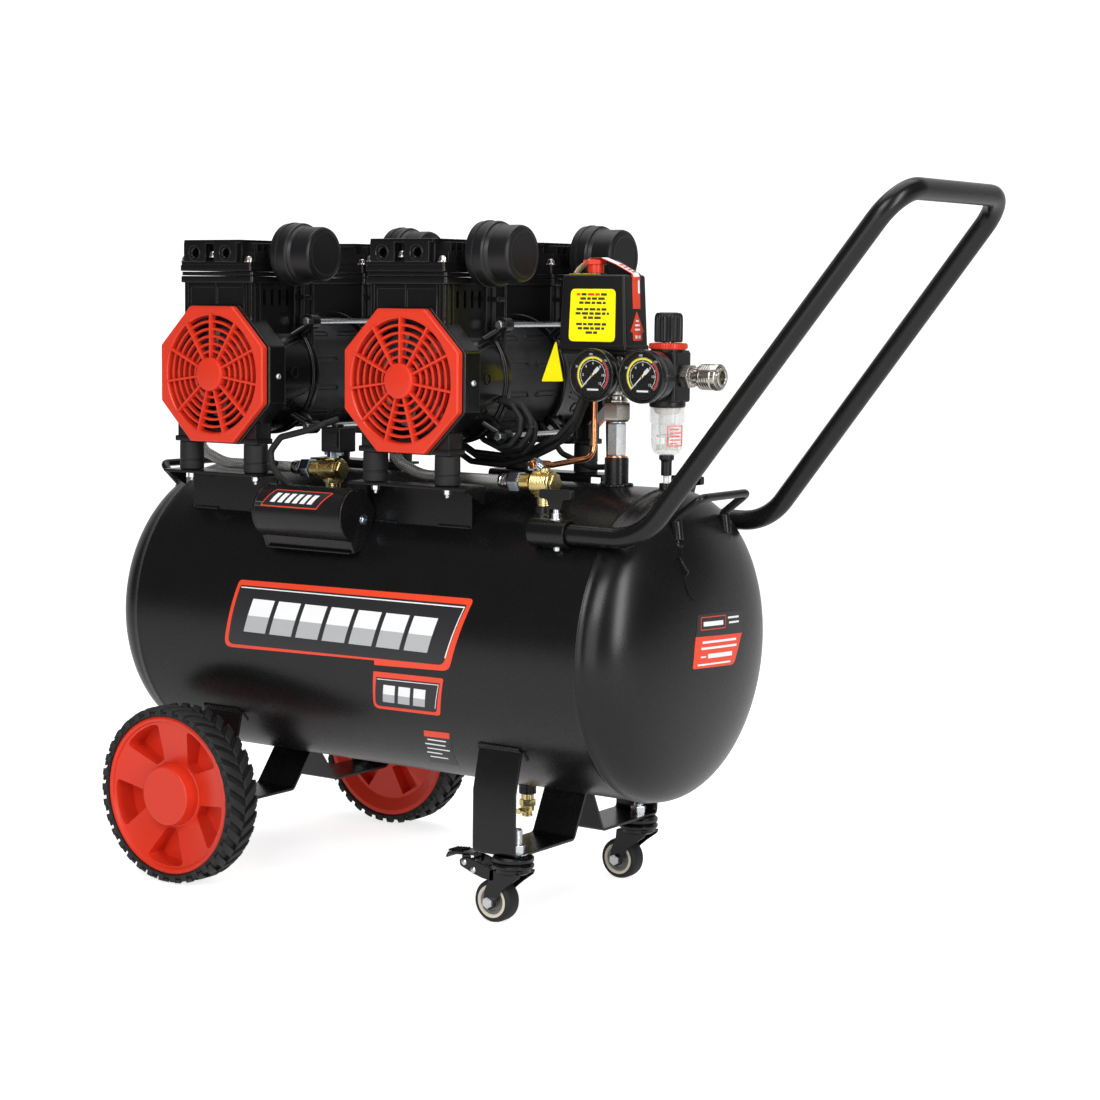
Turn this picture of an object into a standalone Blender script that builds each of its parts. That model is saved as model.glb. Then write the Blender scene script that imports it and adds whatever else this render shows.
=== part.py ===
"""Twin stack compressor: two oil-free twin-cylinder pumps on a 50 litre wheeled receiver.

Metres, +Z up, +X along the receiver towards the push handle, -Y is the front.
Positions below are measured from the middle of the receiver (x), its centre
plane (y) and the ground (z). A root empty moves everything so that the origin
of the finished object is the middle of its footprint, on the ground.
"""

import math

import bmesh
import bpy
from mathutils import Matrix, Vector

# ---------------------------------------------------------------- shared dimensions
X_CENTRE = 0.11874  # middle of the whole length, from the middle of the receiver
GAP = 0.0003  # running and assembly gap between separate pieces
SIDES = ((-1, "front"), (1, "back"))

TANK_RADIUS = 0.155
TANK_Z = 0.2717
TANK_STEPS = 36
SHEET = 0.003  # thickness of the saddles and straps
SADDLE_TOP = 0.4270
STRAP_OUTER_Y = 0.1310

WHEEL_X = -0.1957
TYRE_RADIUS = 0.0932
WHEEL_Z = TYRE_RADIUS
AXLE_RADIUS = 0.0060  # where the bolt passes through the strap

CASTER_STEM_X = 0.1840
CASTER_STEM_RADIUS = 0.0050
CASTER_Y = 0.1140

HANDLE_RADIUS = 0.0100
SLEEVE_Y = 0.1195
SLEEVE_Z = 0.3885

PUMPS = ((-0.1840, "left"), (0.0645, "right"))  # x, tag
VALVES = ((-0.0728, -0.0800, "left"), (0.1934, -0.0800, "right"))  # x, y, tag
VALVE_BUNG_TOP = 0.4090
DRAIN_X = 0.1207
DRAIN_BUNG_BOTTOM = 0.1035

MANIFOLD_X = 0.2240
POST_RADIUS = 0.0115  # round upper post of the manifold
PORT_Z = 0.5366
UNLOAD_X, UNLOAD_Y = 0.1995, -0.0040  # upright part of the unload tube
UNLOAD_RADIUS = 0.0030
REGULATOR_X = 0.2818
REGULATOR_HALF = 0.0175
REGULATOR_FACE = REGULATOR_HALF + GAP  # where neighbours of the body start

# ---------------------------------------------------------------- scene setup
for old in list(bpy.data.objects):
    bpy.data.objects.remove(old, do_unlink=True)

PARTS = bpy.data.collections.new("twin_stack_compressor")
TOOLS = bpy.data.collections.new("cutters")
bpy.context.scene.collection.children.link(PARTS)
bpy.context.scene.collection.children.link(TOOLS)

ROOT = bpy.data.objects.new("frame_origin", None)
ROOT.location = (-X_CENTRE, 0.0, 0.0)
PARTS.objects.link(ROOT)


# ---------------------------------------------------------------- materials
def material(name, colour, roughness, metallic=0.0, alpha=1.0):
    made = bpy.data.materials.new(name)
    made.use_nodes = True
    shader = made.node_tree.nodes["Principled BSDF"]
    shader.inputs["Base Color"].default_value = (*colour, 1.0)
    shader.inputs["Roughness"].default_value = roughness
    shader.inputs["Metallic"].default_value = metallic
    shader.inputs["Alpha"].default_value = alpha
    made.diffuse_color = (*colour, alpha)
    return made


def metal(name, colour, roughness):
    return material(name, colour=colour, roughness=roughness, metallic=1.0)


POWDER = material("black_powder_coat", colour=(0.014, 0.014, 0.016), roughness=0.38)
CAST = material("black_cast_alloy", colour=(0.010, 0.010, 0.011), roughness=0.30)
PLASTIC = material("black_plastic", colour=(0.018, 0.018, 0.020), roughness=0.50)
RED = material("red_plastic", colour=(0.80, 0.045, 0.015), roughness=0.35)
RUBBER = material("black_rubber", colour=(0.012, 0.012, 0.012), roughness=0.75)
ZINC = metal("zinc_plated_steel", colour=(0.62, 0.64, 0.66), roughness=0.30)
STEEL = metal("ground_steel", colour=(0.55, 0.55, 0.56), roughness=0.28)
LAMINATION = material(
    "stator_lamination", colour=(0.05, 0.05, 0.055), roughness=0.45, metallic=0.6
)
ALLOY = metal("raw_alloy", colour=(0.60, 0.60, 0.60), roughness=0.40)
BRASS = metal("brass", colour=(0.78, 0.56, 0.20), roughness=0.28)
COPPER = metal("copper", colour=(0.78, 0.36, 0.18), roughness=0.25)
NICKEL = metal("nickel_plated_brass", colour=(0.66, 0.63, 0.58), roughness=0.22)
BRAID = material("braided_steel_hose", colour=(0.42, 0.42, 0.42), roughness=0.45, metallic=0.9)
NYLON = material("cream_nylon", colour=(0.80, 0.76, 0.66), roughness=0.45)
CLEAR = material("clear_polycarbonate", colour=(0.85, 0.88, 0.90), roughness=0.08, alpha=0.35)
WHITE = material("white_enamel", colour=(0.85, 0.85, 0.85), roughness=0.40)


# ---------------------------------------------------------------- shape tools
def helper(name, data):
    """Puts a new shape among the hidden tools; part() promotes the ones that are pieces."""
    obj = bpy.data.objects.new(name, data)
    TOOLS.objects.link(obj)
    obj.parent = ROOT
    obj.hide_render = True
    obj.display_type = "WIRE"
    return obj


def open_shape(bm, name):
    mesh = bpy.data.meshes.new(name)
    bm.to_mesh(mesh)
    bm.free()
    return helper(name, mesh)


def solid_shape(bm, name):
    bmesh.ops.recalc_face_normals(bm, faces=bm.faces)
    return open_shape(bm, name)


def frame_along(origin, direction):
    turn = Vector(direction).to_track_quat("Z", "Y").to_matrix().to_4x4()
    return Matrix.Translation(origin) @ turn


def cubes(places, name):
    """One unit cube per matrix, as one shape."""
    bm = bmesh.new()
    for place in places:
        bmesh.ops.create_cube(bm, size=1.0, matrix=place)
    return solid_shape(bm, name)


def box_place(x0, x1, y0, y1, z0, z1):
    """Matrix that stretches a unit cube to these limits."""
    size = Matrix.Diagonal((abs(x1 - x0), abs(y1 - y0), abs(z1 - z0), 1.0))
    return Matrix.Translation(((x0 + x1) / 2, (y0 + y1) / 2, (z0 + z1) / 2)) @ size


def box(*limits, bevel=0.0):
    made = cubes([box_place(*limits)], "box")
    if bevel:
        made.modifiers.new("rounded_edges", "BEVEL").width = bevel
    return made


def x_bar(y, z, x0, x1, radius):
    """A bar for rods(), along X; y_bar and z_bar are alike."""
    return (x0, y, z), (x1, y, z), radius


def y_bar(x, z, y0, y1, radius):
    return (x, y0, z), (x, y1, z), radius


def z_bar(x, y, z0, z1, radius):
    return (x, y, z0), (x, y, z1), radius


def rods(*bars, sides, turn=0.0):
    """Round or polygonal bars that don't touch: (start, end, radius)."""
    bm = bmesh.new()
    for start, end, radius in bars:
        start, end = Vector(start), Vector(end)
        place = frame_along((start + end) / 2, end - start)
        bmesh.ops.create_cone(
            bm,
            cap_ends=True,
            segments=sides,
            radius1=radius,
            radius2=radius,
            depth=(end - start).length,
            matrix=place @ Matrix.Rotation(turn, 4, "Z"),
        )
    return solid_shape(bm, "rod")


def lathe(profile, origin, axis, steps):
    """Turns (radius, distance along `axis`) points. A profile whose ends meet makes a ring."""
    ring = profile[0] == profile[-1]
    points = list(profile[:-1] if ring else profile)
    closed = points + [points[0]]
    area = sum(a[0] * b[1] - b[0] * a[1] for a, b in zip(closed, closed[1:]))
    if area > 0:
        points.reverse()
    bm = bmesh.new()
    verts = [bm.verts.new((radius, 0.0, height)) for radius, height in points]
    for a, b in zip(verts, verts[1:]):
        bm.edges.new((a, b))
    if ring:
        bm.edges.new((verts[-1], verts[0]))
    made = open_shape(bm, "turned")
    made.matrix_basis = frame_along(origin, axis)
    screw = made.modifiers.new("turned", "SCREW")
    screw.axis = "Z"
    screw.steps = screw.render_steps = steps
    screw.use_merge_vertices = True
    screw.merge_threshold = 0.00001
    screw.use_smooth_shade = False
    return made


def as_mesh(obj, name):
    """Makes a curve a closed mesh, so that Boolean modifiers can use it."""
    graph = bpy.context.evaluated_depsgraph_get()
    mesh = bpy.data.meshes.new_from_object(obj.evaluated_get(graph))
    bm = bmesh.new()
    bm.from_mesh(mesh)
    bmesh.ops.remove_doubles(bm, verts=bm.verts, dist=0.00001)
    bmesh.ops.recalc_face_normals(bm, faces=bm.faces)
    bm.to_mesh(mesh)
    bm.free()
    made = helper(name, mesh)
    made.matrix_basis = obj.matrix_basis
    bpy.data.objects.remove(obj, do_unlink=True)
    return made


def curve_through(points, name, dimensions):
    """A curve object with one straight-line spline, and that spline."""
    curve = bpy.data.curves.new(name, "CURVE")
    curve.dimensions = dimensions
    spline = curve.splines.new("POLY")
    spline.points.add(len(points) - 1)
    for point, place in zip(spline.points, points):
        point.co = (*place, 1.0)
    obj = bpy.data.objects.new(name, curve)
    TOOLS.objects.link(obj)
    return obj, spline


def prism(outline, axis, low, high):
    """A flat outline with thickness. Points are (y, z) for axis X, (x, z) for axis Y."""
    obj, spline = curve_through([(u, v, 0.0) for u, v in outline], "outline", "2D")
    spline.use_cyclic_u = True
    obj.data.fill_mode = "BOTH"
    obj.data.extrude = (high - low) / 2
    middle = (low + high) / 2
    turns = {
        "X": Matrix(((0, 0, 1, middle), (1, 0, 0, 0), (0, 1, 0, 0), (0, 0, 0, 1))),
        "Y": Matrix(((1, 0, 0, 0), (0, 0, -1, middle), (0, 1, 0, 0), (0, 0, 0, 1))),
    }
    obj.matrix_basis = turns[axis]
    return as_mesh(obj, "prism")


def rounded(points, bends, steps):
    """The polyline with each inner corner replaced by an arc; one bend radius per corner."""
    points = [Vector(p) for p in points]
    path = [points[0]]
    for before, corner, after, bend in zip(points, points[1:], points[2:], bends):
        to_start = (before - corner).normalized()
        to_end = (after - corner).normalized()
        half = to_start.angle(to_end) / 2
        reach = bend / math.tan(half)
        centre = corner + (to_start + to_end).normalized() * (bend / math.sin(half))
        first = (corner + to_start * reach - centre).normalized()
        last = (corner + to_end * reach - centre).normalized()
        for i in range(steps + 1):
            path.append(centre + first.slerp(last, i / steps) * bend)
    path.append(points[-1])
    return path


def tube(path, radius, name):
    obj, _ = curve_through(path, name, "3D")
    obj.data.bevel_depth = radius
    obj.data.bevel_resolution = 2
    obj.data.use_fill_caps = True
    return as_mesh(obj, name)


def sheet(line, low, high):
    """Bent strip: a (y, z) line extruded along X, thickened about its middle."""
    bm = bmesh.new()
    rows = [[bm.verts.new((x, y, z)) for y, z in line] for x in (low, high)]
    for i in range(len(line) - 1):
        bm.faces.new((rows[0][i], rows[0][i + 1], rows[1][i + 1], rows[1][i]))
    made = open_shape(bm, "sheet")
    shell = made.modifiers.new("thickness", "SOLIDIFY")
    shell.thickness = SHEET
    shell.offset = 0.0
    shell.use_even_offset = True
    return made


def boolean(obj, other, operation):
    modifier = obj.modifiers.new(operation.lower(), "BOOLEAN")
    modifier.operation = operation
    modifier.solver = "EXACT"
    modifier.object = other


def part(name, base, finish, add=(), cut=(), late=(), joint=None):
    """Names `base` as a finished piece. `late` is added after the cuts."""
    for other in add:
        boolean(base, other, "UNION")
    for other in cut:
        boolean(base, other, "DIFFERENCE")
    for other in late:
        boolean(base, other, "UNION")
    TOOLS.objects.unlink(base)
    PARTS.objects.link(base)
    base.name = name
    base.data.name = name
    base.hide_render = False
    base.display_type = "TEXTURED"
    base.data.materials.append(finish)
    for face in base.data.polygons:
        face.use_smooth = False
    if joint is not None:
        base.parent = joint
        base.matrix_parent_inverse = Matrix.Translation(-joint.location)


def joint_at(name, place):
    """An empty on a joint's axis, which carries the pieces that move with it."""
    empty = bpy.data.objects.new(name, None)
    PARTS.objects.link(empty)
    empty.parent = ROOT
    empty.location = place
    return empty


# ---------------------------------------------------------------- receiver
TANK_SEAM_X = 0.2837
TANK_DOME = 0.0589
TANK_WALL = 0.0028
SIDE_WALL_EXTRA = 0.0004  # the cylinder wall is this much thicker than the domes
DOME_POWERS = (0.80, 0.92)  # shape of the dish: power of the cosine, of the sine

SADDLES = (  # x of the bent sheet, x of the flat top plate
    (-0.2444, -0.1275, -0.2586, -0.1275),
    (-0.0075, 0.1242, -0.0075, 0.1390),
)
STRAPS = (  # x from, x to, underside z, y of the inner bend
    (0.1480, 0.2000, 0.0690, 0.0270),
    (-0.2160, -0.1640, 0.0755, 0.0360),
)
HOOK_LEG = ((0.3235, 0.3790), (0.3190, 0.4007), (0.3480, 0.4235))  # x, z
HOOK_BENDS = (0.006, 0.008, 0.008, 0.006)
HOOK_HALF_WIDTH = 0.045
CASTER_STEM = (  # radius, z
    (0.0, 0.0950), (CASTER_STEM_RADIUS, 0.0950), (CASTER_STEM_RADIUS, 0.0800),
    (0.0085, 0.0800), (0.0085, 0.0695), (0.0200, 0.0695), (0.0200, 0.0628),
    (CASTER_STEM_RADIUS, 0.0628), (CASTER_STEM_RADIUS, 0.0505), (0.0070, 0.0480), (0.0, 0.0480),
)


def receiver_shape(radius, dome, rings):
    """Cylinder with two dished ends, closed on its axis."""
    cos_power, sin_power = DOME_POWERS
    end = [
        (radius * math.cos(t) ** cos_power, TANK_SEAM_X + dome * math.sin(t) ** sin_power)
        for t in (i * math.pi / 2 / rings for i in range(rings))
    ]
    end.append((0.0, TANK_SEAM_X + dome))
    profile = [(r, -h) for r, h in reversed(end)] + end
    return lathe(profile, (0, 0, TANK_Z), (1, 0, 0), TANK_STEPS)


def saddle(side, x0, x1, top0, top1):
    """Bent sheet on the receiver's shoulder and the flat plate merged into its top."""
    middle = SADDLE_TOP - SHEET / 2
    line = [(side * y, z) for y, z in ((0.1045, 0.3843), (0.1045, middle), (0.1370, middle))]
    plate = box(top0, top1, side * 0.1030, side * 0.1370, SADDLE_TOP - SHEET, SADDLE_TOP)
    return [sheet(line, x0, x1), plate]


def strap(side, x0, x1, low, bend):
    """Strap from the receiver down to a wheel or caster, and back in under the receiver."""
    upright = STRAP_OUTER_Y - SHEET / 2
    middle = low + SHEET / 2
    line = (
        (0.1275, 0.1845), (upright, 0.1410), (upright, middle), (bend, middle), (0.0045, 0.1175),
    )
    return sheet([(side * y, z) for y, z in line], x0, x1)


def lifting_hook(end):
    """Bent rod loop welded to the shoulder of a dished end."""
    legs = ((-HOOK_HALF_WIDTH, HOOK_LEG), (HOOK_HALF_WIDTH, HOOK_LEG[::-1]))
    loop = [(end * x, y, z) for y, leg in legs for x, z in leg]
    return tube(rounded(loop, HOOK_BENDS, 2), 0.0040, "lifting_hook")


def at_handle_sleeves(x0, x1, radius):
    return [rods(x_bar(s * SLEEVE_Y, SLEEVE_Z, x0, x1, radius), sides=16) for s, _ in SIDES]


saddles = [piece for row in SADDLES for side, _ in SIDES for piece in saddle(side, *row)]
straps = [strap(side, *row) for row in STRAPS for side, _ in SIDES]
# Each caster's stem is tightened in its strap for good, so it belongs to the weldment here.
caster_stems = [
    lathe(CASTER_STEM, (CASTER_STEM_X, side * CASTER_Y, 0), (0, 0, 1), 10) for side, _ in SIDES
]
bungs = [
    rods(z_bar(MANIFOLD_X, 0, 0.4180, 0.4543, 0.0120), sides=16),
    rods(z_bar(DRAIN_X, 0, 0.1250, DRAIN_BUNG_BOTTOM, 0.0090), sides=12),
] + [rods(z_bar(x, y, 0.3985, VALVE_BUNG_TOP, 0.0095), sides=12) for x, y, _ in VALVES]
openings = [
    rods(z_bar(MANIFOLD_X, 0, 0.3900, 0.4600, 0.0065), sides=10),
    rods(z_bar(DRAIN_X, 0, 0.1400, 0.0950, 0.0040), sides=8),
] + [rods(z_bar(x, y, 0.3850, 0.4150, 0.0050), sides=8) for x, y, _ in VALVES]
axle_holes = [
    rods(y_bar(WHEEL_X, WHEEL_Z, s * 0.1200, s * 0.1400, AXLE_RADIUS + GAP), sides=12)
    for s, _ in SIDES
]
part(
    "receiver_tank",
    receiver_shape(TANK_RADIUS, TANK_DOME, 5),
    POWDER,
    add=saddles + at_handle_sleeves(0.2080, 0.2500, 0.0136) + straps + caster_stems + bungs
    + [lifting_hook(1), lifting_hook(-1)],
    cut=[receiver_shape(TANK_RADIUS - TANK_WALL - SIDE_WALL_EXTRA, TANK_DOME - TANK_WALL, 4)]
    + openings + at_handle_sleeves(0.2010, 0.2590, HANDLE_RADIUS + GAP) + axle_holes,
)

# ---------------------------------------------------------------- push handle
HANDLE_LEG = (  # x, y, z from the sleeve up to the grip
    (0.2090, SLEEVE_Y, SLEEVE_Z),
    (0.3293, 0.1190, SLEEVE_Z),
    (0.5795, 0.1090, 0.7087),
)
HANDLE_BENDS = (0.060, 0.036, 0.036, 0.060)

handle_route = [(x, -y, z) for x, y, z in HANDLE_LEG] + list(HANDLE_LEG[::-1])
handle_path = rounded(handle_route, HANDLE_BENDS, 6)
part("push_handle", tube(handle_path, HANDLE_RADIUS, "push_handle"), POWDER)

# ---------------------------------------------------------------- wheels
# Profiles are radius, distance out from the centre plane.
RIM_RADIUS = 0.0830
RIM = (
    (0.0, 0.2052), (0.0320, 0.2052), (0.0330, 0.1990), (0.0640, 0.1990), (0.0800, 0.2030),
    (RIM_RADIUS, 0.2020), (RIM_RADIUS, 0.1640), (0.0780, 0.1640), (0.0650, 0.1840),
    (0.0200, 0.1780), (0.0200, 0.1625), (0.0100, 0.1625), (0.0100, 0.1990), (0.0, 0.1990),
)
RIM_WINDOW = (  # corners: radius, angle in radians from the window's middle
    (0.036, 0.0), (0.069, 0.40), (0.0735, 0.14), (0.0735, -0.14), (0.069, -0.40),
)
TYRE_BORE = RIM_RADIUS + GAP
TYRE = (
    (TYRE_BORE, 0.1630), (0.0885, 0.1621), (TYRE_RADIUS, 0.1670), (TYRE_RADIUS, 0.1985),
    (0.0890, 0.2040), (TYRE_BORE, 0.2035), (TYRE_BORE, 0.1630),
)
BOLT_INNER_FACE = STRAP_OUTER_Y - SHEET - GAP
BOLT_OUTER_FACE = STRAP_OUTER_Y + GAP
AXLE_BOLT = (
    (0.0, 0.1170), (0.0100, 0.1170), (0.0100, BOLT_INNER_FACE), (AXLE_RADIUS, BOLT_INNER_FACE),
    (AXLE_RADIUS, BOLT_OUTER_FACE), (0.0120, BOLT_OUTER_FACE), (0.0120, 0.1620),
    (0.0096, 0.1620), (0.0096, 0.1980), (0.0, 0.1980),
)


def rim_window(side, index):
    """Cutter for one of five openings through the rim."""
    turn = math.radians(36 + 72 * index)
    outline = [
        (WHEEL_X + r * math.sin(turn + a), WHEEL_Z + r * math.cos(turn + a)) for r, a in RIM_WINDOW
    ]
    return prism(outline, "Y", *sorted((side * 0.150, side * 0.215)))


def wheel(side, tag):
    centre = (WHEEL_X, 0, WHEEL_Z)
    outward = (0, side, 0)
    spin = joint_at("wheel_axis_" + tag, (WHEEL_X, side * 0.1836, WHEEL_Z))
    windows = [rim_window(side, i) for i in range(5)]
    part("wheel_rim_" + tag, lathe(RIM, centre, outward, 25), RED, cut=windows, joint=spin)
    part("tyre_" + tag, lathe(TYRE, centre, outward, 25), RUBBER, joint=spin)
    part("axle_bolt_" + tag, lathe(AXLE_BOLT, centre, outward, 10), ZINC)


for side, tag in SIDES:
    wheel(side, tag)

# ---------------------------------------------------------------- casters
CASTER_X = 0.1650
CASTER_RADIUS = 0.0215
CASTER_AXLE_RADIUS = 0.0032
CHEEK_INNER = 0.0113  # from the caster's middle plane
CHEEK_THICKNESS = 0.0020
BRAKE_X, BRAKE_Z = 0.1340, 0.0570
BRAKE_PIN_RADIUS = 0.0020

RACE_BORE = CASTER_STEM_RADIUS + GAP
RACE = (  # radius, z
    (RACE_BORE, 0.0623), (0.0195, 0.0623), (0.0205, 0.0590), (0.0190, 0.0510),
    (RACE_BORE, 0.0510), (RACE_BORE, 0.0623),
)
FORK_LEG = (  # x, z
    (0.1660, 0.0530), (0.1990, 0.0530), (0.1735, 0.0200), (0.1690, 0.0150), (0.1610, 0.0150),
    (0.1570, 0.0200),
)
BRAKE_ARM = (  # x, z
    (0.1690, 0.0525), (0.1690, 0.0420), (0.1500, 0.0455), (0.1290, 0.0540), (0.1290, 0.0605),
    (0.1390, 0.0610),
)
CASTER_BORE = CASTER_AXLE_RADIUS + GAP
CASTER_WHEEL = (  # radius, distance back from the caster's middle plane
    (CASTER_BORE, -0.0100), (0.0185, -0.0105), (CASTER_RADIUS, -0.0060), (CASTER_RADIUS, 0.0060),
    (0.0185, 0.0105), (CASTER_BORE, 0.0100), (CASTER_BORE, -0.0100),
)
BRAKE_PEDAL = (  # x, z
    (0.1110, 0.0630), (0.1150, 0.0650), (0.1440, 0.0672), (0.1450, 0.0642), (0.1390, 0.0625),
    (0.1385, 0.0545), (0.1340, 0.0520), (0.1300, 0.0545), (0.1290, 0.0622), (0.1160, 0.0618),
)


def cheeks(outline, y):
    """The same plate on both sides of a caster wheel."""
    lows = (y + CHEEK_INNER, y - CHEEK_INNER - CHEEK_THICKNESS)
    return [prism(outline, "Y", low, low + CHEEK_THICKNESS) for low in lows]


def caster(side, tag):
    y = side * CASTER_Y
    swivel = joint_at("caster_swivel_axis_" + tag, (CASTER_STEM_X, y, 0.0590))
    roll = joint_at("caster_roll_axis_" + tag, (CASTER_X, y, CASTER_RADIUS))
    axle = y_bar(CASTER_X, CASTER_RADIUS, y - 0.0165, y + 0.0165, CASTER_AXLE_RADIUS)
    heads = [
        y_bar(CASTER_X, CASTER_RADIUS, y + s * 0.0132, y + s * 0.0170, 0.0058) for s in (-1, 1)
    ]
    fork = cheeks(FORK_LEG, y) + [rods(axle, sides=12), rods(*heads, sides=6)]
    if tag == "front":  # only this caster has a brake
        pin = y_bar(BRAKE_X, BRAKE_Z, y - 0.0140, y + 0.0140, BRAKE_PIN_RADIUS)
        fork += cheeks(BRAKE_ARM, y) + [rods(pin, sides=10)]
    race = lathe(RACE, (CASTER_STEM_X, y, 0), (0, 0, 1), 16)
    part("caster_fork_" + tag, race, POWDER, add=fork, joint=swivel)
    roller = lathe(CASTER_WHEEL, (CASTER_X, y, CASTER_RADIUS), (0, 1, 0), 22)
    part("caster_wheel_" + tag, roller, NYLON, joint=roll)


for side, tag in SIDES:
    caster(side, tag)

pedal_hole = y_bar(
    BRAKE_X, BRAKE_Z, -CASTER_Y - 0.02, -CASTER_Y + 0.02, BRAKE_PIN_RADIUS + GAP
)
part(
    "brake_pedal",
    prism(BRAKE_PEDAL, "Y", -CASTER_Y - 0.0105, -CASTER_Y + 0.0105),
    POWDER,
    cut=[rods(pedal_hole, sides=10)],
    joint=joint_at("brake_pedal_axis", (BRAKE_X, -CASTER_Y, BRAKE_Z)),
)

# ---------------------------------------------------------------- pumps
SHAFT_Z = 0.5288
CUP_RADIUS = 0.0625
CHAMBER_RADIUS = 0.0575
STATOR_RADIUS = 0.0590
STATOR_HALF = 0.0527
ROTOR_RADIUS = 0.0310
STATOR_BORE = ROTOR_RADIUS + 0.0006
THROW = 0.0100
BORE_RADIUS = 0.0316
PISTON_Y = 0.0910  # distance of each cylinder axis from the centre plane
SLOT_HALF = 0.0110  # half the distance between the centres of the piston eye's round ends
FOOT_OFFSETS = (-0.0478, 0.0418)  # x, from the middle of the pump
FOOT_Y = 0.1220
CASE_FLANGE_Y = (0.0455, 0.1370)  # shared by the flange and the head on it
EYES = [(x, z) for x in (-0.0600, 0.0600) for z in (-0.0550, 0.0550)]  # from the shaft
WEB_START = 0.70  # share of the way from the shaft to an eye
FAN_BLADES = 5
BLADE_SIZE = (0.0300, 0.0130, 0.0014)
BLADE_PITCH = math.radians(25)
GRILLE_SPOKES = 11
SPOKE_SIZE = (0.0022, 0.0044, 0.0490)

INTAKE_FILTER = (  # radius, distance in +X from the middle of the pump
    (0.0, 0.0478), (0.0110, 0.0478), (0.0110, 0.0590), (0.0320, 0.0600), (0.0320, 0.0810),
    (0.0280, 0.0860), (0.0280, 0.1080), (0.0, 0.1080),
)


def span(side, inner, outer):
    """The two distances from the centre plane as y limits, lowest first."""
    return sorted((side * inner, side * outer))


def shaft_bar(x, y0, y1, radius):
    return y_bar(x, SHAFT_Z, y0, y1, radius)


def octagon(x, y0, y1, across_flats):
    """Eight-sided block about the shaft, flat side up."""
    radius = across_flats / 2 / math.cos(math.pi / 8)
    return rods(shaft_bar(x, y0, y1, radius), sides=8, turn=math.pi / 8)


def stadium(x, radius, steps=6):
    """Slotted eye around the shaft, (x, z): the crank pin turns inside it with room to spare."""
    outline = []
    for rise, start in ((SLOT_HALF, 0.0), (-SLOT_HALF, math.pi)):
        for i in range(steps + 1):
            t = start + i * math.pi / steps
            outline.append((x + radius * math.cos(t), SHAFT_Z + rise + radius * math.sin(t)))
    return outline


def stator(x, unit):
    ring = (
        (STATOR_BORE, -STATOR_HALF), (STATOR_RADIUS, -STATOR_HALF), (STATOR_RADIUS, STATOR_HALF),
        (STATOR_BORE, STATOR_HALF), (STATOR_BORE, -STATOR_HALF),
    )
    part("stator_" + unit, lathe(ring, (x, 0, SHAFT_Z), (0, 1, 0), 24), LAMINATION)


def blade_place(x, side, index):
    return (
        Matrix.Translation((x, side * 0.1255, SHAFT_Z))
        @ Matrix.Rotation(index * math.tau / FAN_BLADES, 4, "Y")
        @ Matrix.Translation((0.0320, 0, 0))
        @ Matrix.Rotation(BLADE_PITCH * side, 4, "Z")
        @ Matrix.Diagonal((*BLADE_SIZE, 1.0))
    )


def rotor(x, unit):
    """Shaft with the rotor, two opposed crank throws and a fan at each end."""
    throws = [shaft_bar(x - s * THROW, s * 0.083, s * 0.099, 0.014) for s in (-1, 1)]
    fan_discs = [shaft_bar(x, s * 0.1180, s * 0.1196, 0.050) for s in (-1, 1)]
    fan_hubs = [shaft_bar(x, s * 0.1178, s * 0.1330, 0.0130) for s in (-1, 1)]
    blades = [blade_place(x, s, i) for s in (-1, 1) for i in range(FAN_BLADES)]
    part(
        "rotor_shaft_" + unit,
        rods(shaft_bar(x, -0.1335, 0.1335, 0.0075), sides=12),
        STEEL,
        add=[
            rods(shaft_bar(x, -0.040, 0.040, ROTOR_RADIUS), sides=16),
            rods(*throws, sides=12),
            rods(*fan_discs, sides=12),
            rods(*fan_hubs, sides=8),
            cubes(blades, "fan_blades"),
        ],
        joint=joint_at("rotor_axis_" + unit, (x, 0, SHAFT_Z)),
    )


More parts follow.
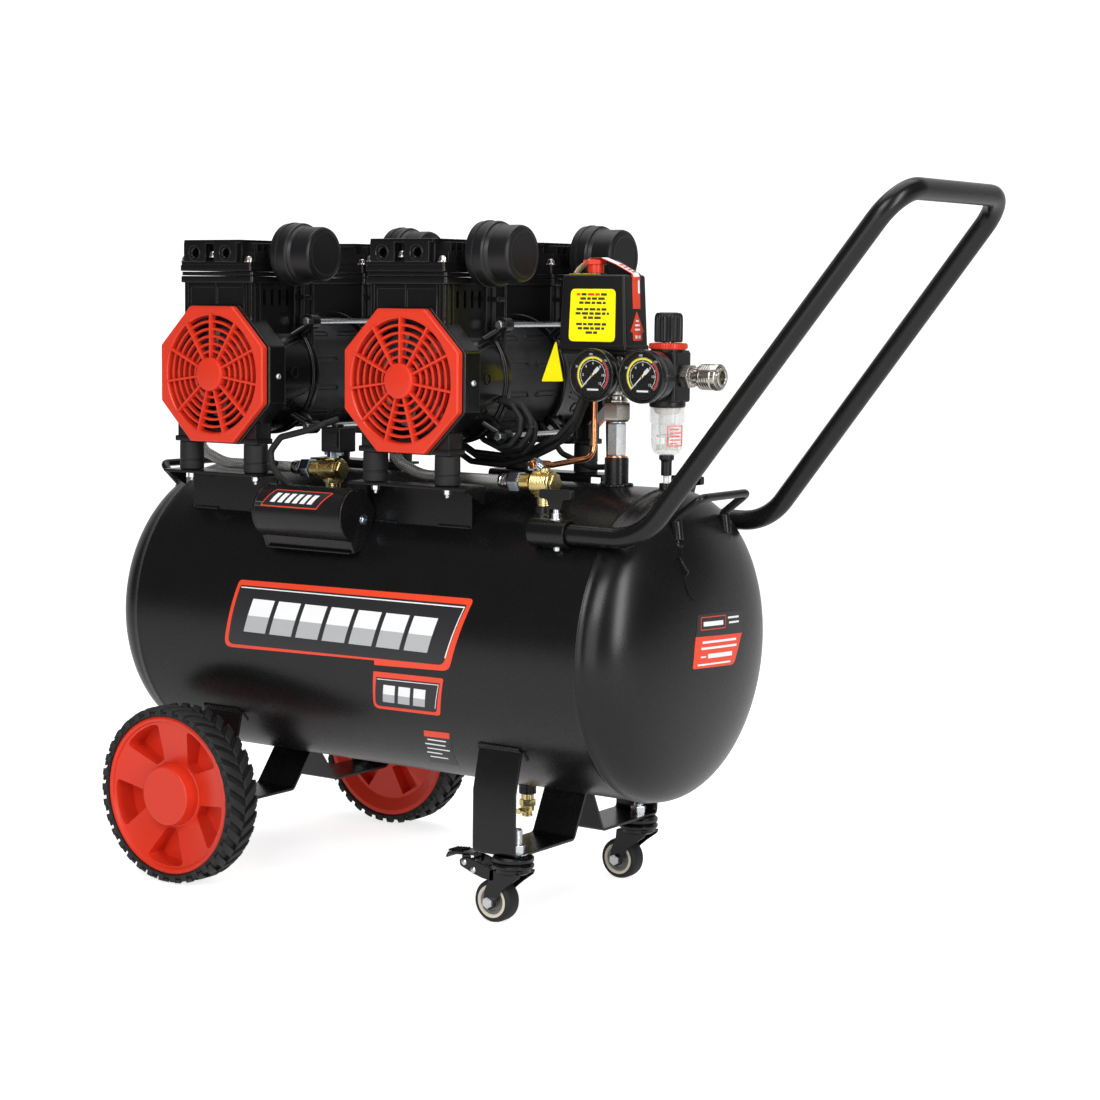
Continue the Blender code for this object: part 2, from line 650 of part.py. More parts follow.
def crankcase(x, side, name):
    """Cup around the shaft with a cylinder block above it and two feet below."""
    cup = ((0.0, 0.1120), (CUP_RADIUS, 0.1120), (CUP_RADIUS, 0.0470), (0.0, 0.0470))
    eyes = [(x + u, SHAFT_Z + w) for u, w in EYES]
    lugs = [y_bar(u, w, side * 0.0474, side * 0.0560, 0.0075) for u, w in eyes]
    web_y = side * 0.0515
    webs = [
        ((x + u * WEB_START, web_y, SHAFT_Z + w * WEB_START), (x + u, web_y, SHAFT_Z + w), 0.0042)
        for u, w in EYES
    ]
    legs = [
        box_place(x + a - 0.0095, x + a + 0.0095, *span(side, 0.1130, 0.1330),
                  0.4560, SHAFT_Z - 0.040)
        for a in FOOT_OFFSETS
    ]
    feet = [
        z_bar(x + a, side * FOOT_Y, SADDLE_TOP + GAP, 0.4570, 0.0128) for a in FOOT_OFFSETS
    ]
    block = box(x - 0.0460, x + 0.0460, *span(side, 0.0480, 0.1345), SHAFT_Z + 0.0300, 0.6240)
    flange = box(x - 0.0500, x + 0.0500, *span(side, *CASE_FLANGE_Y), 0.6228, 0.6345)
    chamber = shaft_bar(x, side * 0.0620, side * 0.1500, CHAMBER_RADIUS)
    stator_seat = shaft_bar(x, side * 0.0400, side * 0.0530, STATOR_RADIUS + 0.0014)
    shaft_hole = shaft_bar(x, side * 0.0400, side * 0.0700, 0.0082)
    bore = z_bar(x, side * PISTON_Y, SHAFT_Z + 0.030, 0.6500, BORE_RADIUS)
    tie_bars = []
    if side > 0:  # the back case carries the bars that reach forward to the front one
        tie_bars = [rods(*[y_bar(u, w, -0.0466, 0.0500, 0.0030) for u, w in eyes], sides=6)]
    part(
        "crankcase_" + name,
        lathe(cup, (x, 0, SHAFT_Z), (0, side, 0), 24),
        CAST,
        add=[
            octagon(x, *span(side, 0.1100, 0.1355), 0.1440),
            block,
            flange,
            rods(*lugs, sides=6),
            rods(*webs, sides=4),
            cubes(legs, "boxes"),
            rods(*feet, sides=10),
        ],
        cut=[
            rods(chamber, sides=20),
            rods(stator_seat, sides=20),
            rods(shaft_hole, sides=10),
            rods(bore, sides=16),
        ],
        late=tie_bars,
    )


def cylinder_head(x, side, name):
    """Plate with a raised block, a lower step beside it and two blind holes in its outer face."""
    holes = [
        y_bar(x + a, 0.6538, side * 0.1250, side * 0.1450, 0.0045) for a in (-0.0275, 0.0150)
    ]
    part(
        "cylinder_head_" + name,
        box(x - 0.0505, x + 0.0475, *span(side, *CASE_FLANGE_Y), 0.6349, 0.6457),
        CAST,
        add=[
            box(x - 0.0430, x + 0.0350, *span(side, 0.0480, 0.1392), 0.6440, 0.6673),
            box(x + 0.0340, x + 0.0470, *span(side, 0.0500, 0.1300), 0.6440, 0.6610),
        ],
        cut=[rods(*holes, sides=8)],
    )


def fan_grille(x, side, name):
    """Octagonal frame with radial spokes around a hub."""
    spokes = [
        Matrix.Translation((x, side * 0.1412, SHAFT_Z))
        @ Matrix.Rotation(-i * math.tau / GRILLE_SPOKES, 4, "Y")
        @ Matrix.Translation((0, 0, 0.0395))
        @ Matrix.Diagonal((*SPOKE_SIZE, 1.0))
        for i in range(GRILLE_SPOKES)
    ]
    part(
        "fan_grille_" + name,
        octagon(x, *span(side, 0.1359, 0.1450), 0.1410),
        RED,
        cut=[rods(shaft_bar(x, side * 0.1300, side * 0.1550, 0.0630), sides=22)],
        late=[
            cubes(spokes, "spokes"),
            rods(shaft_bar(x, side * 0.1372, side * 0.1500, 0.0175), sides=GRILLE_SPOKES),
        ],
    )


def piston(x, side, name):
    """Slotted eye around the crank pin, with a rod up to the round crown."""
    y = side * PISTON_Y
    rod_z = (SHAFT_Z + 0.0370, SHAFT_Z + 0.0890)
    crown = z_bar(x, y, SHAFT_Z + 0.0860, SHAFT_Z + 0.0945, 0.0306)
    part(
        "piston_" + name,
        prism(stadium(x, 0.0280), "Y", *span(side, 0.0860, 0.0960)),
        ALLOY,
        add=[
            box(x - 0.0060, x + 0.0060, *span(side, 0.0870, 0.0950), *rod_z),
            rods(crown, sides=16),
        ],
        cut=[prism(stadium(x, 0.0250), "Y", *span(side, 0.0800, 0.1000))],
        joint=joint_at("piston_axis_" + name, (x, y, SHAFT_Z + 0.0900)),
    )


for pump_x, unit in PUMPS:
    stator(pump_x, unit)
    rotor(pump_x, unit)
    for side, tag in SIDES:
        name = unit + "_" + tag
        crankcase(pump_x, side, name)
        cylinder_head(pump_x, side, name)
        intake = lathe(INTAKE_FILTER, (pump_x, side * 0.0900, 0.6530), (1, 0, 0), 18)
        part("intake_filter_" + name, intake, PLASTIC)
        fan_grille(pump_x, side, name)
        piston(pump_x, side, name)

# ---------------------------------------------------------------- capacitor cover
COVER_Y, COVER_Z, COVER_RADIUS = -0.1360, 0.3920, 0.0275
COVER_WALL = 0.0022
TANK_CLEARANCE = (  # radius, x
    (0.0, -0.2), (TANK_RADIUS + GAP, -0.2), (TANK_RADIUS + GAP, 0.2), (0.0, 0.2),
)


def cover_outline(shrink):
    """(y, z): an arc of 185 degrees over the top and front, closed by three corners."""
    radius = COVER_RADIUS - shrink
    angles = [math.radians(62 + i * (185 / 9)) for i in range(10)]
    arc = [(COVER_Y + radius * math.cos(t), COVER_Z + radius * math.sin(t)) for t in angles]
    return arc + [
        (-0.1410 + shrink, 0.3545 + shrink),
        (-0.1180 + shrink * 3, 0.3600 + shrink),
        (-0.1062 - shrink, 0.3960),
    ]


part(
    "capacitor_cover",
    prism(cover_outline(0.0), "X", -0.1120, 0.0050),
    POWDER,
    cut=[
        lathe(TANK_CLEARANCE, (0, 0, TANK_Z), (1, 0, 0), TANK_STEPS),
        prism(cover_outline(COVER_WALL), "X", -0.1096, 0.0026),
    ],
)

# ---------------------------------------------------------------- air lines
LINE_Z = 0.4320
VALVE_END = 0.0270  # hose end of the check valve, in -X from its middle
CHECK_VALVE = (  # radius, distance in +X from the valve's middle
    (0.0, 0.0130), (0.0085, 0.0130), (0.0105, 0.0110), (0.0125, 0.0090), (0.0125, -0.0120),
    (0.0080, -0.0140), (0.0080, -VALVE_END), (0.0, -VALVE_END),
)
HOSE_RUN = ((0.0400, LINE_Z), (0.1500, LINE_Z), (0.1820, 0.4440), (0.1900, 0.4650))  # -x, z
UNLOAD_ROUTE = (  # x, y, z
    (UNLOAD_X, UNLOAD_Y, 0.5560), (UNLOAD_X, UNLOAD_Y, 0.4535), (0.1860, -0.0580, 0.4480),
    (0.1830, -0.0800, 0.4500),
)


def check_valve(x, y, tag):
    stem = z_bar(x, y, VALVE_BUNG_TOP + GAP, LINE_Z - 0.0035, 0.0075)
    body = lathe(CHECK_VALVE, (x, y, LINE_Z), (1, 0, 0), 16)
    part("check_valve_" + tag, body, BRASS, add=[rods(stem, sides=12)])


def braided_hose(x, y, tag):
    """Hose from the check valve's end, with its hexagon nut and ferrule."""
    path = rounded([(x - run, y, z) for run, z in HOSE_RUN], (0.060, 0.020), 5)
    nut = x_bar(y, LINE_Z, x - 0.0400, x - VALVE_END - GAP, 0.0098)
    ferrule = x_bar(y, LINE_Z, x - 0.0520, x - 0.0395, 0.0068)
    part(
        "braided_hose_" + tag,
        tube(path, 0.0056, "braided_hose"),
        BRAID,
        add=[rods(nut, sides=6), rods(ferrule, sides=12)],
    )


for valve in VALVES:
    check_valve(*valve)
    braided_hose(*valve)

unload_path = rounded(UNLOAD_ROUTE, (0.014, 0.012), 4)
part("unload_tube", tube(unload_path, UNLOAD_RADIUS, "unload_tube"), COPPER)

# Hexagon fitting and round post, an arm to the regulator and a plate under the switch.
part(
    "air_manifold",
    rods(z_bar(MANIFOLD_X, 0, 0.4547, 0.4900, 0.0092), sides=6),
    NICKEL,
    add=[
        rods(z_bar(MANIFOLD_X, 0, 0.4895, 0.5095, 0.0132), sides=6),
        rods(z_bar(MANIFOLD_X, 0, 0.5085, 0.5575, POST_RADIUS), sides=16),
        rods(x_bar(0, PORT_Z, MANIFOLD_X, REGULATOR_X - REGULATOR_FACE, 0.0090), sides=16),
        box(0.1900, 0.2340, -0.0210, 0.0080, 0.5565, 0.5597),
    ],
    cut=[rods(z_bar(UNLOAD_X, UNLOAD_Y, 0.5500, 0.5565, UNLOAD_RADIUS + GAP), sides=10)],
)

# ---------------------------------------------------------------- pressure switch
SWITCH_LOW = ((0.1726, 0.2517), (-0.0300, 0.0120), 0.5600)  # x limits, y limits, z
SWITCH_TOP = ((0.1760, 0.2483), (-0.0285, 0.0105), 0.6340)
BUTTON_X, BUTTON_Y = 0.2070, -0.0100
SWITCH_BUTTON = (  # radius, z
    (0.0, 0.6517), (0.0100, 0.6517), (0.0112, 0.6500), (0.0112, 0.6440), (0.0080, 0.6430),
    (0.0080, 0.6235), (0.0, 0.6235),
)


def switch_shape(inset, open_by):
    """Tapered block; a cutter is inset all round but reaches below the open bottom."""
    bm = bmesh.new()
    bmesh.ops.create_cube(bm, size=2.0)
    for vert in bm.verts:
        up = vert.co.z > 0
        x_limits, y_limits, z = SWITCH_TOP if up else SWITCH_LOW
        vert.co = (
            x_limits[1] - inset if vert.co.x > 0 else x_limits[0] + inset,
            y_limits[1] - inset if vert.co.y > 0 else y_limits[0] + inset,
            z - inset if up else z - open_by,
        )
    return solid_shape(bm, "tapered")


part(
    "pressure_switch_cover",
    switch_shape(inset=0.0, open_by=0.0),
    PLASTIC,
    cut=[
        switch_shape(inset=0.0025, open_by=0.0030),
        rods(z_bar(BUTTON_X, BUTTON_Y, 0.6100, 0.6500, 0.0086), sides=14),
    ],
)
part(
    "switch_button",
    lathe(SWITCH_BUTTON, (BUTTON_X, BUTTON_Y, 0), (0, 0, 1), 14),
    RED,
    joint=joint_at("switch_button_axis", (BUTTON_X, BUTTON_Y, 0.6400)),
)

# ---------------------------------------------------------------- gauges
GAUGE_Z = PORT_Z + 0.0002
NEEDLE_Y = -0.0475
NEEDLE_SIZE = (0.0014, 0.0008, 0.0270)
NEEDLE_TURN = math.radians(225)
GAUGES = (  # x, back of the case and end of the stem in front of the centre plane, tag
    (0.2247, 0.0310, POST_RADIUS + GAP, "tank"),
    (REGULATOR_X, 0.0235, REGULATOR_FACE, "outlet"),
)


def gauge(x, back, stem_end, tag):
    case = (  # radius, distance forward
        (0.0, 0.0460), (0.0225, 0.0460), (0.0225, 0.0500), (0.0260, 0.0500), (0.0260, 0.0450),
        (0.0240, back), (0.0060, back - 0.0005), (0.0060, stem_end), (0.0, stem_end),
    )
    part("gauge_case_" + tag, lathe(case, (x, 0, GAUGE_Z), (0, -1, 0), 20), PLASTIC)
    pivot = (x, NEEDLE_Y, GAUGE_Z)
    pointer = (
        Matrix.Translation(pivot)
        @ Matrix.Rotation(NEEDLE_TURN, 4, "Y")
        @ Matrix.Translation((0, 0, 0.0065))
        @ Matrix.Diagonal((*NEEDLE_SIZE, 1.0))
    )
    part(
        "gauge_needle_" + tag,
        cubes([pointer], "pointer"),
        WHITE,
        add=[rods(y_bar(x, GAUGE_Z, -0.0470, -0.0482, 0.0022), sides=8)],
        joint=joint_at("gauge_needle_axis_" + tag, pivot),
    )


for row in GAUGES:
    gauge(*row)

# ---------------------------------------------------------------- filter regulator
REGULATOR_BOTTOM = 0.5110
COLLAR_TOP = 0.5686
SPINDLE_RADIUS = 0.0060
SPINDLE_BORE = SPINDLE_RADIUS + GAP
KNOB_BOTTOM = COLLAR_TOP + GAP
BOWL_TOP = REGULATOR_BOTTOM - GAP
KNOB = (  # radius, z
    (0.0, 0.5980), (0.0120, 0.5975), (0.0138, 0.5930), (0.0135, KNOB_BOTTOM),
    (SPINDLE_BORE, KNOB_BOTTOM), (SPINDLE_BORE, 0.5920), (0.0, 0.5920),
)
BOWL = (  # radius, z
    (0.0, 0.4610), (0.0130, 0.4640), (0.0150, 0.4720), (0.0150, BOWL_TOP), (0.0172, BOWL_TOP),
    (0.0168, 0.4700), (0.0150, 0.4620), (0.0058, 0.4580), (0.0053, 0.4390), (0.0, 0.4390),
)


def regulator_bar(z0, z1, radius):
    return z_bar(REGULATOR_X, 0, z0, z1, radius)


part(
    "regulator_body",
    box(
        REGULATOR_X - REGULATOR_HALF, REGULATOR_X + REGULATOR_HALF,
        -REGULATOR_HALF, REGULATOR_HALF, REGULATOR_BOTTOM, 0.5606, bevel=0.0030,
    ),
    PLASTIC,
    add=[rods(regulator_bar(0.5590, COLLAR_TOP, 0.0190), sides=20)],
    cut=[
        rods(regulator_bar(0.5450, 0.5750, SPINDLE_BORE), sides=16),
        rods(regulator_bar(0.5050, 0.5250, 0.0080), sides=16),
    ],
)
part(
    "regulator_spindle",
    rods(regulator_bar(0.5470, 0.5870, SPINDLE_RADIUS), sides=16),
    STEEL,
    joint=joint_at("regulator_axis", (REGULATOR_X, 0, KNOB_BOTTOM)),
)
part(
    "regulator_knob",
    lathe(KNOB, (REGULATOR_X, 0, 0), (0, 0, 1), 18),
    PLASTIC,
    joint=joint_at("knob_lift_axis", (REGULATOR_X, 0, 0.5800)),
)
part("filter_bowl", lathe(BOWL, (REGULATOR_X, 0, 0), (0, 0, 1), 18), CLEAR)

# ---------------------------------------------------------------- outlet coupler
COUPLER_X = REGULATOR_X + REGULATOR_FACE
COUPLER_RADIUS = 0.0095
SLEEVE_BORE = COUPLER_RADIUS + GAP
COUPLER = (  # radius, x
    (0.0050, COUPLER_X), (0.0050, 0.3315), (0.0062, 0.3330), (0.0062, 0.3439),
    (COUPLER_RADIUS, 0.3439), (COUPLER_RADIUS, 0.3095), (0.0075, 0.3095), (0.0075, COUPLER_X),
    (0.0050, COUPLER_X),
)
COUPLER_SLEEVE = (  # radius, x
    (SLEEVE_BORE, 0.3195), (0.0124, 0.3195), (0.0130, 0.3215), (0.0130, 0.3395),
    (0.0124, 0.3413), (SLEEVE_BORE, 0.3413), (SLEEVE_BORE, 0.3195),
)

part(
    "coupler_body",
    lathe(COUPLER, (0, 0, PORT_Z), (1, 0, 0), 16),
    NICKEL,
    add=[rods(x_bar(0, PORT_Z, 0.3005, 0.3100, 0.0112), sides=6)],
    cut=[rods(x_bar(0, PORT_Z, 0.2900, 0.3235, 0.0048), sides=12)],
)
part(
    "coupler_sleeve",
    lathe(COUPLER_SLEEVE, (0, 0, PORT_Z), (1, 0, 0), 16),
    NICKEL,
    joint=joint_at("coupler_sleeve_axis", (0.3305, 0, PORT_Z)),
)

# ---------------------------------------------------------------- safety valve
SAFETY_Z = 0.5230
SAFETY_START = POST_RADIUS + GAP
SAFETY_END = 0.0440
SAFETY_VALVE = (  # radius, y
    (0.0, SAFETY_END), (0.0060, SAFETY_END), (0.0085, 0.0400), (0.0085, 0.0200),
    (0.0050, 0.0200), (0.0050, SAFETY_START), (0.0, SAFETY_START),
)
SAFETY_RING = (  # radius, distance in +X from the valve's axis
    (0.0060, -0.0010), (0.0080, -0.0010), (0.0080, 0.0010), (0.0060, 0.0010), (0.0060, -0.0010),
)

part("safety_valve", lathe(SAFETY_VALVE, (MANIFOLD_X, 0, SAFETY_Z), (0, 1, 0), 12), BRASS)
part(
    "safety_ring",
    lathe(SAFETY_RING, (MANIFOLD_X, 0.0545, SAFETY_Z), (1, 0, 0), 12),
    ZINC,
    add=[rods(y_bar(MANIFOLD_X, SAFETY_Z, SAFETY_END + GAP, 0.0478, 0.0020), sides=8)],
    joint=joint_at("safety_ring_axis", (MANIFOLD_X, 0.0500, SAFETY_Z)),
)

# ---------------------------------------------------------------- tank drain
TAP_Z = 0.0870
DRAIN_TOP = DRAIN_BUNG_BOTTOM - GAP
DRAIN_VALVE = (  # radius, z
    (0.0, DRAIN_TOP), (0.0065, DRAIN_TOP), (0.0070, 0.1010), (0.0070, 0.0800),
    (0.0060, 0.0792), (0.0, 0.0792),
)

part(
    "drain_valve",
    lathe(DRAIN_VALVE, (DRAIN_X, 0, 0), (0, 0, 1), 12),
    BRASS,
    cut=[rods(y_bar(DRAIN_X, TAP_Z, -0.0090, -0.0030, 0.0028), sides=10)],
)
part(
    "drain_tap",
    rods(y_bar(DRAIN_X, TAP_Z, -0.0035, -0.0170, 0.0025), sides=10),
    ZINC,
    add=[box(DRAIN_X - 0.0075, DRAIN_X + 0.0075, -0.0165, -0.0115, 0.0850, 0.0890)],
    joint=joint_at("drain_tap_axis", (DRAIN_X, -0.0120, TAP_Z)),
)
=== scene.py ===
"""Looks of the twin stack compressor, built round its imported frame.

Metres. The pieces are laid out from the middle of the receiver, as the frame
is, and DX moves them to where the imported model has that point.
"""

import math
import random

import bmesh
import bpy
from mathutils import Matrix, Vector


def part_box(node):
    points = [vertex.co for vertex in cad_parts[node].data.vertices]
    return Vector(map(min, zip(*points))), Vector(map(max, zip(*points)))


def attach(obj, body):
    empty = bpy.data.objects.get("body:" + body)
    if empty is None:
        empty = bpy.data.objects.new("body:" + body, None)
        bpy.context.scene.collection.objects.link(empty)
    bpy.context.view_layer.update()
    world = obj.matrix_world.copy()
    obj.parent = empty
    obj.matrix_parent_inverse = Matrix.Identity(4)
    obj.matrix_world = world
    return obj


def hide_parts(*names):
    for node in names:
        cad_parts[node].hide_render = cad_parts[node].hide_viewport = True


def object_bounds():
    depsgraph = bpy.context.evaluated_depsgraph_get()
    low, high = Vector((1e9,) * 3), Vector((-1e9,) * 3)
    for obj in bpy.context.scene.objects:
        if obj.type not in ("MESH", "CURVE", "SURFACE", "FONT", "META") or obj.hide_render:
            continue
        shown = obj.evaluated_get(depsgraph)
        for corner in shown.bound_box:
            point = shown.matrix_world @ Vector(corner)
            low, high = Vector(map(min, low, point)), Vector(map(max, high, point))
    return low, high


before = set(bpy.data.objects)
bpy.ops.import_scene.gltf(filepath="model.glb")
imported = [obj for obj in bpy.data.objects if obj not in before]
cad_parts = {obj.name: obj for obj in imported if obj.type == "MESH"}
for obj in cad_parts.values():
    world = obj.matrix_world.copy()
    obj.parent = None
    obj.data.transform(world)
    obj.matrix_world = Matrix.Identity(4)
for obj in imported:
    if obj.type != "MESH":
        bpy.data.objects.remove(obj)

CAD_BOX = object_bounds()
random.seed(7)


def span(node):
    low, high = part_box(node)
    return Vector(low), Vector(high)


def middle(node):
    low, high = span(node)
    return (low + high) / 2


# The receiver's middle is 184 mm in front of the left motor's middle.
DX = middle("stator_left").x + 0.1840
CHASSIS = "chassis"

TANK_R = 0.1550
TANK_Z = 0.2717
TANK_SEAM = 0.2837
TANK_DOME = 0.0589
PUMPS = {u: middle("stator_" + u).x - DX for u in ("left", "right")}
SHAFT_Z = middle("stator_left").z
WHEEL_X = middle("tyre_front").x - DX
WHEEL_Z = middle("tyre_front").z
LEG_Y = 0.1310
CASTER_X = middle("caster_wheel_front").x - DX
CASTER_Z = middle("caster_wheel_front").z
CASTER_Y = 0.1140
STEM_X = 0.1840
REG_X = middle("filter_bowl").x - DX
GAUGE_X = {"tank": middle("gauge_case_tank").x - DX, "outlet": middle("gauge_case_outlet").x - DX}
GAUGE_Z = middle("gauge_case_tank").z
PORT_Z = middle("coupler_body").z
MANIFOLD_X = 0.2240
SIDES = ((-1, "front"), (1, "back"))


# ------------------------------------------------------------------ materials
def link(tree, a, b):
    tree.links.new(a, b)


def surface(name, colour, rough, metal=0.0, vary=0.25, rough_vary=0.08, grain=700.0, bump=0.12,
            edge_wear_and_highlight=0.0, edge_wear_and_highlight_colour=(0.35, 0.35, 0.36), coat=0.0, spec=0.5, blotch=22.0, brushed=None,
            depth=0.00012, glow=0.0):
    """A solid finish: base colour broken up by soft blotches, fine grain in the bump and roughness, paler edges that
    are partly wear and partly a painted highlight, and an optional glow that is painted light.
    """
    mat = bpy.data.materials.new(name)
    mat.use_nodes = True
    tree = mat.node_tree
    shader = tree.nodes["Principled BSDF"]
    coords = tree.nodes.new("ShaderNodeTexCoord")
    point = coords.outputs["Object"]
    if brushed:
        mapping = tree.nodes.new("ShaderNodeMapping")
        mapping.inputs["Scale"].default_value = brushed
        link(tree, point, mapping.inputs["Vector"])
        fine_point = mapping.outputs["Vector"]
    else:
        fine_point = point
    fine = tree.nodes.new("ShaderNodeTexNoise")
    fine.inputs["Scale"].default_value = grain
    fine.inputs["Detail"].default_value = 3.0
    link(tree, fine_point, fine.inputs["Vector"])
    large = tree.nodes.new("ShaderNodeTexNoise")
    large.inputs["Scale"].default_value = blotch
    large.inputs["Detail"].default_value = 4.0
    large.inputs["Roughness"].default_value = 0.62
    link(tree, point, large.inputs["Vector"])

    tint = tree.nodes.new("ShaderNodeMix")
    tint.data_type = "RGBA"
    tint.inputs["A"].default_value = (*[c * (1 - vary) for c in colour], 1)
    tint.inputs["B"].default_value = (*[min(1, c * (1 + vary)) for c in colour], 1)
    link(tree, large.outputs["Fac"], tint.inputs["Factor"])
    base = tint.outputs["Result"]
    # Paler convex edges found by pointiness: partly edge wear, partly a painted highlight along the edges.
    if edge_wear_and_highlight:
        geometry = tree.nodes.new("ShaderNodeNewGeometry")
        ramp = tree.nodes.new("ShaderNodeMapRange")
        ramp.inputs["From Min"].default_value = 0.53
        ramp.inputs["From Max"].default_value = 0.66
        ramp.inputs["To Max"].default_value = edge_wear_and_highlight
        link(tree, geometry.outputs["Pointiness"], ramp.inputs["Value"])
        worn_and_highlit_edge = tree.nodes.new("ShaderNodeMix")
        worn_and_highlit_edge.data_type = "RGBA"
        worn_and_highlit_edge.inputs["B"].default_value = (*edge_wear_and_highlight_colour, 1)
        link(tree, ramp.outputs["Result"], worn_and_highlit_edge.inputs["Factor"])
        link(tree, base, worn_and_highlit_edge.inputs["A"])
        base = worn_and_highlit_edge.outputs["Result"]
    link(tree, base, shader.inputs["Base Color"])

    spread = tree.nodes.new("ShaderNodeMapRange")
    spread.inputs["To Min"].default_value = max(0.02, rough - rough_vary)
    spread.inputs["To Max"].default_value = min(1.0, rough + rough_vary)
    blend = tree.nodes.new("ShaderNodeMath")
    blend.operation = "ADD"
    half = tree.nodes.new("ShaderNodeMath")
    half.operation = "MULTIPLY"
    half.inputs[1].default_value = 0.5
    link(tree, fine.outputs["Fac"], blend.inputs[0])
    link(tree, large.outputs["Fac"], blend.inputs[1])
    link(tree, blend.outputs[0], half.inputs[0])
    link(tree, half.outputs[0], spread.inputs["Value"])
    link(tree, spread.outputs["Result"], shader.inputs["Roughness"])

    if bump:
        relief = tree.nodes.new("ShaderNodeBump")
        relief.inputs["Strength"].default_value = bump
        relief.inputs["Distance"].default_value = depth
        link(tree, fine.outputs["Fac"], relief.inputs["Height"])
        link(tree, relief.outputs["Normal"], shader.inputs["Normal"])
    shader.inputs["Metallic"].default_value = metal
    shader.inputs["Specular IOR Level"].default_value = spec
    # Emission on a part that is no lamp: painted light that brightens label film and print.
    if glow:
        shader.inputs["Emission Color"].default_value = (*colour, 1)
        shader.inputs["Emission Strength"].default_value = glow
    if coat:
        shader.inputs["Coat Weight"].default_value = coat
        shader.inputs["Coat Roughness"].default_value = 0.12
    return mat


# Each finish's pale edge colour below is partly wear, partly a painted edge highlight.
POWDER = surface("satin_black_powder_coat", (0.0052, 0.0052, 0.0056), 0.27, grain=900, bump=0.13, edge_wear_and_highlight=0.08,
                 edge_wear_and_highlight_colour=(0.06, 0.06, 0.06), rough_vary=0.05, spec=0.36)
CAST = surface("black_painted_casting", (0.0040, 0.0040, 0.0044), 0.23, grain=1100, bump=0.20, edge_wear_and_highlight=0.12,
               edge_wear_and_highlight_colour=(0.08, 0.08, 0.08), rough_vary=0.07, spec=0.42)
MOULD = surface("black_moulded_plastic", (0.0072, 0.0072, 0.0082), 0.36, grain=1500, bump=0.22, edge_wear_and_highlight=0.08,
                edge_wear_and_highlight_colour=(0.07, 0.07, 0.075), spec=0.36)
GLOSSY = surface("glossy_black_plastic", (0.0060, 0.0060, 0.0066), 0.20, grain=1200, bump=0.08, edge_wear_and_highlight=0.10,
                 edge_wear_and_highlight_colour=(0.12, 0.12, 0.12), rough_vary=0.04)
RED = surface("orange_red_plastic", (0.70, 0.037, 0.014), 0.30, vary=0.06, grain=1300, bump=0.10, spec=0.38, edge_wear_and_highlight=0.20,
              edge_wear_and_highlight_colour=(1.0, 0.16, 0.08), rough_vary=0.06)
RUBBER = surface("black_rubber", (0.0085, 0.0085, 0.0088), 0.62, vary=0.35, grain=900, bump=0.5, edge_wear_and_highlight=0.22,
                 edge_wear_and_highlight_colour=(0.07, 0.07, 0.07), spec=0.4, rough_vary=0.12)
ZINC = surface("bright_zinc_plate", (0.66, 0.68, 0.70), 0.27, 1.0, vary=0.12, grain=900, bump=0.25, rough_vary=0.08,
               edge_wear_and_highlight=0.4, edge_wear_and_highlight_colour=(0.85, 0.86, 0.88), blotch=60)
BLUE_ZINC = surface("blue_zinc_plate", (0.46, 0.56, 0.66), 0.20, 1.0, vary=0.22, grain=700, bump=0.18,
                    rough_vary=0.06, edge_wear_and_highlight=0.5, edge_wear_and_highlight_colour=(0.80, 0.86, 0.90), blotch=90)
GALV = surface("mottled_galvanised_steel", (0.58, 0.61, 0.63), 0.36, 1.0, vary=0.45, grain=260, bump=0.5,
               rough_vary=0.14, edge_wear_and_highlight=0.4, edge_wear_and_highlight_colour=(0.88, 0.89, 0.90), blotch=420)
NICKEL = surface("nickel_plated_brass", (0.56, 0.53, 0.48), 0.20, 1.0, vary=0.12, grain=1300, bump=0.10,
                 rough_vary=0.06, edge_wear_and_highlight=0.3, edge_wear_and_highlight_colour=(0.78, 0.74, 0.66), blotch=50)
BRASS = surface("machined_brass", (0.76, 0.62, 0.28), 0.24, 1.0, vary=0.16, grain=1200, bump=0.18,
                rough_vary=0.09, edge_wear_and_highlight=0.4, edge_wear_and_highlight_colour=(0.95, 0.84, 0.52), blotch=70)
COPPER = surface("drawn_copper", (0.82, 0.34, 0.15), 0.22, 1.0, vary=0.16, grain=500, bump=0.15,
                 rough_vary=0.08, blotch=60, brushed=(1.0, 1.0, 0.2))
STEEL = surface("turned_steel", (0.50, 0.50, 0.51), 0.30, 1.0, vary=0.1, grain=900, bump=0.15, brushed=(1, 0.1, 1))
LAMINATION = surface("varnished_laminations", (0.022, 0.022, 0.024), 0.42, 0.3, grain=300, bump=0.9,
                     brushed=(0.2, 9.0, 0.2), depth=0.0003)
ALLOY = surface("bare_cast_alloy", (0.55, 0.55, 0.56), 0.42, 1.0, grain=900, bump=0.5)
CREAM = surface("cream_nylon", (0.66, 0.60, 0.49), 0.42, vary=0.10, grain=900, bump=0.12)
GREY = surface("grey_bearing_shield", (0.16, 0.155, 0.15), 0.40, 0.6, grain=900, bump=0.2)
WHITE = surface("white_enamel", (0.84, 0.84, 0.82), 0.40, vary=0.03, grain=900, bump=0.05)
ELEMENT = surface("sintered_filter_element", (0.80, 0.80, 0.79), 0.75, vary=0.05, grain=2600, bump=0.8, depth=0.0002)
DIAL = surface("black_dial_face", (0.005, 0.005, 0.0055), 0.5, vary=0.1, grain=2500, bump=0.1, spec=0.14)
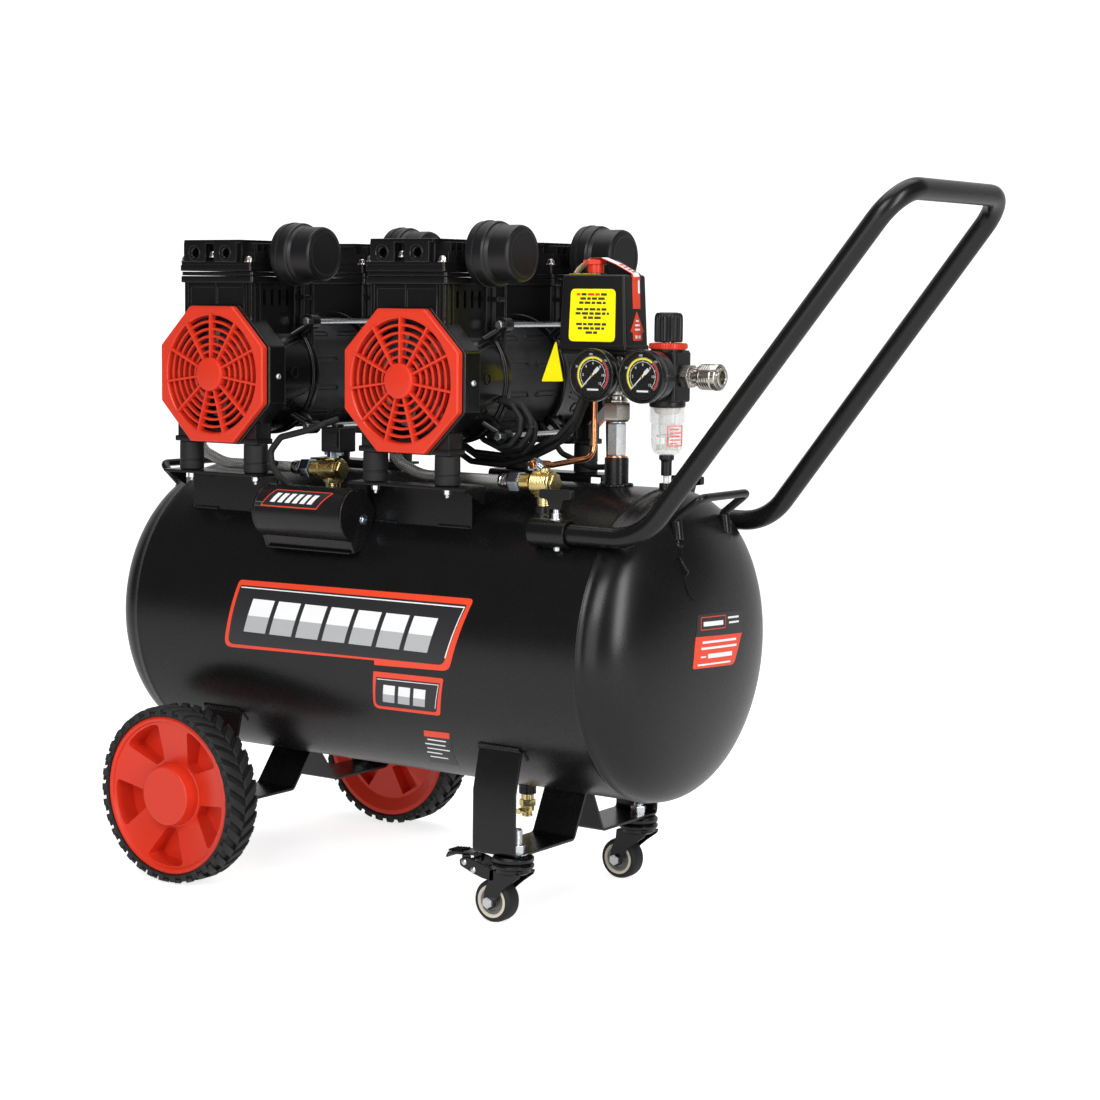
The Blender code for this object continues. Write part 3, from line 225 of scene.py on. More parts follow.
# The yellow label film and the yellow dial print glow: painted light, they are no lamps.
YELLOW = surface("yellow_label_film", (1.0, 0.86, 0.006), 0.45, vary=0.03, grain=600, bump=0.06, rough_vary=0.05, spec=0.18, glow=0.20)
DIAL_YELLOW = surface("yellow_dial_print", (0.93, 0.80, 0.04), 0.45, vary=0.03, bump=0.0, spec=0.2, glow=0.12)
DIAL_RED = surface("red_dial_print", (0.62, 0.035, 0.035), 0.45, vary=0.03, bump=0.0)
LABEL_RED = surface("orange_red_label_film", (0.84, 0.062, 0.020), 0.40, vary=0.04, grain=600, bump=0.06)
LABEL_DARK = surface("charcoal_label_film", (0.016, 0.016, 0.019), 0.42, vary=0.12, grain=500, bump=0.08)
# The white print glows a little: painted light.
LABEL_WHITE = surface("white_label_print", (0.84, 0.84, 0.84), 0.45, vary=0.03, bump=0.0, glow=0.10)
LABEL_GREY = surface("silver_label_print", (0.46, 0.47, 0.48), 0.42, vary=0.06, bump=0.0)
LABEL_INK = surface("dark_label_print", (0.05, 0.045, 0.03), 0.5, vary=0.1, bump=0.0)
TAPE_BACK = surface("pale_tape_back", (0.62, 0.54, 0.45), 0.6, vary=0.08, bump=0.1)


def braid_material():
    """Woven wire: two sets of strands that cross, from the tube's own (around, along) coordinates."""
    mat = bpy.data.materials.new("stainless_wire_braid")
    mat.use_nodes = True
    tree = mat.node_tree
    shader = tree.nodes["Principled BSDF"]
    uv = tree.nodes.new("ShaderNodeUVMap")
    uv.uv_map = "around_along"
    split = tree.nodes.new("ShaderNodeSeparateXYZ")
    link(tree, uv.outputs["UV"], split.inputs[0])

    def maths(kind, a, b=None, c=None):
        node = tree.nodes.new("ShaderNodeMath")
        node.operation = kind
        for i, value in enumerate((a, b, c)):
            if value is None:
                continue
            if isinstance(value, (int, float)):
                node.inputs[i].default_value = value
            else:
                link(tree, value, node.inputs[i])
        return node.outputs[0]

    around = maths("MULTIPLY", split.outputs["X"], 2 * math.pi * 12)
    along = maths("MULTIPLY", split.outputs["Y"], 2 * math.pi * 330)
    one = maths("SINE", maths("ADD", around, along))
    two = maths("SINE", maths("SUBTRACT", around, along))
    weave = maths("MAXIMUM", one, two)
    fine = maths("ABSOLUTE", maths("SINE", maths("MULTIPLY", maths("ADD", around, along), 3.0)))
    height = maths("ADD", weave, maths("MULTIPLY", fine, 0.25))
    ramp = tree.nodes.new("ShaderNodeMapRange")
    ramp.inputs["From Min"].default_value = -0.6
    ramp.inputs["From Max"].default_value = 1.1
    link(tree, height, ramp.inputs["Value"])
    tint = tree.nodes.new("ShaderNodeMix")
    tint.data_type = "RGBA"
    tint.inputs["A"].default_value = (0.085, 0.080, 0.074, 1)
    tint.inputs["B"].default_value = (0.82, 0.80, 0.77, 1)
    link(tree, ramp.outputs["Result"], tint.inputs["Factor"])
    link(tree, tint.outputs["Result"], shader.inputs["Base Color"])
    relief = tree.nodes.new("ShaderNodeBump")
    relief.inputs["Strength"].default_value = 0.7
    relief.inputs["Distance"].default_value = 0.0005
    link(tree, height, relief.inputs["Height"])
    link(tree, relief.outputs["Normal"], shader.inputs["Normal"])
    shader.inputs["Metallic"].default_value = 0.9
    shader.inputs["Roughness"].default_value = 0.34
    return mat


def clear_material(name, tint, rough, solid):
    """Clear plastic: a thin veil of its own colour that lets the rest of the light straight through."""
    mat = surface(name, tint, rough, vary=0.02, grain=300, bump=0.02, rough_vary=0.02)
    mat.node_tree.nodes["Principled BSDF"].inputs["Alpha"].default_value = solid
    return mat


BRAID = braid_material()
CLEAR = clear_material("clear_polycarbonate", (0.93, 0.95, 0.95), 0.06, 0.24)
LENS = clear_material("clear_gauge_lens", (0.10, 0.10, 0.10), 0.03, 0.045)


# ------------------------------------------------------------------ shapes
def corner_cut(points, radius, steps=3, closed=False, least=18.0):
    """The line with each corner sharper than `least` degrees replaced by an arc."""
    points = [Vector(p) for p in points]
    count = len(points)
    made = []
    for i, corner in enumerate(points):
        if not closed and i in (0, count - 1):
            made.append(corner)
            continue
        before, after = points[i - 1], points[(i + 1) % count]
        r = radius[i] if isinstance(radius, (list, tuple)) else radius
        a, b = before - corner, after - corner
        if a.length < 1e-9 or b.length < 1e-9 or not r:
            made.append(corner)
            continue
        angle = a.angle(b)
        if math.degrees(math.pi - angle) < least:
            made.append(corner)
            continue
        reach = r / math.tan(angle / 2)
        limit = 0.48 * min(a.length, b.length)
        if reach > limit:
            reach = limit
        start, end = corner + a.normalized() * reach, corner + b.normalized() * reach
        for j in range(steps + 1):
            t = j / steps
            bent = start.lerp(corner, t).lerp(corner.lerp(end, t), t)
            made.append(bent)
    return made


def frame_along(origin, direction):
    turn = Vector(direction).to_track_quat("Z", "Y").to_matrix().to_4x4()
    return Matrix.Translation(Vector(origin)) @ turn


class Shape:
    """Closed shells gathered into one mesh."""

    def __init__(self):
        self.bm = bmesh.new()
        self.uv = self.bm.loops.layers.uv.new("around_along")

    def take(self, bm, bevel=0.0, segments=2, angle=30.0, place=None):
        bmesh.ops.recalc_face_normals(bm, faces=bm.faces)
        if bevel:
            limit = math.radians(angle)
            edges = [e for e in bm.edges if len(e.link_faces) == 2 and e.calc_face_angle(0.0) > limit]
            if edges:
                bmesh.ops.bevel(bm, geom=edges, offset=bevel, segments=segments, profile=0.5,
                                affect="EDGES", clamp_overlap=True)
        if place is not None:
            bmesh.ops.transform(bm, matrix=place, verts=bm.verts)
            if place.determinant() < 0:
                bmesh.ops.reverse_faces(bm, faces=bm.faces)
        mesh = bpy.data.meshes.new("shell")
        bm.to_mesh(mesh)
        bm.free()
        self.bm.from_mesh(mesh)
        bpy.data.meshes.remove(mesh)
        return self

    def add(self, other, place=None):
        copy = other.bm.copy()
        if place is not None:
            bmesh.ops.transform(copy, matrix=place, verts=copy.verts)
            if place.determinant() < 0:
                bmesh.ops.reverse_faces(copy, faces=copy.faces)
        mesh = bpy.data.meshes.new("shell")
        copy.to_mesh(mesh)
        copy.free()
        self.bm.from_mesh(mesh)
        bpy.data.meshes.remove(mesh)
        return self

    def box(self, x0, x1, y0, y1, z0, z1, bevel=0.0006, segments=2, place=None):
        bm = bmesh.new()
        size = Matrix.Diagonal((abs(x1 - x0), abs(y1 - y0), abs(z1 - z0), 1.0))
        centre = Matrix.Translation(((x0 + x1) / 2, (y0 + y1) / 2, (z0 + z1) / 2))
        bmesh.ops.create_cube(bm, size=1.0, matrix=centre @ size)
        return self.take(bm, bevel, segments, place=place)

    def rod(self, start, end, radius, top=None, sides=32, bevel=0.0004, turn=0.0):
        start, end = Vector(start), Vector(end)
        bm = bmesh.new()
        place = frame_along((start + end) / 2, end - start) @ Matrix.Rotation(turn, 4, "Z")
        bmesh.ops.create_cone(bm, cap_ends=True, segments=sides, radius1=radius,
                              radius2=radius if top is None else top, depth=(end - start).length, matrix=place)
        return self.take(bm, bevel, 2, angle=40.0)

    def hexa(self, start, end, across, bevel=0.0005, turn=0.0):
        return self.rod(start, end, across / math.sqrt(3), sides=6, bevel=bevel, turn=turn)

    def lathe(self, profile, origin, axis, steps=48, soften=0.0, ring=False, arc=3):
        """Turns (radius, height) points about the axis; both ends lie on it, or ring closes the section."""
        pts = [tuple(p) for p in profile]
        if soften:
            pts = [(p.x, p.y) for p in corner_cut([(r, h) for r, h in pts], soften, arc, closed=ring)]
        place = frame_along(origin, axis)
        bm = bmesh.new()
        uv = bm.loops.layers.uv.new("around_along")
        rows = []
        for r, h in pts:
            if r < 1e-7:
                rows.append([bm.verts.new((0, 0, h))] * steps)
            else:
                rows.append([bm.verts.new((r * math.cos(i * math.tau / steps), r * math.sin(i * math.tau / steps), h))
                             for i in range(steps)])
        pairs = list(zip(range(len(rows) - 1), range(1, len(rows))))
        if ring:
            pairs.append((len(rows) - 1, 0))
        walked = [0.0]
        for a, b in zip(pts, pts[1:]):
            walked.append(walked[-1] + math.hypot(a[0] - b[0], a[1] - b[1]))
        for a, b in pairs:
            for i in range(steps):
                j = (i + 1) % steps
                corners, seen = [], set()
                for v, u, w in ((rows[a][i], i, a), (rows[a][j], i + 1, a), (rows[b][j], i + 1, b), (rows[b][i], i, b)):
                    if v not in seen:
                        seen.add(v)
                        corners.append((v, u / steps, walked[w]))
                if len(corners) > 2:
                    face = bm.faces.new([c[0] for c in corners])
                    for loop, c in zip(face.loops, corners):
                        loop[uv].uv = (c[1], c[2])
        bmesh.ops.recalc_face_normals(bm, faces=bm.faces)
        bmesh.ops.transform(bm, matrix=place, verts=bm.verts)
        return self.take(bm)

    def prism(self, outline, axis, low, high, bevel=0.0005, segments=2, angle=30.0, place=None):
        """Outline points are (y, z), (x, z) or (x, y) for axis X, Y or Z."""
        turn = {"X": lambda u, v, w: (w, u, v), "Y": lambda u, v, w: (u, w, v), "Z": lambda u, v, w: (u, v, w)}[axis]
        bm = bmesh.new()
        rows = [[bm.verts.new(turn(u, v, w)) for u, v in [tuple(p)[:2] for p in outline]] for w in (low, high)]
        count = len(outline)
        bm.faces.new(rows[0])
        bm.faces.new(rows[1])
        for i in range(count):
            j = (i + 1) % count
            bm.faces.new((rows[0][i], rows[0][j], rows[1][j], rows[1][i]))
        return self.take(bm, bevel, segments, angle, place)

    def sweep(self, path, radius, sides=16, caps=True, closed=False):
        path = [Vector(p) for p in path]
        count = len(path)
        bm = bmesh.new()
        uv = bm.loops.layers.uv.new("around_along")
        tangents = []
        for i in range(count):
            a = path[i - 1] if (i or closed) else path[i]
            b = path[(i + 1) % count] if (i < count - 1 or closed) else path[i]
            tangents.append((b - a).normalized())
        normal = tangents[0].orthogonal().normalized()
        rows, walked = [], [0.0]
        for i, (point, tangent) in enumerate(zip(path, tangents)):
            normal = (normal - tangent * normal.dot(tangent)).normalized()
            side = tangent.cross(normal)
            r = radius[i] if isinstance(radius, (list, tuple)) else radius
            rows.append([bm.verts.new(point + (normal * math.cos(t) + side * math.sin(t)) * r)
                         for t in (j * math.tau / sides for j in range(sides))])
            if i:
                walked.append(walked[-1] + (path[i] - path[i - 1]).length)
        pairs = list(zip(range(count - 1), range(1, count)))
        if closed:
            pairs.append((count - 1, 0))
        for a, b in pairs:
            for i in range(sides):
                j = (i + 1) % sides
                face = bm.faces.new((rows[a][i], rows[a][j], rows[b][j], rows[b][i]))
                for loop, (u, w) in zip(face.loops, ((i, a), (i + 1, a), (i + 1, b), (i, b))):
                    loop[uv].uv = (u / sides, walked[w])
        if caps and not closed:
            bm.faces.new(rows[0])
            bm.faces.new(rows[-1])
        return self.take(bm)

    def strip(self, line, low, high, thickness, bend=0.004, bevel=0.0005, steps=4):
        """Bent plate: a (y, z) line along X, with rounded bends."""
        line = corner_cut([Vector((y, z, 0)) for y, z in line], bend, steps)
        sides = ([], [])
        for i, p in enumerate(line):
            a = (line[i] - line[i - 1]).normalized() if i else (line[1] - line[0]).normalized()
            b = (line[i + 1] - line[i]).normalized() if i < len(line) - 1 else a
            n1, n2 = Vector((-a.y, a.x, 0)), Vector((-b.y, b.x, 0))
            n = (n1 + n2).normalized()
            n /= max(0.3, n.dot(n1))
            sides[0].append(p + n * thickness / 2)
            sides[1].append(p - n * thickness / 2)
        outline = [(p.x, p.y) for p in sides[0]] + [(p.x, p.y) for p in reversed(sides[1])]
        return self.prism(outline, "X", low, high, bevel, 2, 40.0)


def as_object(shape):
    mesh = bpy.data.meshes.new("tool")
    shape.bm.to_mesh(mesh)
    obj = bpy.data.objects.new("tool", mesh)
    bpy.context.scene.collection.objects.link(obj)
    return obj


def carve(shape, *tools, operation="DIFFERENCE"):
    """The shape with each tool cut from it or joined to it, as a new Shape."""
    base = as_object(shape)
    helpers = []
    for tool in tools:
        other = as_object(tool)
        helpers.append(other)
        step = base.modifiers.new("cut", "BOOLEAN")
        step.operation = operation
        step.solver = "EXACT"
        step.use_self = True
        step.object = other
    graph = bpy.context.evaluated_depsgraph_get()
    mesh = bpy.data.meshes.new_from_object(base.evaluated_get(graph))
    for obj in [base] + helpers:
        data = obj.data
        bpy.data.objects.remove(obj, do_unlink=True)
        bpy.data.meshes.remove(data)
    made = Shape()
    made.bm.free()
    made.bm = bmesh.new()
    made.bm.from_mesh(mesh)
    bpy.data.meshes.remove(mesh)
    return made


def piece(name, shape, material, body=CHASSIS, replaces=(), smooth=38.0, weighted=True, edge=0.0):
    """Names the shape as a finished piece of the object, riding on its body."""
    bm = shape.bm
    if edge:
        limit = math.radians(35)
        bmesh.ops.dissolve_limit(bm, angle_limit=math.radians(1), verts=bm.verts, edges=bm.edges)
        edges = [e for e in bm.edges if len(e.link_faces) == 2 and e.calc_face_angle(0.0) > limit]
        bmesh.ops.bevel(bm, geom=edges, offset=edge, segments=2, profile=0.5, affect="EDGES", clamp_overlap=True)
    bmesh.ops.translate(bm, vec=(DX, 0, 0), verts=bm.verts)
    mesh = bpy.data.meshes.new(name)
    bm.to_mesh(mesh)
    bm.free()
    mesh.polygons.foreach_set("use_smooth", [True] * len(mesh.polygons))
    mesh.set_sharp_from_angle(angle=math.radians(smooth))
    mesh.materials.append(material)
    obj = bpy.data.objects.new(name, mesh)
    bpy.context.scene.collection.objects.link(obj)
    if weighted:
        shade = obj.modifiers.new("flat_faces_stay_flat", "WEIGHTED_NORMAL")
        shade.keep_sharp = True
        shade.weight = 60
    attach(obj, body)
    if replaces:
        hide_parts(*replaces)
    return obj


def arc_points(centre, radius, start, end, steps):
    return [(centre[0] + radius * math.cos(t), centre[1] + radius * math.sin(t))
            for t in (start + (end - start) * i / steps for i in range(steps + 1))]


def stadium(centre, half, radius, angle=0.0, steps=8):
    """Outline of a slot with round ends, (u, v), long way along `angle`."""
    c, s = math.cos(angle), math.sin(angle)
    pts = []
    for sign, start in ((1, -math.pi / 2), (-1, math.pi / 2)):
        for i in range(steps + 1):
            t = start + i * math.pi / steps
            u, v = sign * half + radius * math.cos(t), radius * math.sin(t)
            pts.append((centre[0] + u * c - v * s, centre[1] + u * s + v * c))
    return pts


def hex_bolt(shape, origin, axis, across=0.0080, height=0.0050, washer=0.0, stud=0.0, stud_r=0.0025):
    """Hex head or nut on a face, pointing along the axis, with its washer and the end of its stud."""
    o, a = Vector(origin), Vector(axis).normalized()
    lift = 0.0
    if washer:
        shape.rod(o - a * 0.0005, o + a * 0.0012, washer, sides=28, bevel=0.0003)
        lift = 0.0012
    shape.hexa(o + a * (lift - 0.0003), o + a * (lift + height), across, bevel=0.0006)
    shape.rod(o + a * (lift + height - 0.0006), o + a * (lift + height + 0.0004), across * 0.42, sides=24, bevel=0.0003)
    if stud:
        shape.rod(o + a * (lift + height), o + a * (lift + height + stud), stud_r, sides=16, bevel=0.0005)
        turns = int(stud / 0.0009)
        for i in range(turns):
            at = o + a * (lift + height + 0.0006 + i * 0.0009)
            shape.rod(at, at + a * 0.0004, stud_r + 0.00028, sides=16, bevel=0.00012)


def pan_screw(origin, axis, radius=0.0036, height=0.0022):
    """Cross-recess pan head."""
    made = Shape()
    place = frame_along((0, 0, 0), (0, 0, 1))
    dome = [(0.0, height), (radius * 0.45, height * 0.97), (radius * 0.80, height * 0.72), (radius, height * 0.25),
            (radius, -0.0006), (0.0, -0.0006)]
    made.lathe(dome, (0, 0, 0), (0, 0, 1), 28)
    w, l = radius * 0.16, radius * 0.60
    tool = Shape()
    tool.box(-l, l, -w, w, height * 0.45, height * 2, 0)
    other = Shape()
    other.box(-w, w, -l, l, height * 0.45, height * 2, 0)
    made = carve(made, tool, other)
    bmesh.ops.transform(made.bm, matrix=frame_along(origin, axis), verts=made.bm.verts)
    return made


def weld(shape, path, radius=0.0019, pitch=0.0042):
    """Stacked-dime weld bead: a tube whose radius swells and shrinks along its length."""
    path = [Vector(p) for p in path]
    length = sum((b - a).length for a, b in zip(path, path[1:]))
    count = max(8, int(length / pitch * 6))
    out, radii, walked = [], [], 0.0
    seg, done = 0, 0.0
    for i in range(count + 1):
        goal = length * i / count
        while seg < len(path) - 2 and done + (path[seg + 1] - path[seg]).length < goal:
            done += (path[seg + 1] - path[seg]).length
            seg += 1
        step = (path[seg + 1] - path[seg]).length
        out.append(path[seg].lerp(path[seg + 1], min(1, (goal - done) / step)))
        radii.append(radius * (0.84 + 0.22 * abs(math.sin(goal / pitch * math.pi)) + random.uniform(-0.05, 0.05)))
    shape.sweep(out, radii, 10)


# ------------------------------------------------------------------ receiver
def dome_end(radius=TANK_R, rings=26):
    pts = []
    for i in range(rings + 1):
        t = i * math.pi / 2 / rings
        pts.append((radius * max(0.0, math.cos(t)) ** 0.80 if i < rings else 0.0,
                    TANK_SEAM + TANK_DOME * math.sin(t) ** 0.92))
    return pts


def on_dome(y, z, lift=0.0, end=1):
    rho = min(math.hypot(y, z - TANK_Z), TANK_R * 0.999)
    c = (rho / TANK_R) ** (1 / 0.8)
    return Vector((end * (TANK_SEAM + TANK_DOME * math.sqrt(max(0.0, 1 - c * c)) ** 0.92 + lift), y, z))


def on_shell(x, s, lift=0.0, side=-1):
    """A point of the barrel: s is the arc length up from the level of the axis, on the front for side -1."""
    t = s / TANK_R
    r = TANK_R + lift
    return Vector((x, side * r * math.cos(t), TANK_Z + r * math.sin(t)))


def arc_of(z):
    return TANK_R * math.asin((z - TANK_Z) / TANK_R)


seam = [(TANK_R, TANK_SEAM - 0.0075), (TANK_R + 0.0003, TANK_SEAM - 0.0055), (TANK_R + 0.0007, TANK_SEAM - 0.0040),
        (TANK_R + 0.0008, TANK_SEAM - 0.0026), (TANK_R + 0.0004, TANK_SEAM - 0.0014), (TANK_R - 0.0004, TANK_SEAM - 0.0006)]
end = dome_end()
end = [(r - 0.0004 * min(1.0, r / 0.1), h) for r, h in end[1:]]
half = seam + end
barrel = [(r, -h) for r, h in reversed(half)] + half
tank = Shape().lathe(barrel, (0, 0, TANK_Z), (1, 0, 0), 200)
piece("receiver_shell", tank, POWDER, replaces=["receiver_tank"], weighted=False, smooth=50)


def film(outline, lift, where, cell=0.004):
    """A thin film on a curved face: the outline is in flat (u, v), `where` puts it on the face."""
    bm = bmesh.new()
    bm.faces.new([bm.verts.new((p[0], p[1], 0)) for p in outline])
    us, vs = [p[0] for p in outline], [p[1] for p in outline]
    for axis, values in ((0, us), (1, vs)):
        low, high = min(values), max(values)
        steps = int((high - low) / cell)
        for i in range(1, steps):
            at = low + (high - low) * i / steps
            co, no = ((at, 0, 0), (1, 0, 0)) if axis == 0 else ((0, at, 0), (0, 1, 0))
            bmesh.ops.bisect_plane(bm, geom=bm.verts[:] + bm.edges[:] + bm.faces[:], dist=1e-7,
                                   plane_co=co, plane_no=no)
    solid = bmesh.ops.extrude_face_region(bm, geom=bm.faces[:])
    tops = [v for v in solid["geom"] if isinstance(v, bmesh.types.BMVert)]
    marked = set(tops)
    for v in bm.verts:
        v.co = where(v.co.x, v.co.y, lift if v in marked else -0.0006)
    return Shape().take(bm)


def flat_round(points, radius):
    return [(p.x, p.y) for p in corner_cut([Vector((a, b, 0)) for a, b in points], radius, 5, closed=True)]


def shell_pts(*pts):
    return [(x, arc_of(z)) for x, z in pts]


# Front graphic: a framed slanted panel with plain slanted bars, and a smaller one hanging from it.
red_outer = flat_round(
    shell_pts((-0.1587, 0.2475), (0.0411, 0.2521), (0.0406, 0.2474), (0.1334, 0.2502), (0.1580, 0.3222), (-0.1415, 0.3182)),
    [0.008, 0.0002, 0.0002, 0.012, 0.004, 0.006])
dark_inner = flat_round(
    shell_pts((-0.1528, 0.2512), (0.1270, 0.2556), (0.1513, 0.3160), (-0.1385, 0.3130)), [0.006, 0.010, 0.002, 0.003])
small_outer = flat_round(shell_pts((0.0285, 0.2010), (0.1120, 0.2021), (0.1258, 0.2422), (0.0386, 0.2408)),
                         [0.006, 0.006, 0.002, 0.001])
small_inner = flat_round(shell_pts((0.0318, 0.2042), (0.1085, 0.2054), (0.1208, 0.2368), (0.0412, 0.2352)),
                         [0.005, 0.005, 0.001, 0.001])
piece("front_graphic_frame", film(red_outer, 0.00018, on_shell).add(film(small_outer, 0.00018, on_shell)), LABEL_RED,
      weighted=False)
piece("front_graphic_panel", film(dark_inner, 0.00030, on_shell).add(film(small_inner, 0.00030, on_shell)), LABEL_DARK,
      weighted=False)
lines = Shape()
lines.add(film(shell_pts((-0.1374, 0.3104), (0.1490, 0.3128), (0.1493, 0.3140), (-0.1371, 0.3114)), 0.00040, on_shell))
lines.add(film(shell_pts((0.1480, 0.3130), (0.1493, 0.3140), (0.1300, 0.2628), (0.1288, 0.2630)), 0.00040, on_shell))
lines.add(film(shell_pts((0.0420, 0.2330), (0.1188, 0.2345), (0.1188, 0.2352), (0.0420, 0.2337)), 0.00040, on_shell))
lines.add(film(shell_pts((0.1182, 0.2346), (0.1190, 0.2352), (0.1085, 0.2095), (0.1078, 0.2095)), 0.00040, on_shell))
upper, lower = Shape(), Shape()


def bar_pair(x0, x1, z_low, z_mid, z_high, slant):
    for target, a, b in ((lower, z_low, z_mid), (upper, z_mid, z_high)):
        sa, sb = (a - z_low) * slant, (b - z_low) * slant
        target.add(film(shell_pts((x0 + sa, a), (x1 + sa, a), (x1 + sb, b), (x0 + sb, b)), 0.00042, on_shell))


for i in range(7):
    bar_pair(-0.1300 + i * 0.0348, -0.1010 + i * 0.0348, 0.2660, 0.2830, 0.3005, 0.33)
for i in range(3):
    bar_pair(0.0430 + i * 0.0190, 0.0575 + i * 0.0190, 0.2095, 0.2180, 0.2280, 0.33)
piece("front_graphic_lines", lines.add(upper), LABEL_WHITE, weighted=False)
piece("front_graphic_bars", lower, LABEL_GREY, weighted=False)

small_label = shell_pts((0.0600, 0.1420), (0.0960, 0.1425), (0.1150, 0.1840), (0.0830, 0.1832))
piece("shell_notice_panel", film(small_label, 0.00020, on_shell), LABEL_DARK, weighted=False)
piece("shell_notice_header", film(shell_pts((0.0795, 0.1760), (0.1118, 0.1768), (0.1150, 0.1838), (0.0832, 0.1830)),
                                  0.00030, on_shell), LABEL_RED, weighted=False)
rows = Shape()
for i, (a, b) in enumerate(((0.15, 0.85), (0.05, 0.80), (0.10, 0.92), (0.05, 0.60), (0.12, 0.75))):
    z0 = 0.1720 - i * 0.0055
    left, right = 0.0600 + (z0 - 0.1420) * 0.55, 0.0960 + (z0 - 0.1420) * 0.45
    span_x = right - left
    rows.add(film(shell_pts((left + span_x * a, z0), (left + span_x * b, z0), (left + span_x * b + 0.0005, z0 + 0.0014),
                            (left + span_x * a + 0.0005, z0 + 0.0014)), 0.00034, on_shell))
piece("shell_notice_lines", rows, LABEL_WHITE, weighted=False)


# Rating label on the end, and the raised plate above it.
def end_face(y, z, lift):
    return on_dome(y, z, lift)


rating = flat_round([(-0.0439, 0.2587), (0.0347, 0.2542), (0.0501, 0.2837), (0.0546, 0.3068), (-0.0345, 0.3107)],
                    [0.002, 0.010, 0.006, 0.001, 0.001])
piece("rating_label_panel", film(rating, 0.00025, end_face), LABEL_DARK, weighted=False)
orange = flat_round([(-0.0435, 0.2592), (0.0342, 0.2548), (0.0493, 0.2837), (0.0512, 0.2843), (-0.0387, 0.2896)],
                    [0.002, 0.010, 0.003, 0.0005, 0.0005])
frame_box = Shape().add(film(orange, 0.00040, end_face))
for a, b, c, d in ((-0.0290, 0.0160, 0.3070, 0.3078), (-0.0300, 0.0150, 0.2950, 0.2958)):
    frame_box.add(film([(a, c), (b, c - 0.0020), (b, d - 0.0020), (a, d)], 0.00045, end_face))
for a, c, d in ((-0.0300, 0.2952, 0.3076), (0.0152, 0.2932, 0.3056)):
    frame_box.add(film([(a, c), (a + 0.0007, c), (a + 0.0013, d), (a + 0.0006, d)], 0.00045, end_face))
piece("rating_label_red", frame_box, LABEL_RED, weighted=False)
prints = Shape()
for a, b, z0, h in ((-0.0250, 0.0110, 0.2985, 0.0044), (0.0210, 0.0430, 0.3016, 0.0018), (0.0230, 0.0430, 0.2966, 0.0018),
                    (-0.0270, 0.0370, 0.2820, 0.0022), (-0.0290, 0.0380, 0.2762, 0.0022), (-0.0169, 0.0290, 0.2668, 0.0042),
                    (-0.0300, -0.0210, 0.2685, 0.0014), (-0.0350, 0.0260, 0.2612, 0.0016)):
    prints.add(film([(a, z0), (b, z0 - (b - a) * 0.05), (b, z0 + h - (b - a) * 0.05), (a, z0 + h)], 0.00055, end_face))
piece("rating_label_print", prints, LABEL_WHITE, weighted=False)

plate = flat_round([(-0.0520, 0.3235), (0.0600, 0.3205), (0.0620, 0.3830), (-0.0480, 0.3845)],
                   [0.022, 0.018, 0.020, 0.014])
piece("end_plate", film(plate, 0.0011, end_face, 0.0050), POWDER, weighted=False, smooth=30)
clip = [on_dome(-0.0530, 0.3665, 0.0010), on_dome(-0.0560, 0.3640, 0.0048), on_dome(-0.0545, 0.3590, 0.0056),
        on_dome(-0.0500, 0.3535, 0.0048), on_dome(-0.0480, 0.3500, 0.0010)]
piece("end_plate_clip", Shape().sweep(corner_cut(clip, 0.0025, 4), 0.0012, 12), POWDER)

# Pump saddles: an upright welded to the shell and a flange that carries the rubber mounts.
shapes = Shape()
for x0, x1, top0, top1 in ((-0.2444, -0.1275, -0.2586, -0.1275), (-0.0075, 0.1242, -0.0075, 0.1390)):
    for side in (-1, 1):
        line = [(side * 0.1045, 0.3840), (side * 0.1045, 0.4255), (side * 0.1370, 0.4255)]
        if side > 0:
            line.reverse()
        shapes.strip(line, x0, x1, 0.0030, bend=0.0035, bevel=0.0005)
        for a, b in ((top0, x0 + 0.0002), (x1 - 0.0002, top1)):
            if b - a > 0.004:
                shapes.box(a, b, *sorted((side * 0.1030, side * 0.1370)), 0.4240, 0.4270, 0.0005)
                corner = a + 0.0012 if b <= x0 + 0.001 else b - 0.0012
                shapes.prism([(side * 0.1045, 0.4245), (side * 0.1350, 0.4245), (side * 0.1045, 0.4085)], "X",
                             corner - 0.0012, corner + 0.0012, 0.0004)
        foot = [on_shell(xx, arc_of(0.3868), 0.0003, side) for xx in (x0 + 0.002, (x0 + x1) / 2, x1 - 0.002)]
        for a, b in ((foot[0], foot[0].lerp(foot[2], 0.3)), (foot[0].lerp(foot[2], 0.7), foot[2])):
            weld(shapes, [a + Vector((0, side * 0.0022, -0.0015)), b + Vector((0, side * 0.0022, -0.0015))])
piece("pump_saddles", shapes, POWDER)

# Straps under the shell for the wheels and the casters.
shapes = Shape()
for x0, x1, low, bend in ((0.1466, 0.1972, 0.0690, 0.0270), (-0.2160, -0.1640, 0.0755, 0.0360)):
    for side in (-1, 1):
        line = [(side * 0.1196, 0.1735), (side * (LEG_Y - 0.0015), 0.1320), (side * (LEG_Y - 0.0015), low + 0.0015),
                (side * bend, low + 0.0015), (side * 0.0045, 0.1175)]
        if side > 0:
            line.reverse()
        shapes.strip(line, x0, x1, 0.0030, bend=0.0060, bevel=0.0006)
        for row in (0.0, 0.0032):
            at = [on_shell(xx, arc_of(0.1740) + row, 0.0004, side) for xx in (x0 + 0.001, (x0 + x1) / 2, x1 - 0.001)]
            weld(shapes, at, 0.0020)
        for xx in (x0 - 0.0008, x1 + 0.0008):
            at = [on_shell(xx, arc_of(z), 0.0002, side) for z in (0.1735, 0.1690, 0.1640)]
            weld(shapes, at, 0.0016)
piece("wheel_and_caster_straps", shapes, POWDER)

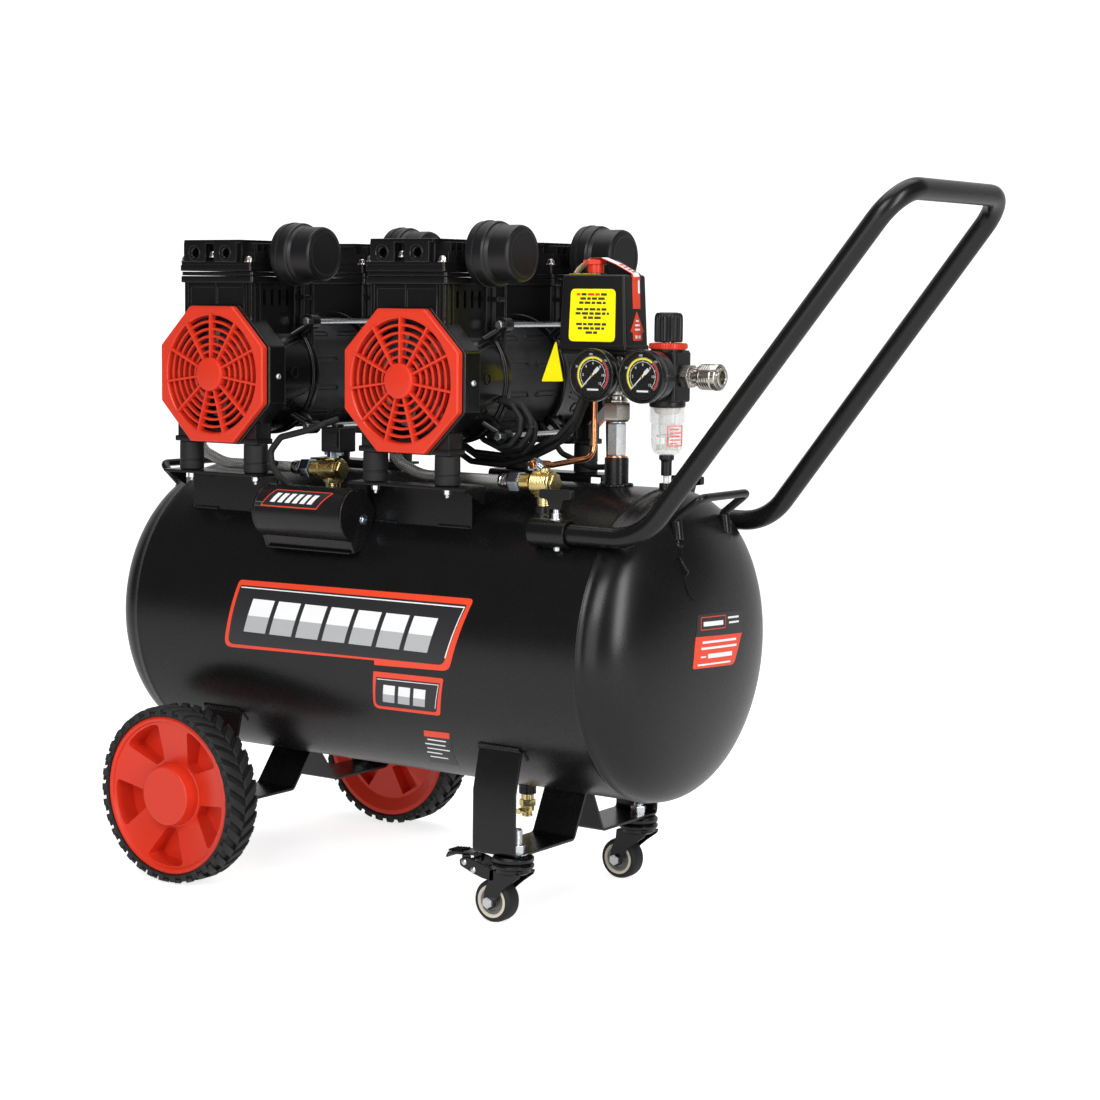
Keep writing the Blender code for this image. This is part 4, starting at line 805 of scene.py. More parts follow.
# Lifting hooks.
hooks = Shape()
for end_sign in (-1, 1):
    loop = []
    for y in (-0.045, 0.045):
        legs = [(0.3235, y, 0.3770), (0.3190, y, 0.4007), (0.3480, y, 0.4235)]
        loop += legs if y < 0 else legs[::-1]
    path = corner_cut([(end_sign * x, y, z) for x, y, z in loop], [0, 0.010, 0.009, 0.009, 0.010, 0], 8)
    hooks.sweep(path, 0.0040, 20)
    for y in (-0.045, 0.045):
        ring = [Vector((end_sign * (0.3226 + 0.0052 * math.cos(t)), y + 0.0052 * math.sin(t), 0.3805 - 0.004 * math.cos(t)))
                for t in (i * math.tau / 16 for i in range(16))]
        hooks.sweep(ring, 0.0017, 8, closed=True)
        hooks.rod((end_sign * 0.3215, y, 0.4010), (end_sign * 0.3243, y, 0.3820), 0.0053, sides=28, bevel=0.0014)
piece("lifting_hooks", hooks, POWDER, smooth=45)

# Handle sleeves: a split tube with a pinch tab, a collar and a set bolt on each side.
sleeves, bolts, wings = Shape(), Shape(), Shape()
for side in (-1, 1):
    y = side * 0.1195
    sleeves.lathe([(0.0106, 0.2080), (0.0136, 0.2080), (0.0136, 0.2500), (0.0106, 0.2500)],
                  (0, y, 0.3885), (1, 0, 0), 48, soften=0.0008, ring=True)
    sleeves.box(0.2170, 0.2450, *sorted((side * 0.1095, side * 0.1200)), 0.3745, 0.3860, 0.0008)
    hex_bolt(bolts, (0.2338, y, 0.4016), (0, 0, 1), 0.0086, 0.0050, washer=0.0062)
    hex_bolt(bolts, (0.2355, y, 0.3754), (0, 0, -1), 0.0072, 0.0034)
    bolts.rod((0.2338, y, 0.4060), (0.2338, y, 0.4118), 0.0032, sides=24, bevel=0.0004)
    wing = [(0.2157, 0.4300), (0.2521, 0.4300), (0.2521, 0.4215), (0.2428, 0.4205), (0.2405, 0.4112), (0.2268, 0.4112), (0.2248, 0.4205),
            (0.2157, 0.4215)]
    wing = [(p.x, p.y) for p in corner_cut([Vector((a, b, 0)) for a, b in wing], [0.002, 0.002, 0.002, 0.0015, 0.001, 0.001, 0.0015, 0.002], 4,
                                           closed=True)]
    wings.prism(wing, "Y", y - 0.0034, y + 0.0034, 0.0012, 3, 40)
piece("handle_sleeves", sleeves, POWDER)
piece("handle_set_bolts", bolts, ZINC)
piece("handle_wing_heads", wings, MOULD, smooth=40)

# Threaded bungs, turned and welded in.
bungs = Shape()
bungs.lathe([(0.0068, 0.4543), (0.0116, 0.4543), (0.0120, 0.4535), (0.0120, 0.4290), (0.0132, 0.4262), (0.0150, 0.4220),
             (0.0150, 0.4100), (0.0068, 0.4100)], (MANIFOLD_X, 0, 0), (0, 0, 1), 48, soften=0.0005, ring=True)
bungs.lathe([(0.0042, 0.1250), (0.0110, 0.1250), (0.0100, 0.1130), (0.0090, 0.1110), (0.0090, 0.1035), (0.0042, 0.1035)],
            (0.1207, 0, 0), (0, 0, 1), 40, soften=0.0004, ring=True)
VALVES = {"left": (-0.0728, -0.0800), "right": (0.1934, -0.0800)}
for vx, vy in VALVES.values():
    bungs.lathe([(0.0, 0.3900), (0.0125, 0.3900), (0.0112, 0.4010), (0.0095, 0.4030), (0.0095, 0.4090), (0.0, 0.4090)],
                (vx, vy, 0), (0, 0, 1), 40, soften=0.0004)
ring = [(MANIFOLD_X + 0.0150 * math.cos(t), 0.0150 * math.sin(t),
         TANK_Z + math.sqrt(TANK_R ** 2 - (0.0150 * math.sin(t)) ** 2) + 0.0008)
        for t in (i * math.tau / 40 for i in range(41))]
weld(bungs, ring, 0.0020)
piece("threaded_bungs", bungs, POWDER)

# ------------------------------------------------------------------ push handle
run = [(0.2090, 0.1195, 0.3885), (0.3293, 0.1190, 0.3885), (0.5795, 0.1090, 0.7087)]
route = [(x, -y, z) for x, y, z in run] + [(x, y, z) for x, y, z in run[::-1]]


def bent(points, radii, steps=10):
    """The polyline with true circular bends."""
    points = [Vector(p) for p in points]
    path = [points[0]]
    for before, corner, after, bend in zip(points, points[1:], points[2:], radii):
        a, b = (before - corner).normalized(), (after - corner).normalized()
        h = a.angle(b) / 2
        centre = corner + (a + b).normalized() * (bend / math.sin(h))
        first = (corner + a * (bend / math.tan(h)) - centre).normalized()
        last = (corner + b * (bend / math.tan(h)) - centre).normalized()
        for i in range(steps + 1):
            path.append(centre + first.slerp(last, i / steps) * bend)
    path.append(points[-1])
    return path


bar = bent(route, [0.060, 0.036, 0.036, 0.060], 16)
piece("push_handle_tube", Shape().sweep(bar, 0.0100, 40), POWDER, replaces=["push_handle"], smooth=50)

# ------------------------------------------------------------------ wheels
for side, tag in SIDES:
    body = "wheel_" + tag
    centre, axis = (WHEEL_X, 0, WHEEL_Z), (0, side, 0)
    rim = Shape().lathe(
        [(0.0, 0.1990), (0.0100, 0.1990), (0.0100, 0.1625), (0.0200, 0.1625), (0.0200, 0.1690), (0.0640, 0.1705),
         (0.0775, 0.1640), (0.0826, 0.1640), (0.0826, 0.2018), (0.0800, 0.2032), (0.0775, 0.2022), (0.0764, 0.1994),
         (0.0362, 0.1900), (0.0342, 0.1894), (0.0330, 0.1900), (0.0308, 0.2044), (0.0292, 0.2052), (0.0, 0.2052)],
        centre, axis, 100, soften=0.0010)
    tools, inner = [], []
    for i in range(5):
        turn = math.radians(40.5 + 72 * i)
        corners = [(0.0372, 0.175), (0.0742, 0.352), (0.0742, -0.352), (0.0372, -0.175)]
        rim_arc = [(0.0749, math.radians(36) * f) for f in (0.36, 0.12, -0.12, -0.36)]
        outline = [corners[0], corners[1]] + rim_arc + [corners[2], corners[3]]
        outline = [Vector((WHEEL_X + r * math.sin(turn + t), WHEEL_Z + r * math.cos(turn + t), 0)) for r, t in outline]
        outline = corner_cut(outline, [0.0030, 0.0045, 0, 0, 0, 0, 0.0045, 0.0030], 4, closed=True)
        tools.append(Shape().prism([(p.x, p.y) for p in outline], "Y", *sorted((side * 0.1748, side * 0.2150)), bevel=0.0))
        turn = math.radians(4.5 + 72 * i)
        slot = [(WHEEL_X + r * math.sin(turn) + w * math.cos(turn), WHEEL_Z + r * math.cos(turn) - w * math.sin(turn))
                for r, w in ((0.0260, 0.0095), (0.0600, 0.0120), (0.0600, -0.0120), (0.0260, -0.0095))]
        inner.append(Shape().prism(slot, "Y", *sorted((side * 0.1500, side * 0.1846)), bevel=0.0))
    rim = carve(rim, *tools, *inner)
    piece("wheel_rim_moulding_" + tag, rim, RED, body, ["wheel_rim_" + tag], smooth=32, edge=0.0)

    tyre = Shape().lathe(
        [(0.0829, 0.1632), (0.0868, 0.1628), (0.0885, 0.1660), (0.0889, 0.1720), (0.0889, 0.1945), (0.0885, 0.2005),
         (0.0866, 0.2036), (0.0829, 0.2036)], centre, axis, 120, soften=0.0012, ring=True)
    lug = Shape()
    lugs = 34
    for i in range(lugs):
        for row, (v0, v1, lean) in enumerate(((0.1632, 0.1828, 1), (0.1838, 0.2034, -1))):
            turn = (i + row * 0.5) * math.tau / lugs
            wide = math.tau / lugs * 0.30
            skew = math.tau / lugs * 0.42 * lean
            bm = bmesh.new()
            grid = []
            for r, grow in ((0.0880, 0.0), (0.0930, -0.0006)):
                line = []
                for f, v in ((-1, v0), (-0.4, v0 * 0.7 + v1 * 0.3), (0.4, v0 * 0.3 + v1 * 0.7), (1, v1)):
                    outer = (f == -1 and row == 0) or (f == 1 and row == 1)
                    rr = r - (0.0022 if outer and r > 0.09 else 0)
                    for s in (-1, 1):
                        t = turn + skew * f + s * (wide + grow / r)
                        line.append(bm.verts.new((WHEEL_X + rr * math.sin(t), side * v, WHEEL_Z + rr * math.cos(t))))
                grid.append(line)
            low, top = grid
            for k in range(3):
                a = k * 2
                bm.faces.new((top[a], top[a + 1], top[a + 3], top[a + 2]))
                bm.faces.new((low[a], low[a + 2], low[a + 3], low[a + 1]))
                bm.faces.new((low[a], top[a], top[a + 2], low[a + 2]))
                bm.faces.new((low[a + 1], low[a + 3], top[a + 3], top[a + 1]))
            bm.faces.new((low[0], low[1], top[1], top[0]))
            bm.faces.new((low[6], top[6], top[7], low[7]))
            lug.take(bm, 0.0005, 1, 40)
        turn = i * math.tau / lugs + math.tau / lugs * 0.4
        for v, r in ((0.2036, 0.0868), (0.1630, 0.0868)):
            place = (Matrix.Translation((WHEEL_X, side * v, WHEEL_Z)) @ Matrix.Rotation(turn, 4, "Y")
                     @ Matrix.Translation((0, 0, r)))
            lug.box(-0.0036, 0.0036, -0.0011, 0.0011, -0.0030, 0.0038, 0.0004, 1, place)
    tyre.add(lug)
    piece("tyre_tread_" + tag, tyre, RUBBER, body, ["tyre_" + tag], smooth=32)

    bolt = Shape()
    hex_bolt(bolt, (WHEEL_X, side * 0.1280, WHEEL_Z), (0, -side, 0), 0.0190, 0.0085, washer=0.0130)
    bolt.rod((WHEEL_X, side * 0.1130, WHEEL_Z), (WHEEL_X, side * 0.1300, WHEEL_Z), 0.0058, bevel=0.0008)
    for i in range(4):
        bolt.rod((WHEEL_X, side * (0.1140 + i * 0.0012), WHEEL_Z), (WHEEL_X, side * (0.1146 + i * 0.0012), WHEEL_Z), 0.0061, bevel=0.0002)
    bolt.rod((WHEEL_X, side * 0.1313, WHEEL_Z), (WHEEL_X, side * 0.1332, WHEEL_Z), 0.0135, sides=40)
    bolt.hexa((WHEEL_X, side * 0.1332, WHEEL_Z), (WHEEL_X, side * 0.1420, WHEEL_Z), 0.0190, 0.0008)
    bolt.lathe([(0.0, 0.1400), (0.0088, 0.1400), (0.0088, 0.1592), (0.0120, 0.1596), (0.0120, 0.1610), (0.0088, 0.1612),
                (0.0088, 0.1974), (0.0, 0.1974)], (WHEEL_X, 0, WHEEL_Z), (0, side, 0), 40, soften=0.0004)
    piece("axle_bolt_and_nuts_" + tag, bolt, ZINC, CHASSIS, ["axle_bolt_" + tag])

# ------------------------------------------------------------------ casters
for side, tag in SIDES:
    cy = side * CASTER_Y
    swivel, roller = "caster_" + tag, "caster_roller_" + tag
    stem = Shape()
    tip = 0.0955 if side < 0 else 0.0832
    sx = STEM_X + (0.0042 if side < 0 else 0.0)
    stem.lathe([(0.0, tip), (0.0042, tip), (0.0050, tip - 0.0010), (0.0050, 0.0725), (0.0, 0.0725)],
               (sx, cy, 0), (0, 0, 1), 28)
    for i in range(11 if side < 0 else 1):
        stem.rod((sx, cy, 0.0812 + i * 0.0012), (sx, cy, 0.0818 + i * 0.0012), 0.0054, sides=28, bevel=0.0002)
    stem.rod((sx, cy, 0.0700), (sx, cy, 0.0716), 0.0105, sides=40)
    stem.hexa((sx, cy, 0.0714), (sx, cy, 0.0800), 0.0150, 0.0008, turn=0.35)
    stem.rod((STEM_X, cy, 0.0480), (STEM_X, cy, 0.0640), 0.0049, bevel=0.0008)
    stem.rod((STEM_X, cy, 0.0478), (STEM_X, cy, 0.0500), 0.0072, bevel=0.0009)
    piece("caster_stem_" + tag, stem, ZINC, CHASSIS)
    disc = Shape().lathe([(0.0052, 0.0690), (0.0185, 0.0690), (0.0205, 0.0672), (0.0205, 0.0640), (0.0190, 0.0628), (0.0052, 0.0628)],
                         (STEM_X, cy, 0), (0, 0, 1), 64, soften=0.0008, ring=True)
    piece("caster_top_race_" + tag, disc, CAST, CHASSIS)

    fork = Shape().lathe(
        [(0.0053, 0.0622), (0.0190, 0.0622), (0.0208, 0.0600), (0.0204, 0.0575), (0.0180, 0.0560), (0.0180, 0.0530),
         (0.0150, 0.0512), (0.0053, 0.0512)], (STEM_X, cy, 0), (0, 0, 1), 64, soften=0.0008, ring=True)
    cheek = corner_cut([Vector((a, b, 0)) for a, b in (
        (0.1650, 0.0545), (0.2015, 0.0545), (0.1995, 0.0500), (0.1880, 0.0415), (0.1780, 0.0330), (0.1728, 0.0225),
        (0.1712, 0.0165), (0.1650, 0.0140), (0.1588, 0.0165), (0.1575, 0.0230), (0.1590, 0.0330), (0.1640, 0.0440))],
        [0.002, 0.002, 0.004, 0.006, 0.012, 0.006, 0.004, 0.006, 0.004, 0.006, 0.012, 0.010], 4, closed=True)
    for low, high in ((0.0113, 0.0134), (-0.0134, -0.0113)):
        fork.prism(cheek, "Y", cy + low, cy + high, 0.0005, 2, 40)
    fork.box(0.1660, 0.2010, cy - 0.0134, cy + 0.0134, 0.0525, 0.0548, 0.0008)
    if side < 0:
        arm = corner_cut([Vector((a, b, 0)) for a, b in (
            (0.1700, 0.0540), (0.1700, 0.0425), (0.1560, 0.0440), (0.1450, 0.0470), (0.1290, 0.0530), (0.1282, 0.0600), (0.1390, 0.0622))],
            0.003, 3, closed=True)
        for low, high in ((0.0113, 0.0134), (-0.0134, -0.0113)):
            fork.prism(arm, "Y", cy + low, cy + high, 0.0005, 2, 40)
    piece("caster_fork_stamping_" + tag, fork, CAST, swivel, ["caster_fork_" + tag])
    pins = Shape()
    pins.rod((CASTER_X, cy - 0.0150, CASTER_Z), (CASTER_X, cy + 0.0160, CASTER_Z), 0.0031)
    hex_bolt(pins, (CASTER_X, cy - 0.0134, CASTER_Z), (0, -1, 0), 0.0104, 0.0044, washer=0.0)
    pins.hexa((CASTER_X, cy + 0.0134, CASTER_Z), (CASTER_X, cy + 0.0172, CASTER_Z), 0.0088, 0.0005)
    if side < 0:
        for px, pz in ((0.1340, 0.0570), (0.1452, 0.0508)):
            pins.rod((px, cy - 0.0140, pz), (px, cy + 0.0140, pz), 0.0019)
            for s in (-1, 1):
                pins.lathe([(0.0, 0.0150), (0.0018, 0.0148), (0.0030, 0.0138), (0.0031, 0.0133), (0.0, 0.0133)],
                           (px, cy, pz), (0, s, 0), 24)
    piece("caster_axle_bolt_" + tag, pins, ZINC, swivel)

    tread = Shape().lathe(
        [(0.0162, -0.0098), (0.0180, -0.0103), (0.0196, -0.0096), (0.0209, -0.0076), (0.0215, -0.0045), (0.0215, 0.0045),
         (0.0209, 0.0076), (0.0196, 0.0096), (0.0180, 0.0103), (0.0162, 0.0098)],
        (CASTER_X, cy, CASTER_Z), (0, 1, 0), 80, ring=True)
    piece("caster_tread_" + tag, tread, RUBBER, roller, ["caster_wheel_" + tag], smooth=50)
    core = Shape().lathe(
        [(0.0130, -0.0092), (0.0137, -0.0100), (0.0163, -0.0100), (0.0166, -0.0094), (0.0166, 0.0094), (0.0163, 0.0100),
         (0.0137, 0.0100), (0.0130, 0.0092)], (CASTER_X, cy, CASTER_Z), (0, 1, 0), 72, ring=True)
    piece("caster_core_" + tag, core, CREAM, roller)
    shield = Shape().lathe(
        [(0.0036, -0.0096), (0.0060, -0.0096), (0.0064, -0.0080), (0.0096, -0.0078), (0.0100, -0.0088), (0.0134, -0.0091),
         (0.0134, 0.0091), (0.0100, 0.0088), (0.0096, 0.0078), (0.0064, 0.0080), (0.0060, 0.0096), (0.0036, 0.0096)],
        (CASTER_X, cy, CASTER_Z), (0, 1, 0), 56, ring=True)
    piece("caster_bearing_" + tag, shield, GREY, roller)

pedal = Shape()
line = [(0.1095, 0.0600), (0.1120, 0.0640), (0.1200, 0.0655), (0.1320, 0.0662), (0.1440, 0.0672)]
top = [Vector((a, b, 0)) for a, b in line]
outline = [(p.x, p.y) for p in corner_cut(top + [p + Vector((0.0006, -0.0028, 0)) for p in reversed(top)], 0.0012, 4, closed=True)]
pedal.prism(outline, "Y", -CASTER_Y - 0.0105, -CASTER_Y + 0.0105, 0.0004, 2, 25)
for s in (-1, 1):
    ear = corner_cut([Vector((a, b, 0)) for a, b in ((0.1290, 0.0650), (0.1395, 0.0660), (0.1390, 0.0545), (0.1340, 0.0520), (0.1295, 0.0545))],
                     0.003, 4, closed=True)
    pedal.prism(ear, "Y", *sorted((-CASTER_Y + s * 0.0105, -CASTER_Y + s * 0.0088)), 0.0003, 1, 40)
for i in range(5):
    pedal.box(0.1110 + i * 0.0034, 0.1122 + i * 0.0034, -CASTER_Y - 0.0085, -CASTER_Y + 0.0085, 0.0640, 0.0662 + i * 0.0003, 0.0004)
piece("brake_pedal_stamping", pedal, CAST, "brake", ["brake_pedal"])

# ------------------------------------------------------------------ pumps
GRILLE_AF = 0.1410
MOUNT_A = (-0.0478, 0.0418)


def octagon(across, x, z=SHAFT_Z):
    r = across / 2 / math.cos(math.pi / 8)
    return [(x + r * math.cos(t), z + r * math.sin(t)) for t in (math.pi / 8 + i * math.pi / 4 for i in range(8))]


def mirror_y():
    return Matrix.Diagonal((1, -1, 1, 1))


def crankcase():
    """One crankcase and its octagonal shroud, at x 0, on the front side (v is -y)."""
    made = Shape()
    made.lathe([(0.0, 0.1125), (0.0600, 0.1125), (0.0618, 0.1100), (0.0625, 0.1050), (0.0625, 0.0555), (0.0650, 0.0548),
                (0.0655, 0.0525), (0.0655, 0.0480), (0.0640, 0.0470), (0.0588, 0.0470), (0.0588, 0.0700), (0.0, 0.0700)],
               (0, 0, SHAFT_Z), (0, -1, 0), 120, soften=0.0012)
    shroud_out = octagon(0.1440, 0.0)
    made.prism([(a, b) for a, b in shroud_out], "Y", -0.1354, -0.1090, 0.0022, 3, 30)
    return made


def chamber_tool():
    tool = Shape()
    tool.lathe([(0.0, 0.1500), (0.0575, 0.1500), (0.0575, 0.1150), (0.0, 0.1150)], (0, 0, SHAFT_Z), (0, -1, 0), 96)
    return tool


def bore_tools():
    """The cylinder bore, the slot that the connecting rod moves in, and the shaft hole."""
    bore = Shape().rod((0, -0.0910, SHAFT_Z + 0.0730), (0, -0.0910, 0.6500), 0.0316, sides=64, bevel=0.0)
    slot = Shape().box(-0.0400, 0.0400, -0.0985, -0.0835, SHAFT_Z - 0.0510, SHAFT_Z + 0.0740, 0.0)
    hole = Shape().rod((0, -0.0380, SHAFT_Z), (0, -0.1165, SHAFT_Z), 0.0086, sides=48, bevel=0.0)
    return bore, slot, hole


def jacket():
    """Cylinder jacket over the crankcase: panels on the front, slots on each side, ribs at the corners."""
    low, high = SHAFT_Z + 0.0300, 0.6245
    body = Shape().box(-0.0460, 0.0460, -0.1335, -0.0480, low, high, 0.0020, 3)
    tools = []
    for x0, x1 in ((-0.0385, -0.0040), (-0.0010, 0.0335)):
        tools.append(Shape().box(x0, x1, -0.1400, -0.1322, 0.5900, 0.6190, 0.0008))
    for s in (-1, 1):
        for i in range(4):
            y = -0.1130 + i * 0.0120
            tools.append(Shape().prism(stadium((y, 0.6085), 0.0065, 0.0022, math.pi / 2), "X",
                                       *sorted((s * 0.0400, s * 0.0500)), bevel=0.0))
    body = carve(body, *tools)
    for s in (-1, 1):
        for y in (-0.1290, -0.1215, -0.0660, -0.0560):
            body.box(*sorted((s * 0.0440, s * 0.0474)), y - 0.0011, y + 0.0011, low + 0.012, high, 0.0006)
    for x in (-0.0445, -0.0410, 0.0365, 0.0402, 0.0445):
        body.box(x - 0.0010, x + 0.0010, -0.1348, -0.1320, 0.5900, high, 0.0006)
    body.box(-0.0032, -0.0018, -0.1342, -0.1320, 0.5900, high, 0.0005)
    return body


def details():
    """Flange, lugs, webs, raised slots and feet of one crankcase, at x 0, on the front."""
    made = Shape()
    flange = flat_round([(-0.0500, -0.1370), (0.0500, -0.1370), (0.0500, -0.0455), (-0.0500, -0.0455)], 0.0040)
    inner = [(x * 0.985, -0.0912 + (y + 0.0912) * 0.985) for x, y in flange]
    for plate in (Shape().prism(flange, "Z", 0.6232, 0.6300, 0.0010, 2, 40), Shape().prism(inner, "Z", 0.6306, 0.6345, 0.0006, 2, 40)):
        made.add(carve(plate, bore_tools()[0]))
    for s in (-1, 1):
        for t in (-1, 1):
            ex, ez = s * 0.0600, SHAFT_Z + t * 0.0550
            made.rod((ex, -0.0474, ez), (ex, -0.0600, ez), 0.0078, sides=32, bevel=0.0010)
            made.rod((s * 0.0400, -0.0520, SHAFT_Z + t * 0.0370), (ex, -0.0520, ez), 0.0056, sides=16, bevel=0.0008)
            made.rod((s * 0.0430, -0.0700, SHAFT_Z + t * 0.0400), (ex, -0.0530, ez), 0.0036, sides=12, bevel=0.0006)
    for angle in (28, 152, 205, 335):
        t = math.radians(angle)
        for off in (-0.0026, 0.0026):
            a = [(0.0626 * math.cos(t + off / 0.0625), v, SHAFT_Z + 0.0626 * math.sin(t + off / 0.0625)) for v in (-0.0980, -0.0640)]
            slope = math.radians(9)
            b = [(0.0626 * math.cos(t + off / 0.0625 + slope * (0.0 if k == 0 else 1.0)), a[k][1],
                  SHAFT_Z + 0.0626 * math.sin(t + off / 0.0625 + slope * (0.0 if k == 0 else 1.0))) for k in (0, 1)]
            made.sweep([b[0], b[1]], 0.0010, 10)
    for angle, v in ((2, -0.0850), (182, -0.0850), (330, -0.0800)):
        t = math.radians(angle)
        c = Vector((0.0624 * math.cos(t), v, SHAFT_Z + 0.0624 * math.sin(t)))
        out = Vector((math.cos(t), 0, math.sin(t)))
        made.lathe([(0.0042, -0.0004), (0.0042, 0.0012), (0.0058, 0.0012), (0.0060, -0.0004)], c, out, 28, soften=0.0004, ring=True)
    for a in MOUNT_A:
        leg = [(a - 0.0100, 0.4575), (a + 0.0100, 0.4575), (a + 0.0100, 0.4880), (a + 0.0060 * (1 if a < 0 else -1), 0.5000),
               (a - 0.0100, 0.4880)]
        made.box(a - 0.0100, a + 0.0100, -0.1330, -0.1120, 0.4572, SHAFT_Z - 0.0400, 0.0012)
        made.box(a - 0.0125, a + 0.0125, -0.1345, -0.1095, 0.4572, 0.4630, 0.0010)
        made.box(a - 0.0020, a + 0.0020, -0.1120, -0.1000, 0.4600, SHAFT_Z - 0.0500, 0.0006)
    made.box(-0.0360, 0.0330, -0.1310, -0.1150, SHAFT_Z - 0.0700, SHAFT_Z - 0.0560, 0.0012)
    return made


def head_block():
    """Cylinder head at x 0, on the front: base plate, body with two air ports, cooling ribs along the top."""
    base = flat_round([(-0.0505, -0.1370), (0.0475, -0.1370), (0.0475, -0.0455), (-0.0505, -0.0455)], 0.0030)
    made = Shape().prism(base, "Z", 0.6352, 0.6412, 0.0008, 2, 40)
    made.prism([(x * 0.985, -0.0912 + (y + 0.0912) * 0.985) for x, y in base], "Z", 0.6408, 0.6452, 0.0006, 2, 40)
    body = Shape().box(-0.0420, 0.0340, -0.1340, -0.0500, 0.6440, 0.6640, 0.0012)
    for a in (-0.0275, 0.0150):
        body.box(a - 0.0155, a + 0.0155, -0.1392, -0.1180, 0.6440, 0.6650, 0.0014)
    body.box(-0.0430, 0.0350, -0.1385, -0.0480, 0.6632, 0.6673, 0.0010)
    tools = [Shape().lathe([(0.0, 0.1450), (0.0056, 0.1450), (0.0056, 0.1386), (0.0044, 0.1374), (0.0044, 0.1240), (0.0, 0.1240)],
                           (a, 0, 0.6538), (0, -1, 0), 32) for a in (-0.0275, 0.0150)]
    tools.append(Shape().box(-0.0105, -0.0020, -0.1450, -0.1290, 0.6465, 0.6620, 0.0006))
    for i in range(9):
        tools.append(Shape().box(-0.0500, 0.0500, -0.1300 + i * 0.0092, -0.1252 + i * 0.0092, 0.6652, 0.6700, 0.0))
    cut_body = Shape()
    for part in (body,):
        cut_body.add(part)
    made.add(carve(union_of(cut_body), *tools))
    side_block = Shape().box(0.0330, 0.0468, -0.1290, -0.0500, 0.6440, 0.6560, 0.0012)
    for i in range(8):
        y = -0.1250 + i * 0.0098
        side_block.box(0.0340, 0.0470, y - 0.0012, y + 0.0012, 0.6500, 0.6640, 0.0005)
        side_block.box(-0.0475, -0.0415, y - 0.0012, y + 0.0012, 0.6440, 0.6600, 0.0005)
    made.add(side_block)
    for a, v in ((-0.0275, 0.1300), (0.0150, 0.1300)):
        ring_pts = [(a + 0.0078 * math.cos(t), -0.1393, 0.6538 + 0.0078 * math.sin(t)) for t in (i * math.tau / 28 for i in range(28))]
        made.sweep(ring_pts, 0.0006, 8, closed=True)
    return made


def union_of(shape):
    """Overlapping shells merged into one skin, so that a cut goes through all of them."""
    empty = Shape()
    empty.box(5, 5.001, 5, 5.001, 5, 5.001, 0)
    return carve(shape, empty)


def head_bolts():
    made = Shape()
    for x, y, z in ((-0.0470, -0.1310, 0.6452), (-0.0062, -0.1330, 0.6500), (0.0430, -0.1335, 0.6452), (-0.0470, -0.0520, 0.6452),
                    (0.0430, -0.0510, 0.6452), (-0.0040, -0.0478, 0.6452)):
        made.hexa((x, y, z - 0.0010), (x, y, z + 0.0042), 0.0070, 0.0005, turn=0.4)
        made.rod((x, y, z + 0.0040), (x, y, z + 0.0054), 0.0030, sides=20, bevel=0.0005)
        made.rod((x, y, z - 0.0008), (x, y, z + 0.0008), 0.0052, sides=28, bevel=0.0003)
    return made


def intake_filter():
    made = Shape().lathe(
        [(0.0, 0.0478), (0.0090, 0.0478), (0.0110, 0.0490), (0.0110, 0.0588), (0.0290, 0.0594), (0.0318, 0.0606), (0.0320, 0.0640),
         (0.0320, 0.0790), (0.0312, 0.0812), (0.0296, 0.0818), (0.0292, 0.0828), (0.0286, 0.0836), (0.0280, 0.0850),
         (0.0280, 0.1040), (0.0272, 0.1066), (0.0252, 0.1078), (0.0, 0.1080)],
        (0, -0.0900, 0.6530), (1, 0, 0), 96, soften=0.0008)
    made.lathe([(0.0316, 0.0664), (0.0327, 0.0668), (0.0327, 0.0690), (0.0316, 0.0694)], (0, -0.0900, 0.6530), (1, 0, 0), 96, ring=True)
    made.lathe([(0.0205, 0.1079), (0.0212, 0.1083), (0.0226, 0.1083), (0.0233, 0.1079)], (0, -0.0900, 0.6530), (1, 0, 0), 72, ring=True)
    return made


def grille():
    outer = octagon(GRILLE_AF, 0.0)
    frame_ring = Shape().prism(outer, "Y", -0.1450, -0.1360, 0.0022, 3, 30)
    tool = Shape().lathe([(0.0, 0.1500), (0.0630, 0.1500), (0.0630, 0.1300), (0.0, 0.1300)], (0, 0, SHAFT_Z), (0, -1, 0), 96)
    made = carve(frame_ring, tool)
    made.lathe([(0.0600, 0.1362), (0.0634, 0.1362), (0.0640, 0.1420), (0.0628, 0.1452), (0.0612, 0.1440)],
               (0, 0, SHAFT_Z), (0, -1, 0), 96, soften=0.0005, ring=True)
    for i in range(5):
        r = 0.0238 + i * 0.0077
        made.lathe([(r - 0.0013, 0.1372), (r + 0.0013, 0.1372), (r + 0.0013, 0.1432), (r - 0.0013, 0.1432)],
                   (0, 0, SHAFT_Z), (0, -1, 0), 84, soften=0.0005, ring=True)
    for i in range(11):
        place = (Matrix.Translation((0, 0, SHAFT_Z)) @ Matrix.Rotation(i * math.tau / 11, 4, "Y"))
        made.box(-0.0011, 0.0011, -0.1466, -0.1378, 0.0150, 0.0632, 0.0005, 2, place)
    made.lathe([(0.0, 0.1496), (0.0140, 0.1494), (0.0168, 0.1486), (0.0175, 0.1468), (0.0175, 0.1374), (0.0, 0.1374)],
               (0, 0, SHAFT_Z), (0, -1, 0), 64, soften=0.0006)
    return made


